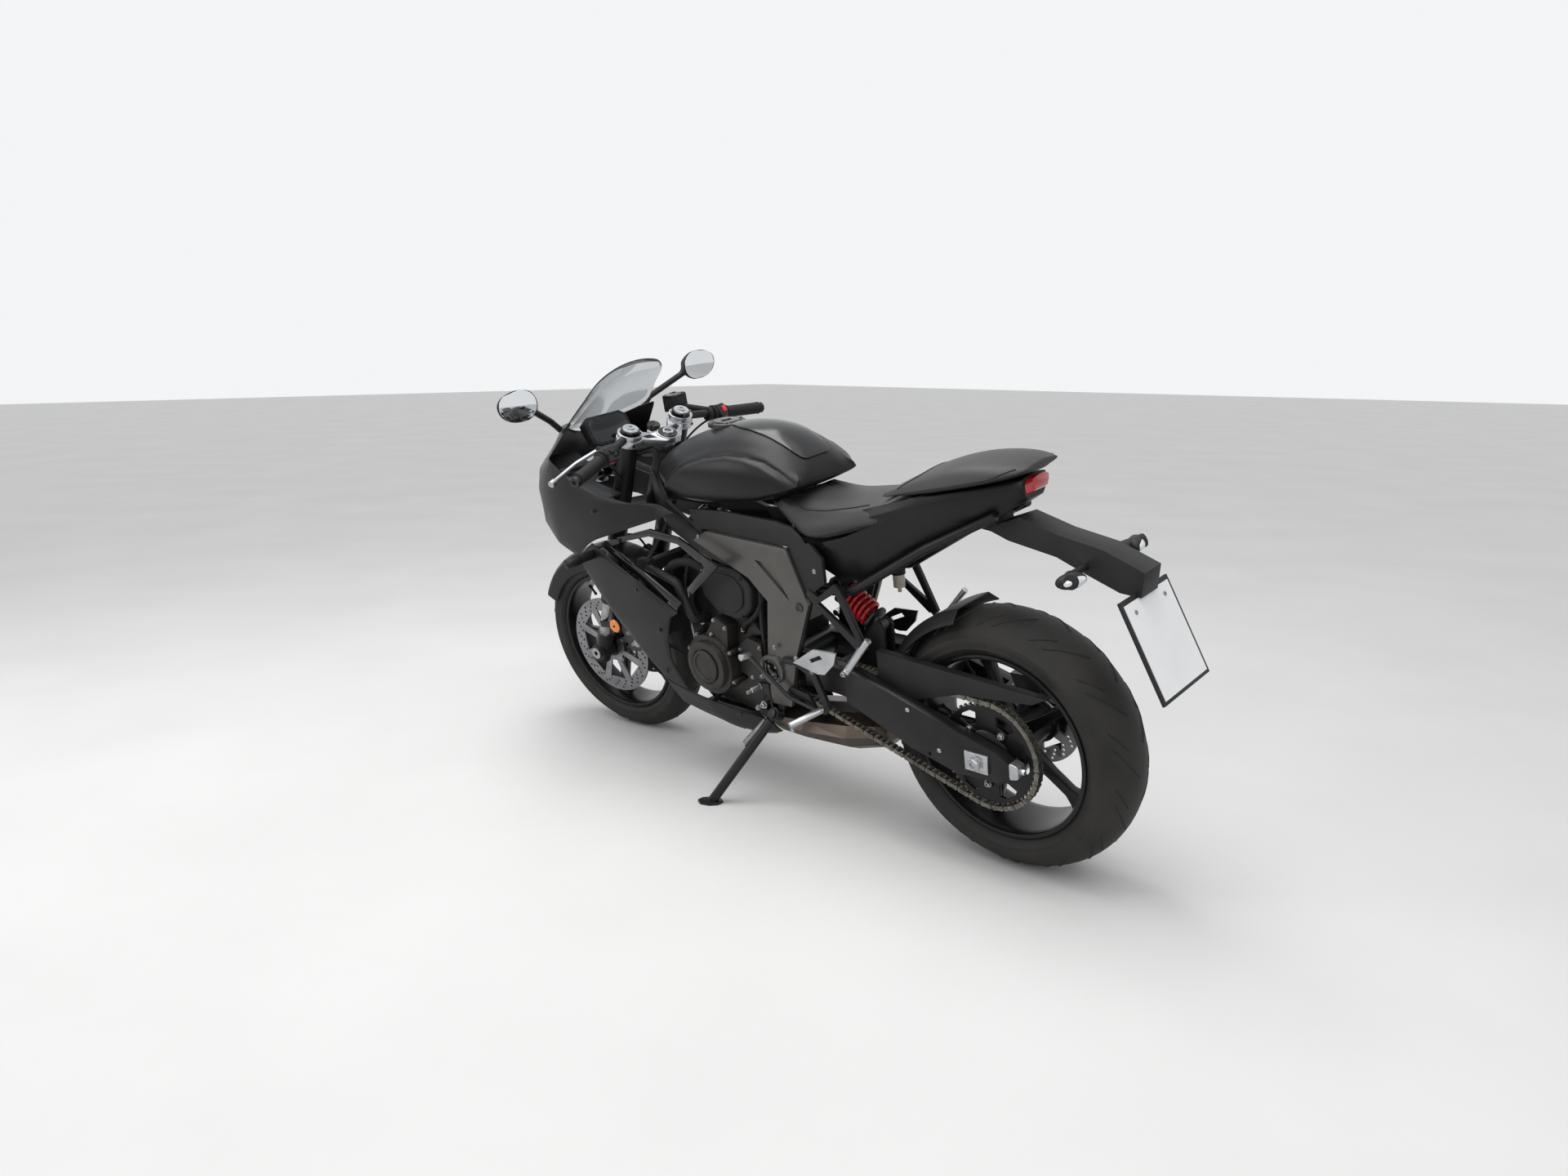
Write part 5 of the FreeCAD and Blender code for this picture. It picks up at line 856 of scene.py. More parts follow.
# %% Drill the discs
def drilled(node_name, piece_name, radii, rows, slant, body, half_width):
    """A worked copy of a disc, drilled through in slanted rows."""
    disc = worked_copy(node_name, piece_name, quads=False)
    drills = []
    for step, radius in enumerate(radii):
        angle = step * slant
        spot = (radius * math.cos(angle), -half_width, radius * math.sin(angle))
        end = half_width * 2
        drills.append(
            turned("drill", [(0.0038, 0), (0.0038, end * 0.5), (0.0038, end)], spot, (0, 1, 0), 10)
        )
    cutter = repeated(joined("drills", drills), rows)
    placed(cutter, PLACES[body])
    cut = disc.modifiers.new("drill", "BOOLEAN")
    cut.operation = "DIFFERENCE"
    cut.solver = "EXACT"
    cut.object = cutter
    apply_all(disc)
    bpy.data.objects.remove(cutter)
    settle(smooth(disc, 30), upright, body, disc_steel)
    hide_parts(node_name)
    print(piece_name, len(disc.data.polygons), "faces")


drilled(
    "front_discs", "front_brake_rotors", (0.1245, 0.1340, 0.1435), 24, 0.075,
    "front_wheel", 0.085,
)
drilled(
    "rear_disc", "rear_brake_rotor", (0.083, 0.0915, 0.100), 18, 0.09,
    "rear_wheel", 0.115,
)

# %% [markdown]
# ## Chain
# A roller chain is inner links on bushes and outer links on pins. The whole loop could be one
# textured band, but its scalloped edge is what makes it read as a chain, so one pair of links is
# modelled from two discs and a waist, then copied along the loop: down the straight runs and
# round both sprockets.

# %% The chain's track
TEETH = 51
DRIVE_TEETH = 16
LINK = 0.015875
CHAIN_Y = 0.106
DRIVE_HUB = PIVOT + Vector((0.084, 0, 0.008))
BIG = LINK / 2 / math.sin(math.pi / TEETH)
SMALL = LINK / 2 / math.sin(math.pi / DRIVE_TEETH)
gap = DRIVE_HUB - REAR_HUB
SPAN = math.hypot(gap.x, gap.z)
TILT = math.atan2(gap.z, gap.x)
WRAP = math.acos((BIG - SMALL) / SPAN)
RUN = math.sqrt(SPAN**2 - (BIG - SMALL) ** 2)
LOOP = 2 * RUN + BIG * 2 * (math.pi - WRAP) + SMALL * 2 * WRAP
LINKS = 2 * round(LOOP / LINK / 2)


def round_hub(hub, radius, angle):
    return Vector((hub.x + radius * math.cos(angle), CHAIN_Y, hub.z + radius * math.sin(angle)))


def chain_pin(along):
    """The pin at a distance along the loop, from the top of the front sprocket."""
    top, low = TILT + WRAP, TILT - WRAP
    rear_arc = BIG * 2 * (math.pi - WRAP)
    if along < RUN:
        start = round_hub(DRIVE_HUB, SMALL, top)
        return start.lerp(round_hub(REAR_HUB, BIG, top), along / RUN)
    along -= RUN
    if along < rear_arc:
        return round_hub(REAR_HUB, BIG, top + along / BIG)
    along -= rear_arc
    if along < RUN:
        start = round_hub(REAR_HUB, BIG, low)
        return start.lerp(round_hub(DRIVE_HUB, SMALL, low), along / RUN)
    return round_hub(DRIVE_HUB, SMALL, low + (along - RUN) / SMALL)


# %% One outer and one inner link
def link_plates(name, half_apart, thickness, lobe, waist):
    """Two figure-of-eight plates, one each side of the rollers."""
    outline = []
    for centre, first in ((LINK / 2, -60), (-LINK / 2, 120)):
        for step in range(5):
            angle = math.radians(first + step * 30)
            outline.append((centre + lobe * math.cos(angle), lobe * math.sin(angle)))
        outline.append((0, waist if centre > 0 else -waist))
    plates = []
    for side in (1, -1):
        near = side * half_apart
        plates.append(outlined(name, outline, near, near + side * thickness, 0))
    return joined(name, plates)


outer_link = joined(
    "outer_link",
    [link_plates("outer_plates", 0.0078, 0.0020, 0.0070, 0.0048)]
    + [
        turned("pin", [(0.0026, -0.0104), (0.0026, 0.0104)], (x, 0, 0), (0, 1, 0), 8)
        for x in (-LINK / 2, LINK / 2)
    ],
)
inner_link = joined(
    "inner_link",
    [link_plates("inner_plates", 0.0054, 0.0020, 0.0066, 0.0050)]
    + [
        turned("roller", [(0.0048, -0.0054), (0.0048, 0.0054)], (x, 0, 0), (0, 1, 0), 10)
        for x in (-LINK / 2, LINK / 2)
    ],
)
copies = []
for number in range(LINKS):
    pitch = LOOP / LINKS
    start, end = chain_pin(number * pitch), chain_pin((number + 1) * pitch % LOOP)
    only(outer_link if number % 2 == 0 else inner_link)
    bpy.ops.object.duplicate(linked=False)
    copy = bpy.context.object
    ahead = (end - start).normalized()
    turn = Matrix.Rotation(math.atan2(-ahead.z, ahead.x), 4, "Y")
    copy.matrix_world = Matrix.Translation((start + end) / 2) @ turn
    copies.append(copy)
for pattern in (outer_link, inner_link):
    bpy.data.objects.remove(pattern)
chain = joined("roller_chain", copies)
only(chain)
bpy.ops.object.transform_apply(location=True, rotation=True, scale=True)
settle(smooth(chain, 40), chassis, "chassis", chain_steel)
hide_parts("drive_chain")
print("chain:", LINKS, "links,", len(chain.data.polygons), "faces")

# %% [markdown]
# ## Rear shock
# Between two eyes stand a damper and its red coil spring. The frame gives only their outer form;
# the real spring is one wire. A circle swept with a screw modifier makes it, and the damper, its
# collars and its eyes are turned.

# %% Spring and damper
SHOCK_TOP = PIVOT + Vector((-0.118, 0, 0.200))
SHOCK_LOW = PIVOT + Vector((-0.248, 0, 0.112))
shock_line = (SHOCK_LOW - SHOCK_TOP).normalized()
shock_room = (SHOCK_LOW - SHOCK_TOP).length
SPRING_TURNS = 6
spring_from, spring_to = 0.035, shock_room - 0.034
nothing_selected()
bpy.ops.mesh.primitive_circle_add(vertices=12, radius=0.0052, rotation=(math.pi / 2, 0, 0))
spring = bpy.context.object
spring.name = "shock_spring"
bpy.ops.object.transform_apply(rotation=True)
bpy.ops.object.mode_set(mode="EDIT")
bpy.ops.mesh.select_all(action="SELECT")
bpy.ops.transform.translate(value=(0.029, 0, spring_from))
bpy.ops.object.mode_set(mode="OBJECT")
sweep = spring.modifiers.new("coil", "SCREW")
sweep.iterations = SPRING_TURNS
sweep.screw_offset = (spring_to - spring_from) / SPRING_TURNS
sweep.steps = sweep.render_steps = 28
apply_all(spring)
bpy.ops.object.mode_set(mode="EDIT")
bpy.ops.mesh.select_all(action="DESELECT")
bpy.ops.mesh.select_mode(type="EDGE")
bpy.ops.mesh.select_non_manifold()
bpy.ops.mesh.edge_face_add()
bpy.ops.object.mode_set(mode="OBJECT")
outward(spring)
along_shock = chassis @ facing(SHOCK_TOP, shock_line)
settle(smooth(spring, 50), along_shock, "chassis", red_paint)
parts = [
    turned(
        "damper",
        [(0.017, 0.012), (0.020, 0.018), (0.020, 0.024), (0.0365, 0.024), (0.0365, 0.029),
         (0.019, 0.031), (0.019, 0.084), (0.0075, 0.085), (0.0075, shock_room - 0.028),
         (0.0345, shock_room - 0.027), (0.0345, shock_room - 0.021), (0.014, shock_room - 0.019),
         (0.012, shock_room - 0.008)],
        SHOCK_TOP, shock_line, 36,
    )
]
for spot, radius, half in ((SHOCK_TOP, 0.0215, 0.0155), (SHOCK_LOW, 0.0165, 0.0115)):
    profile = [(radius - 0.002, -half), (radius, -half + 0.002), (radius, half - 0.002)]
    parts.append(turned("eye", profile + [(radius - 0.002, half)], spot, (0, 1, 0), 28))
damper = fitted("shock_damper", parts, "chassis", dark_alloy)
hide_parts("shock_absorber")

# %% [markdown]
# ## The tank's crest and spine
# The tank's flanks are scooped below a crest that sweeps from the headstock to the seat, and the
# crest's lip draws the bright line along the tank. The rounded shell is cut finer and its side
# points are moved in below the crest. The dark spine is a separate skin: its outline is drawn
# from above, projected on to the tank with a shrinkwrap modifier, and thickened.

# %% Scoop the flanks
TANK = bpy.data.objects["tank_shell"]
SCOOP_DEPTH = 0.016
LIP_HEIGHT = 0.0045
TANK_FOOT = 0.845
CREST = [
    (0.400, 0.880), (0.500, 0.893), (0.545, 0.924), (0.590, 0.946), (0.640, 0.958), (0.700, 0.962),
    (0.780, 0.951), (0.850, 0.930), (0.905, 0.905), (0.950, 0.876), (1.000, 0.842), (1.050, 0.820),
]


def crest_height(x):
    for (x_low, z_low), (x_high, z_high) in zip(CREST, CREST[1:]):
        if x_low <= x <= x_high:
            return z_low + (z_high - z_low) * (x - x_low) / (x_high - x_low)
    return CREST[0][1]


def eased(value):
    value = max(0.0, min(1.0, value))
    return value * value * (3 - 2 * value)


only(TANK)
bpy.ops.object.mode_set(mode="EDIT")
bpy.ops.mesh.select_all(action="SELECT")
bpy.ops.mesh.subdivide(number_cuts=1, smoothness=0.6)
bpy.ops.object.mode_set(mode="OBJECT")
for vertex in TANK.data.vertices:
    spot = chassis.inverted() @ vertex.co
    below = crest_height(spot.x) - spot.z
    ends = eased((spot.x - 0.490) / 0.060) * eased((1.010 - spot.x) / 0.080)
    if abs(spot.y) < 0.050 or below < -0.030:
        continue
    room = max(0.030, crest_height(spot.x) - TANK_FOOT)
    hollow = eased((below + 0.001) / 0.011) * (1 - eased((below - 0.008) / room))
    scoop = SCOOP_DEPTH * hollow
    lip = LIP_HEIGHT * math.exp(-(((below + 0.003) / 0.009) ** 2))
    spot.y += math.copysign((lip - scoop) * ends, spot.y)
    vertex.co = chassis @ spot
smooth(TANK, 60)
print("tank:", len(TANK.data.polygons), "faces")

# %% Lay a panel
def laid_panel(name, outline, target, thickness, corner=0.012, cuts=4):
    """A panel from an outline of (x, y) points, projected down on to a surface."""
    over_all = 1.4
    nothing_selected()
    bpy.ops.mesh.primitive_circle_add(vertices=len(outline), radius=1, fill_type="NGON")
    piece = bpy.context.object
    piece.name = name
    for vertex, spot in zip(piece.data.vertices, outline):
        vertex.co = (*spot, over_all)
    bpy.ops.object.mode_set(mode="EDIT")
    bpy.ops.mesh.select_all(action="SELECT")
    bpy.ops.mesh.bevel(offset=corner, segments=3, affect="VERTICES")
    bpy.ops.mesh.select_all(action="SELECT")
    bpy.ops.mesh.quads_convert_to_tris(ngon_method="BEAUTY")
    bpy.ops.mesh.subdivide(number_cuts=cuts)
    bpy.ops.mesh.subdivide(number_cuts=1)
    bpy.ops.mesh.beautify_fill()
    bpy.ops.object.mode_set(mode="OBJECT")
    piece.matrix_world = chassis
    wrap = piece.modifiers.new("lay on", "SHRINKWRAP")
    wrap.target = target
    wrap.wrap_method = "PROJECT"
    wrap.use_project_z = True
    wrap.use_negative_direction = True
    wrap.use_positive_direction = False
    thick = piece.modifiers.new("thicken", "SOLIDIFY")
    thick.thickness = thickness
    thick.offset = 0
    apply_all(piece)
    outward(piece)
    return bevelled(piece, thickness * 0.3, 2, 60)


spine_line = [
    (0.786, 0.030), (0.730, 0.052), (0.660, 0.062), (0.590, 0.062), (0.545, 0.056), (0.522, 0.046),
    (0.522, -0.046), (0.545, -0.056), (0.590, -0.062), (0.660, -0.062), (0.730, -0.052),
    (0.786, -0.030),
]
spine = laid_panel("tank_spine", spine_line, TANK, 0.007)
settle(smooth(spine, 60), upright, "chassis", satin_black)

# %% [markdown]
# ## Tank cap
# A lockable cap sits in a ring held by small screws, on the tank's centre line ahead of the spine.

# %% Cap, ring and screws
CAP = Vector((0.833, 0, 1.0085))
cap_up = Vector((-0.04, 0, 1))
rings = [
    turned(
        "cap_ring",
        [(0.050, -0.008), (0.050, 0.0015), (0.048, 0.003), (0.038, 0.003), (0.036, 0.001)],
        CAP, cap_up, 48,
    )
]
for number in range(6):
    angle = number * math.pi / 3 + 0.3
    spot = CAP + Vector((0.0435 * math.cos(angle), 0.0435 * math.sin(angle), 0.003))
    rings.append(bolt("cap_screw", spot, cap_up, 0.0032, 0.0022, 12))
fitted("tank_cap_ring", rings, "chassis", dark_alloy)
lid = turned(
    "cap_lid",
    [(0.035, -0.006), (0.035, 0.0035), (0.033, 0.0052), (0.014, 0.0064), (0.013, 0.0052)],
    CAP, cap_up, 48,
)
flap = outlined(
    "cap_flap", [(-0.016, -0.006), (0.012, -0.006), (0.012, 0.006), (-0.016, 0.006)],
    0.0052, 0.0086, 0.001, 2, "Z", 0.004,
)
placed(flap, facing(CAP, cap_up))
fitted("tank_cap_lid", [lid, flap], "chassis", gloss_black)

# %% [markdown]
# ## Yoke, fork caps and bars
# The top yoke is the brightest thing on the bike, so its fittings matter: a deep-set steering nut,
# the two fork caps, the ignition lock ahead of the nut, and the pinch bolts in its split ends.

# %% Small boxes for switches
def small_box(name, centre, normal, size, round_by=0.0015):
    """A rounded box on a surface: width across, height, and thickness along the normal."""
    nothing_selected()
    bpy.ops.mesh.primitive_cube_add(size=1)
    piece = bpy.context.object
    piece.name = name
    piece.scale = size
    bpy.ops.object.transform_apply(scale=True)
    bevelled(piece, round_by, 3)
    return placed(piece, facing(centre, normal))


# %% Nuts, caps and lock
dark_caps = [
    turned(
        "stem_ring",
        [(0.027, 0), (0.027, 0.003), (0.025, 0.0045), (0.0185, 0.0045), (0.018, 0.001)],
        fork_point(0, 0, 1.0578), STEER_UP, 40,
    ),
    turned(
        "lock_barrel", [(0.018, -0.004), (0.018, 0.010), (0.016, 0.013), (0.006, 0.013)],
        fork_point(0.052, 0, 1.050), STEER_UP, 32,
    ),
]
bright_caps = [
    turned(
        "stem_nut",
        [(0.0165, 0), (0.0165, 0.006), (0.0150, 0.0085), (0.0100, 0.0085), (0.0095, 0.002)],
        fork_point(0, 0, 1.0580), STEER_UP, 12,
    )
]
for side in (1, -1):
    top = fork_point(FORK_OFFSET, side * 0.103, 1.0755)
    bright_caps.append(
        turned(
            "fork_cap",
            [(0.0225, -0.001), (0.0225, 0.004), (0.0205, 0.0065), (0.0120, 0.0065),
             (0.0115, 0.0095), (0.0060, 0.0095), (0.0055, 0.006)],
            top, STEER_UP, 36,
        )
    )
    dark_caps.append(
        turned(
            "fork_ring", [(0.0262, -0.002), (0.0262, 0.002), (0.0250, 0.003), (0.0228, 0.003)],
            top, STEER_UP, 36,
        )
    )
    pinch = fork_point(FORK_OFFSET - 0.030, side * 0.118, 1.044)
    dark_caps.append(bolt("yoke_pinch", pinch, (-0.9, side * 0.3, 0), 0.0042, 0.006, 12))
    dark_caps.append(
        bolt("bar_pinch", along_bar(0.287, -0.030, 0.006, side), (-1, 0, 0.1), 0.0045, 0.006, 12)
    )
fitted("yoke_nuts", bright_caps, "steering", bright_alloy)
fitted("yoke_rings", dark_caps, "steering", gloss_black)

# %% Grips, switches and reservoir lid
grip_parts = []
for side in (1, -1):
    start = along_bar(0.118, 0, 0, side)
    along = (along_bar(0.0, 0, 0, side) - start).normalized()
    profile = [(0.0200, 0), (0.0200, 0.004)]
    for rib in range(17):
        height = 0.006 + rib * 0.0064
        profile += [(0.0166, height), (0.0172, height + 0.0012), (0.0172, height + 0.0040)]
        profile += [(0.0166, height + 0.0052)]
    profile += [(0.0180, 0.1165), (0.0180, 0.1185)]
    grip_parts.append(turned("grip", profile, start, along, 28))
fitted("grip_ribs", grip_parts, "steering", soft_rubber, 30)
end_parts = []
for side in (1, -1):
    start = along_bar(-0.012, 0, 0, side)
    along = (start - along_bar(0.05, 0, 0, side)).normalized()
    end_parts.append(
        turned(
            "bar_weight",
            [(0.0150, -0.002), (0.0158, 0.001), (0.0140, 0.0042), (0.0060, 0.0042),
             (0.0055, 0.002)],
            start, along, 28,
        )
    )
fitted("bar_end_caps", end_parts, "steering", gloss_black)

back_up = Vector((-0.86, 0, 0.5))
back = Vector((-1, 0, 0.05))
red_bits = [
    small_box("kill_switch", along_bar(0.140, -0.0215, 0.0125, -1), back_up, (0.015, 0.018, 0.009)),
    small_box("starter", along_bar(0.140, -0.0245, -0.008, -1), back, (0.013, 0.009, 0.007)),
    small_box("horn_button", along_bar(0.140, -0.0245, -0.010, 1), back, (0.015, 0.012, 0.008)),
]
fitted("red_switches", red_bits, "steering", red_switch)
black_bits = [
    small_box(
        "right_block", along_bar(0.146, -0.010, 0.003, -1), back_up, (0.030, 0.040, 0.034), 0.004
    ),
    small_box(
        "left_block", along_bar(0.148, -0.010, 0.000, 1), back_up, (0.034, 0.044, 0.034), 0.004
    ),
    small_box("dip_switch", along_bar(0.150, -0.024, 0.013, 1), back_up, (0.014, 0.010, 0.010)),
    small_box("turn_switch", along_bar(0.156, -0.027, 0.000, 1), back, (0.010, 0.007, 0.014)),
]
for side in (1, -1):
    for rise in (-0.013, 0.013):
        black_bits.append(
            bolt("block_screw", along_bar(0.128, -0.0225, rise, side), (-1, 0, 0), 0.002, 0.002, 12)
        )
fitted("bar_switches", black_bits, "steering", moulded)

beside_lever = along_bar(0.177, side=-1)
tub = beside_lever + Vector((0.079, 0.046, 0.065))
lid = outlined(
    "reservoir_cap", [(-0.0245, -0.0275), (0.0245, -0.0275), (0.0245, 0.0275), (-0.0245, 0.0275)],
    0, 0.006, 0.0015, 2, "Z", 0.006,
)
placed(lid, Matrix.Translation(tub))
lid_parts = [lid]
for across in (-0.019, 0.019):
    for ahead in (-0.016, 0.016):
        spot = tub + Vector((ahead, across, 0.006))
        lid_parts.append(bolt("cap_screw", spot, (0, 0, 1), 0.0026, 0.0018, 12))
fitted("reservoir_lid", lid_parts, "steering", gloss_black)

# %% [markdown]
# ## Hoses on the front end
# Brake hoses run from the right bar down to the calipers and turn with the fork, and two cables
# run down beside the fork legs. They could be swept circles, but a nurbs path with a round bevel
# is steered by a few points, so its bends stay soft.

# %% Brake hoses
hose_right = bent(
    "hose_right",
    [along_bar(0.190, 0.040, 0.012, -1), along_bar(0.215, 0.072, 0.004, -1),
     fork_point(0.082, -0.102, 0.93), fork_point(0.080, -0.108, 0.78),
     fork_point(0.090, -0.134, 0.62), fork_point(0.020, -0.136, 0.50),
     (1.318, -0.100, 0.440), (1.305, -0.075, 0.425)],
    0.0034,
)
hose_left = bent(
    "hose_left",
    [(1.312, -0.080, 0.440), (1.335, -0.088, 0.560), (1.345, -0.055, 0.650),
     (1.345, 0.055, 0.650), (1.335, 0.088, 0.560), (1.305, 0.078, 0.430)],
    0.0034,
)
clutch_line = bent(
    "clutch_cable",
    [along_bar(0.180, 0.016, -0.010, 1), along_bar(0.150, 0.024, -0.030, 1),
     fork_point(0.046, 0.094, 0.93), fork_point(0.034, 0.098, 0.87)],
    0.0032,
)
throttle = bent(
    "throttle_cable",
    [along_bar(0.160, 0.018, -0.018, -1), along_bar(0.190, 0.040, -0.030, -1),
     fork_point(0.052, -0.090, 0.94), fork_point(0.036, -0.098, 0.87)],
    0.0030,
)
settle(
    joined("front_hoses", [hose_right, hose_left, clutch_line, throttle]),
    steering, "steering", soft_rubber,
)

# %% Calipers: bolts, pistons and reflectors
front_bits = []
for side in (1, -1):
    for angle, radius in ((142, 0.166), (174, 0.166), (150, 0.128), (167, 0.128)):
        turn = math.radians(angle)
        spot = FRONT_HUB + Vector((radius * math.cos(turn), side * 0.0885, radius * math.sin(turn)))
        front_bits.append(bolt("caliper_bolt", spot, (0, side, 0), 0.0050, 0.005, 12))
    for angle in (150, 166):
        turn = math.radians(angle)
        spot = FRONT_HUB + Vector((0.146 * math.cos(turn), side * 0.088, 0.146 * math.sin(turn)))
        front_bits.append(
            turned(
                "piston", [(0.0145, 0), (0.0145, 0.002), (0.0125, 0.0038), (0.0060, 0.0038)],
                spot, (0, side, 0), 28,
            )
        )
fitted("caliper_bolts", front_bits, "steering", plain_steel)

reflectors = []
carriers = []
for side in (1, -1):
    spot = Vector((1.3180, side * 0.1295, 0.4050))
    reflectors.append(
        turned(
            "reflector", [(0.0205, 0), (0.0205, 0.003), (0.0180, 0.0052)], spot, (0, side, 0), 36
        )
    )
    carriers.append(
        turned(
            "reflector_back", [(0.0230, -0.004), (0.0230, 0.0016), (0.0216, 0.0026)],
            spot, (0, side, 0), 36,
        )
    )
    carriers.append(
        outlined(
            "reflector_arm",
            [(1.318, 0.396), (1.384, 0.392), (1.384, 0.412), (1.318, 0.416)],
            *sorted((side * 0.1262, side * 0.1292)), 0.0008,
        )
    )
    screw_at = spot + Vector((0, side * 0.005, 0))
    carriers.append(bolt("reflector_screw", screw_at, (0, side, 0), 0.003, 0.002, 12))
fitted("fork_reflectors", reflectors, "steering", reflector_amber)
fitted("reflector_carriers", carriers, "steering", moulded)

# %% [markdown]
# ## Mirrors and cockpit
# The mirror shells are rounded copies of the frame's. Their glass faces the rider, so from behind
# it shows the pale room. Between them stand the display in its hood and the two cockpit panels.

# %% Mirror shells and glasses
mirror_shells = worked_copy("mirrors", "mirror_shells")
rounded_panel(mirror_shells, 62, 2)
settle(mirror_shells, upright, "chassis", moulded)
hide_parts("mirrors")
MIRROR = Vector((1.2896, 0.324, 1.100))
FACE = [
    (-0.062, -0.022), (-0.030, -0.048), (0.044, -0.044), (0.074, -0.002), (0.058, 0.036),
    (-0.020, 0.050), (-0.060, 0.024),
]
FACING_BACK = Matrix.Rotation(math.pi / 2, 4, "Z")
glasses = []
for side in (1, -1):
    outline = [(y * 0.90 * side, z * 0.88) for y, z in FACE]
    glass = outlined("glass", outline, 0.0040, 0.0072, 0.0005, 2, "Y", 0.016)
    spot = Vector((MIRROR.x, side * MIRROR.y, MIRROR.z))
    glasses.append(placed(glass, Matrix.Translation(spot) @ FACING_BACK))
fitted("mirror_glasses", glasses, "chassis", mirror_glass)

# %% Display
display_place = Matrix(
    ((0, -0.86, 0.5, 1.3436), (1, 0, 0, 0), (0, 0.5, 0.86, 0.968), (0, 0, 0, 1))
)


def eight_sided(wide, high, wide_flat, high_flat):
    """A rectangle's outline with its corners cut off, from half sizes and half flats."""
    return [
        (-wide, -high_flat), (-wide_flat, -high), (wide_flat, -high), (wide, -high_flat),
        (wide, high_flat), (wide_flat, high), (-wide_flat, high), (-wide, high_flat),
    ]


bezel_line = eight_sided(0.077, 0.046, 0.058, 0.030)
bezel = placed(outlined("bezel", bezel_line, 0, 0.004, 0.0015, 3, "Y", 0.008), display_place)
fitted("bezel", [bezel], "chassis", moulded)
glass_line = eight_sided(0.069, 0.039, 0.052, 0.026)
glass = outlined("display_glass", glass_line, 0.0035, 0.0052, 0.0006, 2, "Y", 0.008)
placed(glass, display_place)
fitted("display_glass", [glass], "chassis", display_glass)

# %% [markdown]
# ## Engine side
# Behind the fairing the engine shows its cast covers, each held by small flanged bolts, a black
# side cover over the cylinder, cooling hoses with clamps, and the wiring down the frame.

# %% Cover bolts
ALTERNATOR = Vector((0.845, 0, 0.382))
CLUTCH = Vector((0.806, 0, 0.390))
cover_bolts = []
for centre, radius, y, angles in (
    (ALTERNATOR, 0.089, 0.158, (60, 100, 150, 205, 330, 20)),
    (CLUTCH, 0.093, -0.150, (10, 50, 95, 140, 190, 240, 300)),
):
    for angle in angles:
        turn = math.radians(angle)
        spot = centre + Vector((radius * math.cos(turn), y, radius * math.sin(turn)))
        cover_bolts.append(bolt("cover_bolt", spot, (0, math.copysign(1, y), 0), 0.0045, 0.006))
for x, z in ((0.672, 0.452), (0.748, 0.434), (0.712, 0.362), (0.676, 0.372)):
    cover_bolts.append(bolt("cover_bolt", (x, 0.136, z), (0, 1, 0), 0.0045, 0.006))
for x, z in ((0.868, 0.446), (0.815, 0.512), (0.774, 0.496)):
    cover_bolts.append(bolt("cover_bolt", (x, 0.156, z), (0, 1, 0), 0.0045, 0.006))
fitted("engine_cover_bolts", cover_bolts, "chassis", plain_steel)
rings = [
    turned(
        "alternator_ring",
        [(0.046, -0.004), (0.046, 0.003), (0.043, 0.005), (0.038, 0.005), (0.036, 0.002)],
        ALTERNATOR + Vector((0, 0.1815, 0)), (0, 1, 0), 56,
    ),
    turned(
        "clutch_ring",
        [(0.050, -0.004), (0.050, 0.003), (0.047, 0.005), (0.041, 0.005), (0.039, 0.002)],
        CLUTCH + Vector((0, -0.1735, 0)), (0, -1, 0), 56,
    ),
]
fitted("engine_cover_rings", rings, "chassis", cast_case)

# %% Cylinder side cover, oil switch and drain plugs
side_box = outlined(
    "side_box",
    [(0.862, 0.640), (0.800, 0.664), (0.716, 0.662), (0.668, 0.622), (0.676, 0.556),
     (0.724, 0.520), (0.800, 0.528), (0.858, 0.572)],
    0.113, 0.146, 0.008, 4, "Y", 0.016,
)
step = outlined(
    "side_box_step",
    [(0.842, 0.626), (0.792, 0.644), (0.728, 0.642), (0.694, 0.612), (0.700, 0.566),
     (0.736, 0.540), (0.794, 0.546), (0.838, 0.580)],
    0.144, 0.151, 0.003, 3, "Y", 0.012,
)
box_parts = [side_box, step]
for x, z in ((0.846, 0.594), (0.796, 0.655), (0.700, 0.640), (0.712, 0.534)):
    box_parts.append(bolt("box_bolt", (x, 0.145, z), (0, 1, 0), 0.0045, 0.004))
fitted("cylinder_cover", box_parts, "chassis", moulded)

fittings = [
    turned(
        "oil_switch",
        [(0.0100, 0), (0.0100, 0.014), (0.0080, 0.015), (0.0080, 0.040), (0.0055, 0.042),
         (0.0055, 0.054)],
        Vector((0.700, 0.112, 0.335)), (0.25, 1, -0.15), 20,
    ),
    bolt("drain_plug", (0.704, 0.1165, 0.276), (0, 1, 0), 0.0085, 0.010),
    bolt("drain_plug", (0.728, 0.1165, 0.262), (0, 1, 0), 0.0060, 0.008),
]
fitted("engine_fittings", fittings, "chassis", bright_alloy)

# %% Hoses, clamps and wiring
hoses = [
    bent(
        "top_hose",
        [(1.010, 0.138, 0.606), (0.975, 0.146, 0.640), (0.920, 0.140, 0.664),
         (0.880, 0.128, 0.650), (0.850, 0.116, 0.622)],
        0.0125,
    ),
    bent(
        "breather",
        [(0.745, 0.108, 0.470), (0.738, 0.130, 0.500), (0.700, 0.134, 0.520),
         (0.668, 0.128, 0.545), (0.655, 0.110, 0.600), (0.655, 0.095, 0.660)],
        0.0075,
    ),
    bent(
        "bypass",
        [(0.905, 0.112, 0.470), (0.930, 0.128, 0.510), (0.925, 0.134, 0.560),
         (0.895, 0.128, 0.600), (0.870, 0.112, 0.615)],
        0.0080,
    ),
]
settle(joined("coolant_hoses", hoses), chassis, "chassis", soft_rubber)
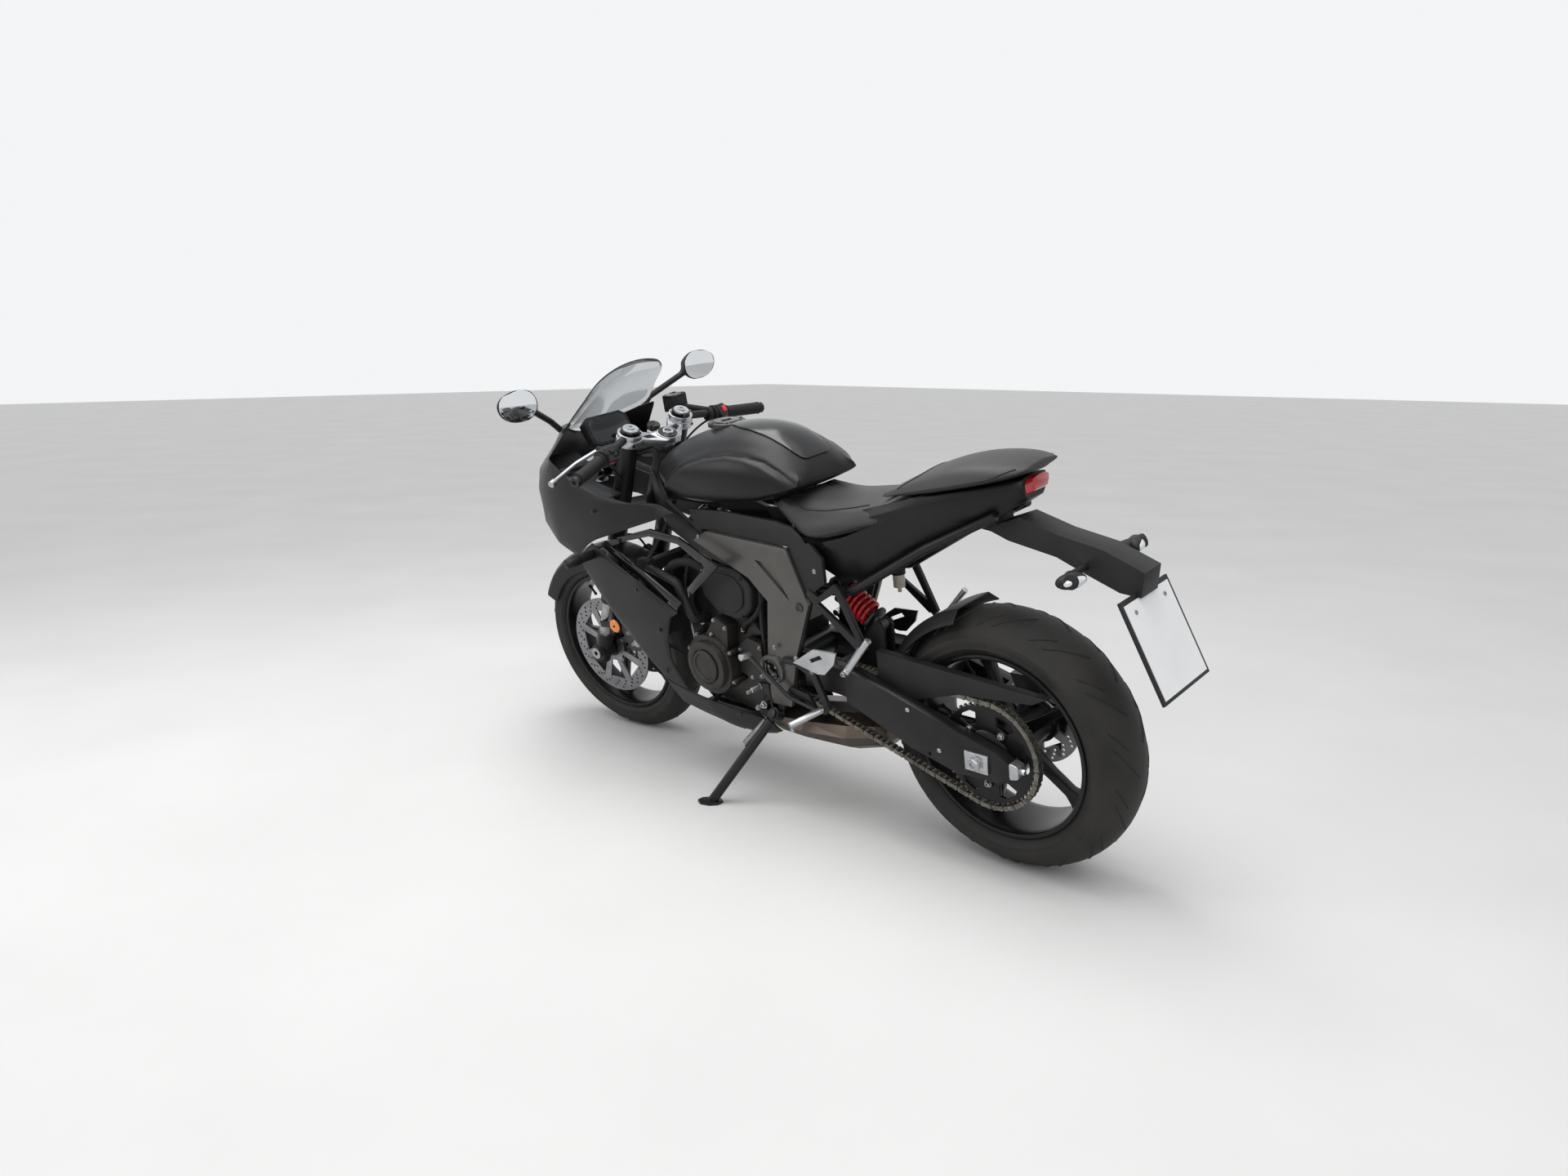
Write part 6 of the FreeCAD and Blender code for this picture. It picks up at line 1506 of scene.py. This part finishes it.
looms = [
    bent(
        "loom",
        [(0.664, 0.108, 0.690), (0.662, 0.120, 0.600), (0.668, 0.124, 0.520),
         (0.664, 0.122, 0.440), (0.672, 0.120, 0.360), (0.700, 0.114, 0.300)],
        0.0060,
    ),
    bent(
        "stand_wire",
        [(0.672, 0.122, 0.420), (0.655, 0.140, 0.350), (0.640, 0.150, 0.310),
         (0.634, 0.152, 0.292)],
        0.0026,
    ),
    bent(
        "cylinder_wire",
        [(0.905, 0.120, 0.690), (0.925, 0.134, 0.630), (0.950, 0.138, 0.560),
         (0.930, 0.130, 0.500), (0.905, 0.116, 0.455)],
        0.0045,
    ),
]
settle(joined("wiring", looms), chassis, "chassis", moulded)
clamps = []
for spot, along, radius in (
    (Vector((0.998, 0.141, 0.617)), (-0.66, 0.12, 0.74), 0.0137),
    (Vector((0.860, 0.120, 0.632)), (-0.6, -0.3, -0.6), 0.0137),
    (Vector((0.7425, 0.117, 0.484)), (-0.2, 0.6, 0.8), 0.0086),
    (Vector((0.908, 0.115, 0.476)), (0.5, 0.3, 0.8), 0.0090),
):
    over = radius + 0.0008
    band = [(radius, -0.004), (over, -0.0035), (over, 0.0035), (radius, 0.004)]
    clamps.append(turned("clamp", band, spot, along, 24))
    screw_at = spot + Vector((0, radius, 0.004))
    clamps.append(small_box("clamp_screw", screw_at, (0, 1, 0), (0.006, 0.008, 0.005), 0.001))
fitted("hose_clamps", clamps, "chassis", plain_steel)

# %% [markdown]
# ## Frame, footrests and swingarm fittings
# The grey frame cover carries a ringed cap over the swingarm pivot and one sunk bolt. Flanged
# bolts hold the footrest hangers, and the chain adjusters end in bright plates with their nuts.

# %% Pivot cap and frame bolts
pivot_parts = []
frame_bolts = []
for side in (1, -1):
    out = (0, side, 0)
    pivot_parts.append(
        turned(
            "pivot_insert",
            [(0.0285, 0), (0.0285, 0.0035), (0.0260, 0.0050), (0.0200, 0.0050), (0.0190, 0.0020),
             (0.0090, 0.0020), (0.0080, 0.0045)],
            PIVOT + Vector((0, side * 0.1512, 0)), out, 40,
        )
    )
    for number in range(3):
        angle = number * 2 * math.pi / 3 + 0.5
        across = Vector((0.0142 * math.cos(angle), side * 0.1532, 0.0142 * math.sin(angle)))
        spot = PIVOT + across
        frame_bolts.append(bolt("cap_bolt", spot, out, 0.0028, 0.002, 12))
    pivot_parts.append(
        turned(
            "bolt_well",
            [(0.0120, -0.001), (0.0120, 0.0012), (0.0098, 0.0020), (0.0078, 0.0008)],
            (0.498, side * 0.1482, 0.596), out, 28,
        )
    )
    frame_bolts.append(bolt("frame_bolt", (0.498, side * 0.1372, 0.596), out, 0.0055, 0.009))
    frame_bolts.append(bolt("cover_bolt", (0.440, side * 0.1415, 0.695), out, 0.0050, 0.004, 12))
    frame_bolts.append(bolt("cover_bolt", (0.838, side * 0.1485, 0.738), out, 0.0045, 0.003, 12))
fitted("pivot_caps", pivot_parts, "chassis", gloss_black)
fitted("frame_bolts", frame_bolts, "chassis", plain_steel)

# %% Heel plates, hangers and pegs
rest_bolts = []
for side in (1, -1):
    out = (0, side, 0)
    for x, z in ((0.520, 0.462), (0.470, 0.436), (0.592, 0.478), (0.566, 0.352)):
        rest_bolts.append(bolt("hanger_bolt", (x, side * 0.1578, z), out, 0.0052, 0.005, 12))
    rest_bolts.append(bolt("peg_bolt", (0.330, side * 0.196, 0.474), out, 0.0060, 0.006, 12))
    rest_bolts.append(bolt("peg_bolt", (0.454, side * 0.160, 0.336), out, 0.0060, 0.006, 12))
fitted("footrest_bolts", rest_bolts, "chassis", plain_steel)

# %% Chain adjusters, guard bolts and axle nuts
arm_parts = []
for side in (1, -1):
    out = (0, side, 0)
    arm_parts.append(
        turned(
            "axle_nut",
            [(0.0200, 0), (0.0200, 0.0020), (0.0150, 0.0025), (0.0150, 0.0120), (0.0130, 0.0140),
             (0.0085, 0.0140), (0.0080, 0.0100)],
            REAR_HUB + Vector((0, side * 0.1555, 0)), out, 6,
        )
    )
    for z in (0.334, 0.296):
        arm_parts.append(
            small_box("adjuster_mark", (0.0, side * 0.1552, z), out, (0.052, 0.002, 0.0012), 0.0003)
        )
    arm_parts.append(
        outlined(
            "adjuster_end",
            [(-0.083, 0.294), (-0.083, 0.336), (-0.106, 0.330), (-0.106, 0.300)],
            *sorted((side * 0.124, side * 0.1525)), 0.002, 3, "Y", 0.006,
        )
    )
    adjuster = REAR_HUB + Vector((-0.106, side * 0.138, 0))
    arm_parts.append(bolt("adjuster_bolt", adjuster, (-1, 0, 0), 0.0065, 0.009))
    arm_parts.append(bolt("arm_bolt", (0.102, side * 0.1505, 0.316), out, 0.0045, 0.003, 12))
    arm_parts.append(bolt("arm_bolt", (0.185, side * 0.1505, 0.398), out, 0.0045, 0.003, 12))
fitted("chain_adjusters", arm_parts, "chassis", bright_alloy)

# %% Sprocket carrier and wheel fittings
carrier = [
    turned(
        "cush_carrier",
        [(0.060, -0.004), (0.060, 0.004), (0.056, 0.007), (0.034, 0.009), (0.030, 0.006),
         (0.024, 0.006)],
        Vector((0, 0.1085, 0)), (0, 1, 0), 48,
    )
]
for number in range(5):
    angle = number * 2 * math.pi / 5 + 0.31
    arm = outlined(
        "carrier_arm", [(0.040, -0.014), (0.078, -0.010), (0.078, 0.010), (0.040, 0.014)],
        0.1092, 0.1140, 0.0015, 2, "Y", 0.004,
    )
    carrier.append(placed(arm, Matrix.Rotation(angle, 4, "Y")))
fitted("sprocket_carrier", carrier, "rear_wheel", wheel_black)
nuts = []
for number in range(5):
    angle = number * 2 * math.pi / 5 - 0.31
    spot = Vector((0.0705 * math.cos(angle), 0.1138, 0.0705 * math.sin(angle)))
    nuts.append(bolt("sprocket_nut", spot, (0, 1, 0), 0.0072, 0.007))
    spot = Vector((0.048 * math.cos(angle + 0.5), -0.1085, 0.048 * math.sin(angle + 0.5)))
    nuts.append(bolt("rotor_bolt", spot, (0, -1, 0), 0.0060, 0.004))
fitted("rear_wheel_nuts", nuts, "rear_wheel", plain_steel)
rotor_bolts = []
for side in (1, -1):
    for number in range(5):
        angle = number * 2 * math.pi / 5 + 0.2
        spot = Vector((0.056 * math.cos(angle), side * 0.0708, 0.056 * math.sin(angle)))
        rotor_bolts.append(bolt("rotor_bolt", spot, (0, side, 0), 0.0058, 0.004))
fitted("front_rotor_bolts", rotor_bolts, "front_wheel", plain_steel)
VALVE_TURN = 0.9
VALVE_RADIUS = 0.196
inward = Vector((-math.cos(VALVE_TURN), 0, -math.sin(VALVE_TURN)))
for name, body in (("rear_valve", "rear_wheel"), ("front_valve", "front_wheel")):
    valve = turned(
        name,
        [(0.0052, 0), (0.0052, 0.010), (0.0036, 0.012), (0.0036, 0.028), (0.0046, 0.030),
         (0.0046, 0.036), (0.0030, 0.038)],
        inward * -VALVE_RADIUS + Vector((0, 0.004, 0.008)), inward, 14,
    )
    fitted(name, [valve], body, soft_rubber)

# %% [markdown]
# ## Tail
# The indicators are flat black pods with a clear lens: the rear ones face back, the front ones
# ahead. A squashed sphere makes each. A red reflector sits at the end of the plate hanger, and the
# blank plate is held by two screws.

# %% Indicator pods and lenses
def pod(name, centre, size, turn=0.0):
    """A flattened egg, as long as it is wide."""
    nothing_selected()
    bpy.ops.mesh.primitive_uv_sphere_add(segments=28, ring_count=16, radius=1)
    piece = bpy.context.object
    piece.name = name
    piece.scale = size
    piece.rotation_euler = (0, 0, turn)
    piece.location = centre
    bpy.ops.object.transform_apply(location=True, rotation=True, scale=True)
    return piece


pods = []
lenses = []
for side in (1, -1):
    rear = Vector((-0.238, side * 0.131, 0.7665))
    front = Vector((1.2285, side * 0.272, 0.6575))
    pods.append(pod("rear_pod", rear, (0.017, 0.034, 0.0165), side * -0.5))
    rear_lens = rear + Vector((-0.0062, side * 0.0010, 0))
    lenses.append(pod("rear_lens", rear_lens, (0.0135, 0.029, 0.0125), side * -0.5))
    pods.append(pod("front_pod", front, (0.016, 0.040, 0.0150), side * 0.12))
    front_lens = front + Vector((0.0052, side * 0.001, 0))
    lenses.append(pod("front_lens", front_lens, (0.0130, 0.034, 0.0115), side * 0.12))
fitted("indicator_pods", pods, "chassis", moulded, 60)
fitted("indicator_lenses", lenses, "chassis", lamp_white, 60)

# %% Plate screws and the red reflector
PLATE_TOP = Vector((-0.320, 0, 0.710))
drop = Vector((-0.42, 0, -0.907))
outward_plate = Vector((-0.907, 0, 0.42))
plate_bits = []
for across in (0.060, -0.060):
    spot = PLATE_TOP + drop * 0.022 + outward_plate * 0.0062 + Vector((0, across, 0))
    plate_bits.append(bolt("plate_screw", spot, outward_plate, 0.0050, 0.0030, 16))
fitted("plate_screws", plate_bits, "chassis", plain_steel)
red_lamp = small_box(
    "plate_reflector", Vector((-0.3005, 0, 0.7270)), outward_plate, (0.060, 0.024, 0.014), 0.005
)
fitted("plate_reflector", [red_lamp], "chassis", red_lens)

# %% Stand springs
STAND_PIVOT = Vector((0.629, 0.152, 0.280))
STAND_OUT = Vector((0.443, 0.468, -0.766))
STAND_TURNS = 22
spring_parts = []
for radius in (0.0085, 0.0050):
    start = Vector((0.655, 0.160, 0.262))
    end = STAND_PIVOT + STAND_OUT * 0.115 + Vector((0.020, 0.006, 0.006))
    along = (end - start).normalized()
    nothing_selected()
    bpy.ops.mesh.primitive_circle_add(vertices=8, radius=0.0013, rotation=(math.pi / 2, 0, 0))
    coil = bpy.context.object
    bpy.ops.object.transform_apply(rotation=True)
    bpy.ops.object.mode_set(mode="EDIT")
    bpy.ops.mesh.select_all(action="SELECT")
    bpy.ops.transform.translate(value=(radius, 0, 0.004))
    bpy.ops.object.mode_set(mode="OBJECT")
    sweep = coil.modifiers.new("coil", "SCREW")
    sweep.iterations = STAND_TURNS
    sweep.screw_offset = ((end - start).length - 0.008) / STAND_TURNS
    sweep.steps = sweep.render_steps = 12
    apply_all(coil)
    spring_parts.append(outward(placed(coil, facing(start, along))))
print("stand springs:", sum(len(piece.data.polygons) for piece in spring_parts), "faces")
stand_springs = smooth(joined("stand_springs", spring_parts), 50)
settle(stand_springs, chassis, "side_stand", plain_steel)

# %% [markdown]
# ## Front lamps, radiator core and fasteners
# The headlamps are clear covers, so something must be seen behind them: dark bowls with a bright
# projector each. The radiator has fine fins, and the fairing panels are held by small screws.

# %% Lamp bowls and projectors
bowls = []
projectors = []
for side in (1, -1):
    for x, y, z, radius in ((1.520, 0.066, 0.806, 0.026), (1.496, 0.106, 0.812, 0.024)):
        spot = Vector((x, side * y, z))
        along = Vector((1, side * 0.12, -0.04))
        bowls.append(
            turned(
                "bowl",
                [(radius * 0.4, -0.034), (radius, -0.020), (radius * 1.12, 0.006),
                 (radius * 1.05, 0.008), (radius * 0.92, -0.006), (radius * 0.55, -0.018)],
                spot, along, 36,
            )
        )
        eye = radius * 0.62
        projectors.append(pod("projector", spot - along * 0.010, (0.012, eye, eye)))
fitted("lamp_bowls", bowls, "chassis", gloss_black)
fitted("lamp_projectors", projectors, "chassis", lamp_white, 60)

# %% Cap in the tip of the nose
nose_cap = outlined(
    "nose_cap",
    [(0, 0.861), (0.024, 0.857), (0.044, 0.842), (0.047, 0.814), (0.023, 0.790),
     (-0.023, 0.790), (-0.047, 0.814), (-0.044, 0.842), (-0.024, 0.857)],
    -0.004, 0.004,
)
placed(nose_cap, Matrix.Translation((1.630, 0, 0)) @ FACING_BACK)
fitted("nose_cap", [outward(nose_cap)], "chassis", moulded)

# %% Radiator fins
fins = []
for number in range(36):
    y = -0.133 + number * 0.0076
    fins.append(
        outlined(
            "fin", [(1.0905, 0.636), (1.0865, 0.636), (1.1065, 0.412), (1.1105, 0.412)],
            y, y + 0.0016, 0,
        )
    )
for number in range(15):
    z = 0.420 + number * 0.0148
    x = 1.0897 + (0.640 - z) * 0.0862
    tube_at = (x + 0.0010, 0, z)
    fins.append(small_box("tube", tube_at, (1, 0, 0.086), (0.270, 0.0030, 0.0050), 0.0006))
fitted("radiator_core", fins, "chassis", dark_alloy)

# %% Fairing screws
screws = []
for side in (1, -1):
    for x, y, z in (
        (1.270, 0.2185, 0.640), (1.046, 0.2195, 0.582), (0.985, 0.2100, 0.470),
        (1.020, 0.1800, 0.330), (0.930, 0.2020, 0.770), (1.180, 0.2235, 0.792),
        (0.780, 0.1400, 0.236),
    ):
        screws.append(bolt("panel_screw", (x, side * y, z), (0, side, 0), 0.0048, 0.0030, 12))
fitted("fairing_screws", screws, "chassis", dark_alloy)

# %% [markdown]
# ## Camera, floor and light
# The photographer stands behind the left rear corner at chest height. A pale floor meets a pale
# backdrop. Three soft lamps do the modelling: a large one above, which draws the long highlight
# over the tank and seat, one from the left front, and one low from behind the camera. A very wide
# sun stands for the bright ceiling of the room.

# %% Camera
nothing_selected()
CAMERA_AT = Vector((-1.9758, 1.9946, 1.1674))
SENSOR_WIDTH = 36
PHOTO_WIDTH = 1920
FOCAL_PIXELS = 1369.18
HEADING = math.radians(-45.846)
PITCH = math.radians(-11.817)
bpy.ops.object.camera_add(location=CAMERA_AT)
camera = bpy.context.object
looking = Vector(
    (math.cos(PITCH) * math.cos(HEADING), math.cos(PITCH) * math.sin(HEADING), math.sin(PITCH))
)
camera.rotation_euler = looking.to_track_quat("-Z", "Y").to_euler()
camera.data.lens = SENSOR_WIDTH * FOCAL_PIXELS / PHOTO_WIDTH
camera.data.clip_end = 100
bpy.context.scene.camera = camera

# %% Floor and backdrop
def stage_finish():
    """Matt pale floor with a very slight mottle."""
    return finish("pale_floor", (0.72, 0.72, 0.71), 0.75, 0.0, 90, 0.05, 0.03, 1.5)


bpy.ops.mesh.primitive_plane_add(size=60, location=(0, 0, -0.0006))
floor = bpy.context.object
floor.name = "studio_floor"
floor.data.materials.append(stage_finish())

world = bpy.context.scene.world or bpy.data.worlds.new("studio")
bpy.context.scene.world = world
world.use_nodes = True
nodes = world.node_tree.nodes
links = world.node_tree.links
sky = nodes["Background"]
sky.inputs["Color"].default_value = (0.93, 0.94, 0.96, 1)
sky.inputs["Strength"].default_value = 0.36
backdrop = nodes.new("ShaderNodeBackground")
backdrop.inputs["Color"].default_value = (0.90, 0.91, 0.92, 1)
# The camera, clear parts and reflections see the backdrop. All the rest is lit by a dimmer sky.
seen = nodes.new("ShaderNodeLightPath")
through = nodes.new("ShaderNodeMath")
through.operation = "ADD"
mirrored = nodes.new("ShaderNodeMath")
mirrored.operation = "ADD"
mirrored.use_clamp = True
mix = nodes.new("ShaderNodeMixShader")
links.new(seen.outputs["Is Camera Ray"], through.inputs[0])
links.new(seen.outputs["Is Transmission Ray"], through.inputs[1])
links.new(through.outputs["Value"], mirrored.inputs[0])
links.new(seen.outputs["Is Glossy Ray"], mirrored.inputs[1])
links.new(mirrored.outputs["Value"], mix.inputs["Fac"])
links.new(sky.outputs["Background"], mix.inputs[1])
links.new(backdrop.outputs["Background"], mix.inputs[2])
links.new(mix.outputs["Shader"], nodes["World Output"].inputs["Surface"])


def lamp(name, at, towards, size, power):
    """A soft rectangular lamp."""
    nothing_selected()
    bpy.ops.object.light_add(type="AREA", location=at)
    light = bpy.context.object
    light.name = name
    light.data.shape = "RECTANGLE"
    light.data.size, light.data.size_y = size
    light.data.energy = power
    light.rotation_euler = (Vector(towards) - Vector(at)).to_track_quat("-Z", "Y").to_euler()


lamp("overhead", (0.3, 0.3, 3.4), (0, -0.1, 0.5), (3.4, 1.2), 58)
lamp("left_front", (2.4, 3.0, 2.2), (0.1, 0, 0.6), (1.6, 2.0), 34)
lamp("behind_camera", (-3.2, 2.2, 2.0), (-0.2, 0, 0.5), (1.8, 1.8), 22)
nothing_selected()
bpy.ops.object.light_add(type="SUN", location=(0, 0, 4))
soft_sun = bpy.context.object
soft_sun.name = "ceiling"
soft_sun.data.energy = 1.25
soft_sun.data.angle = math.radians(70)
soft_sun.rotation_euler = (math.radians(-14), math.radians(-10), 0)
scene = bpy.context.scene
scene.view_settings.view_transform = "Standard"
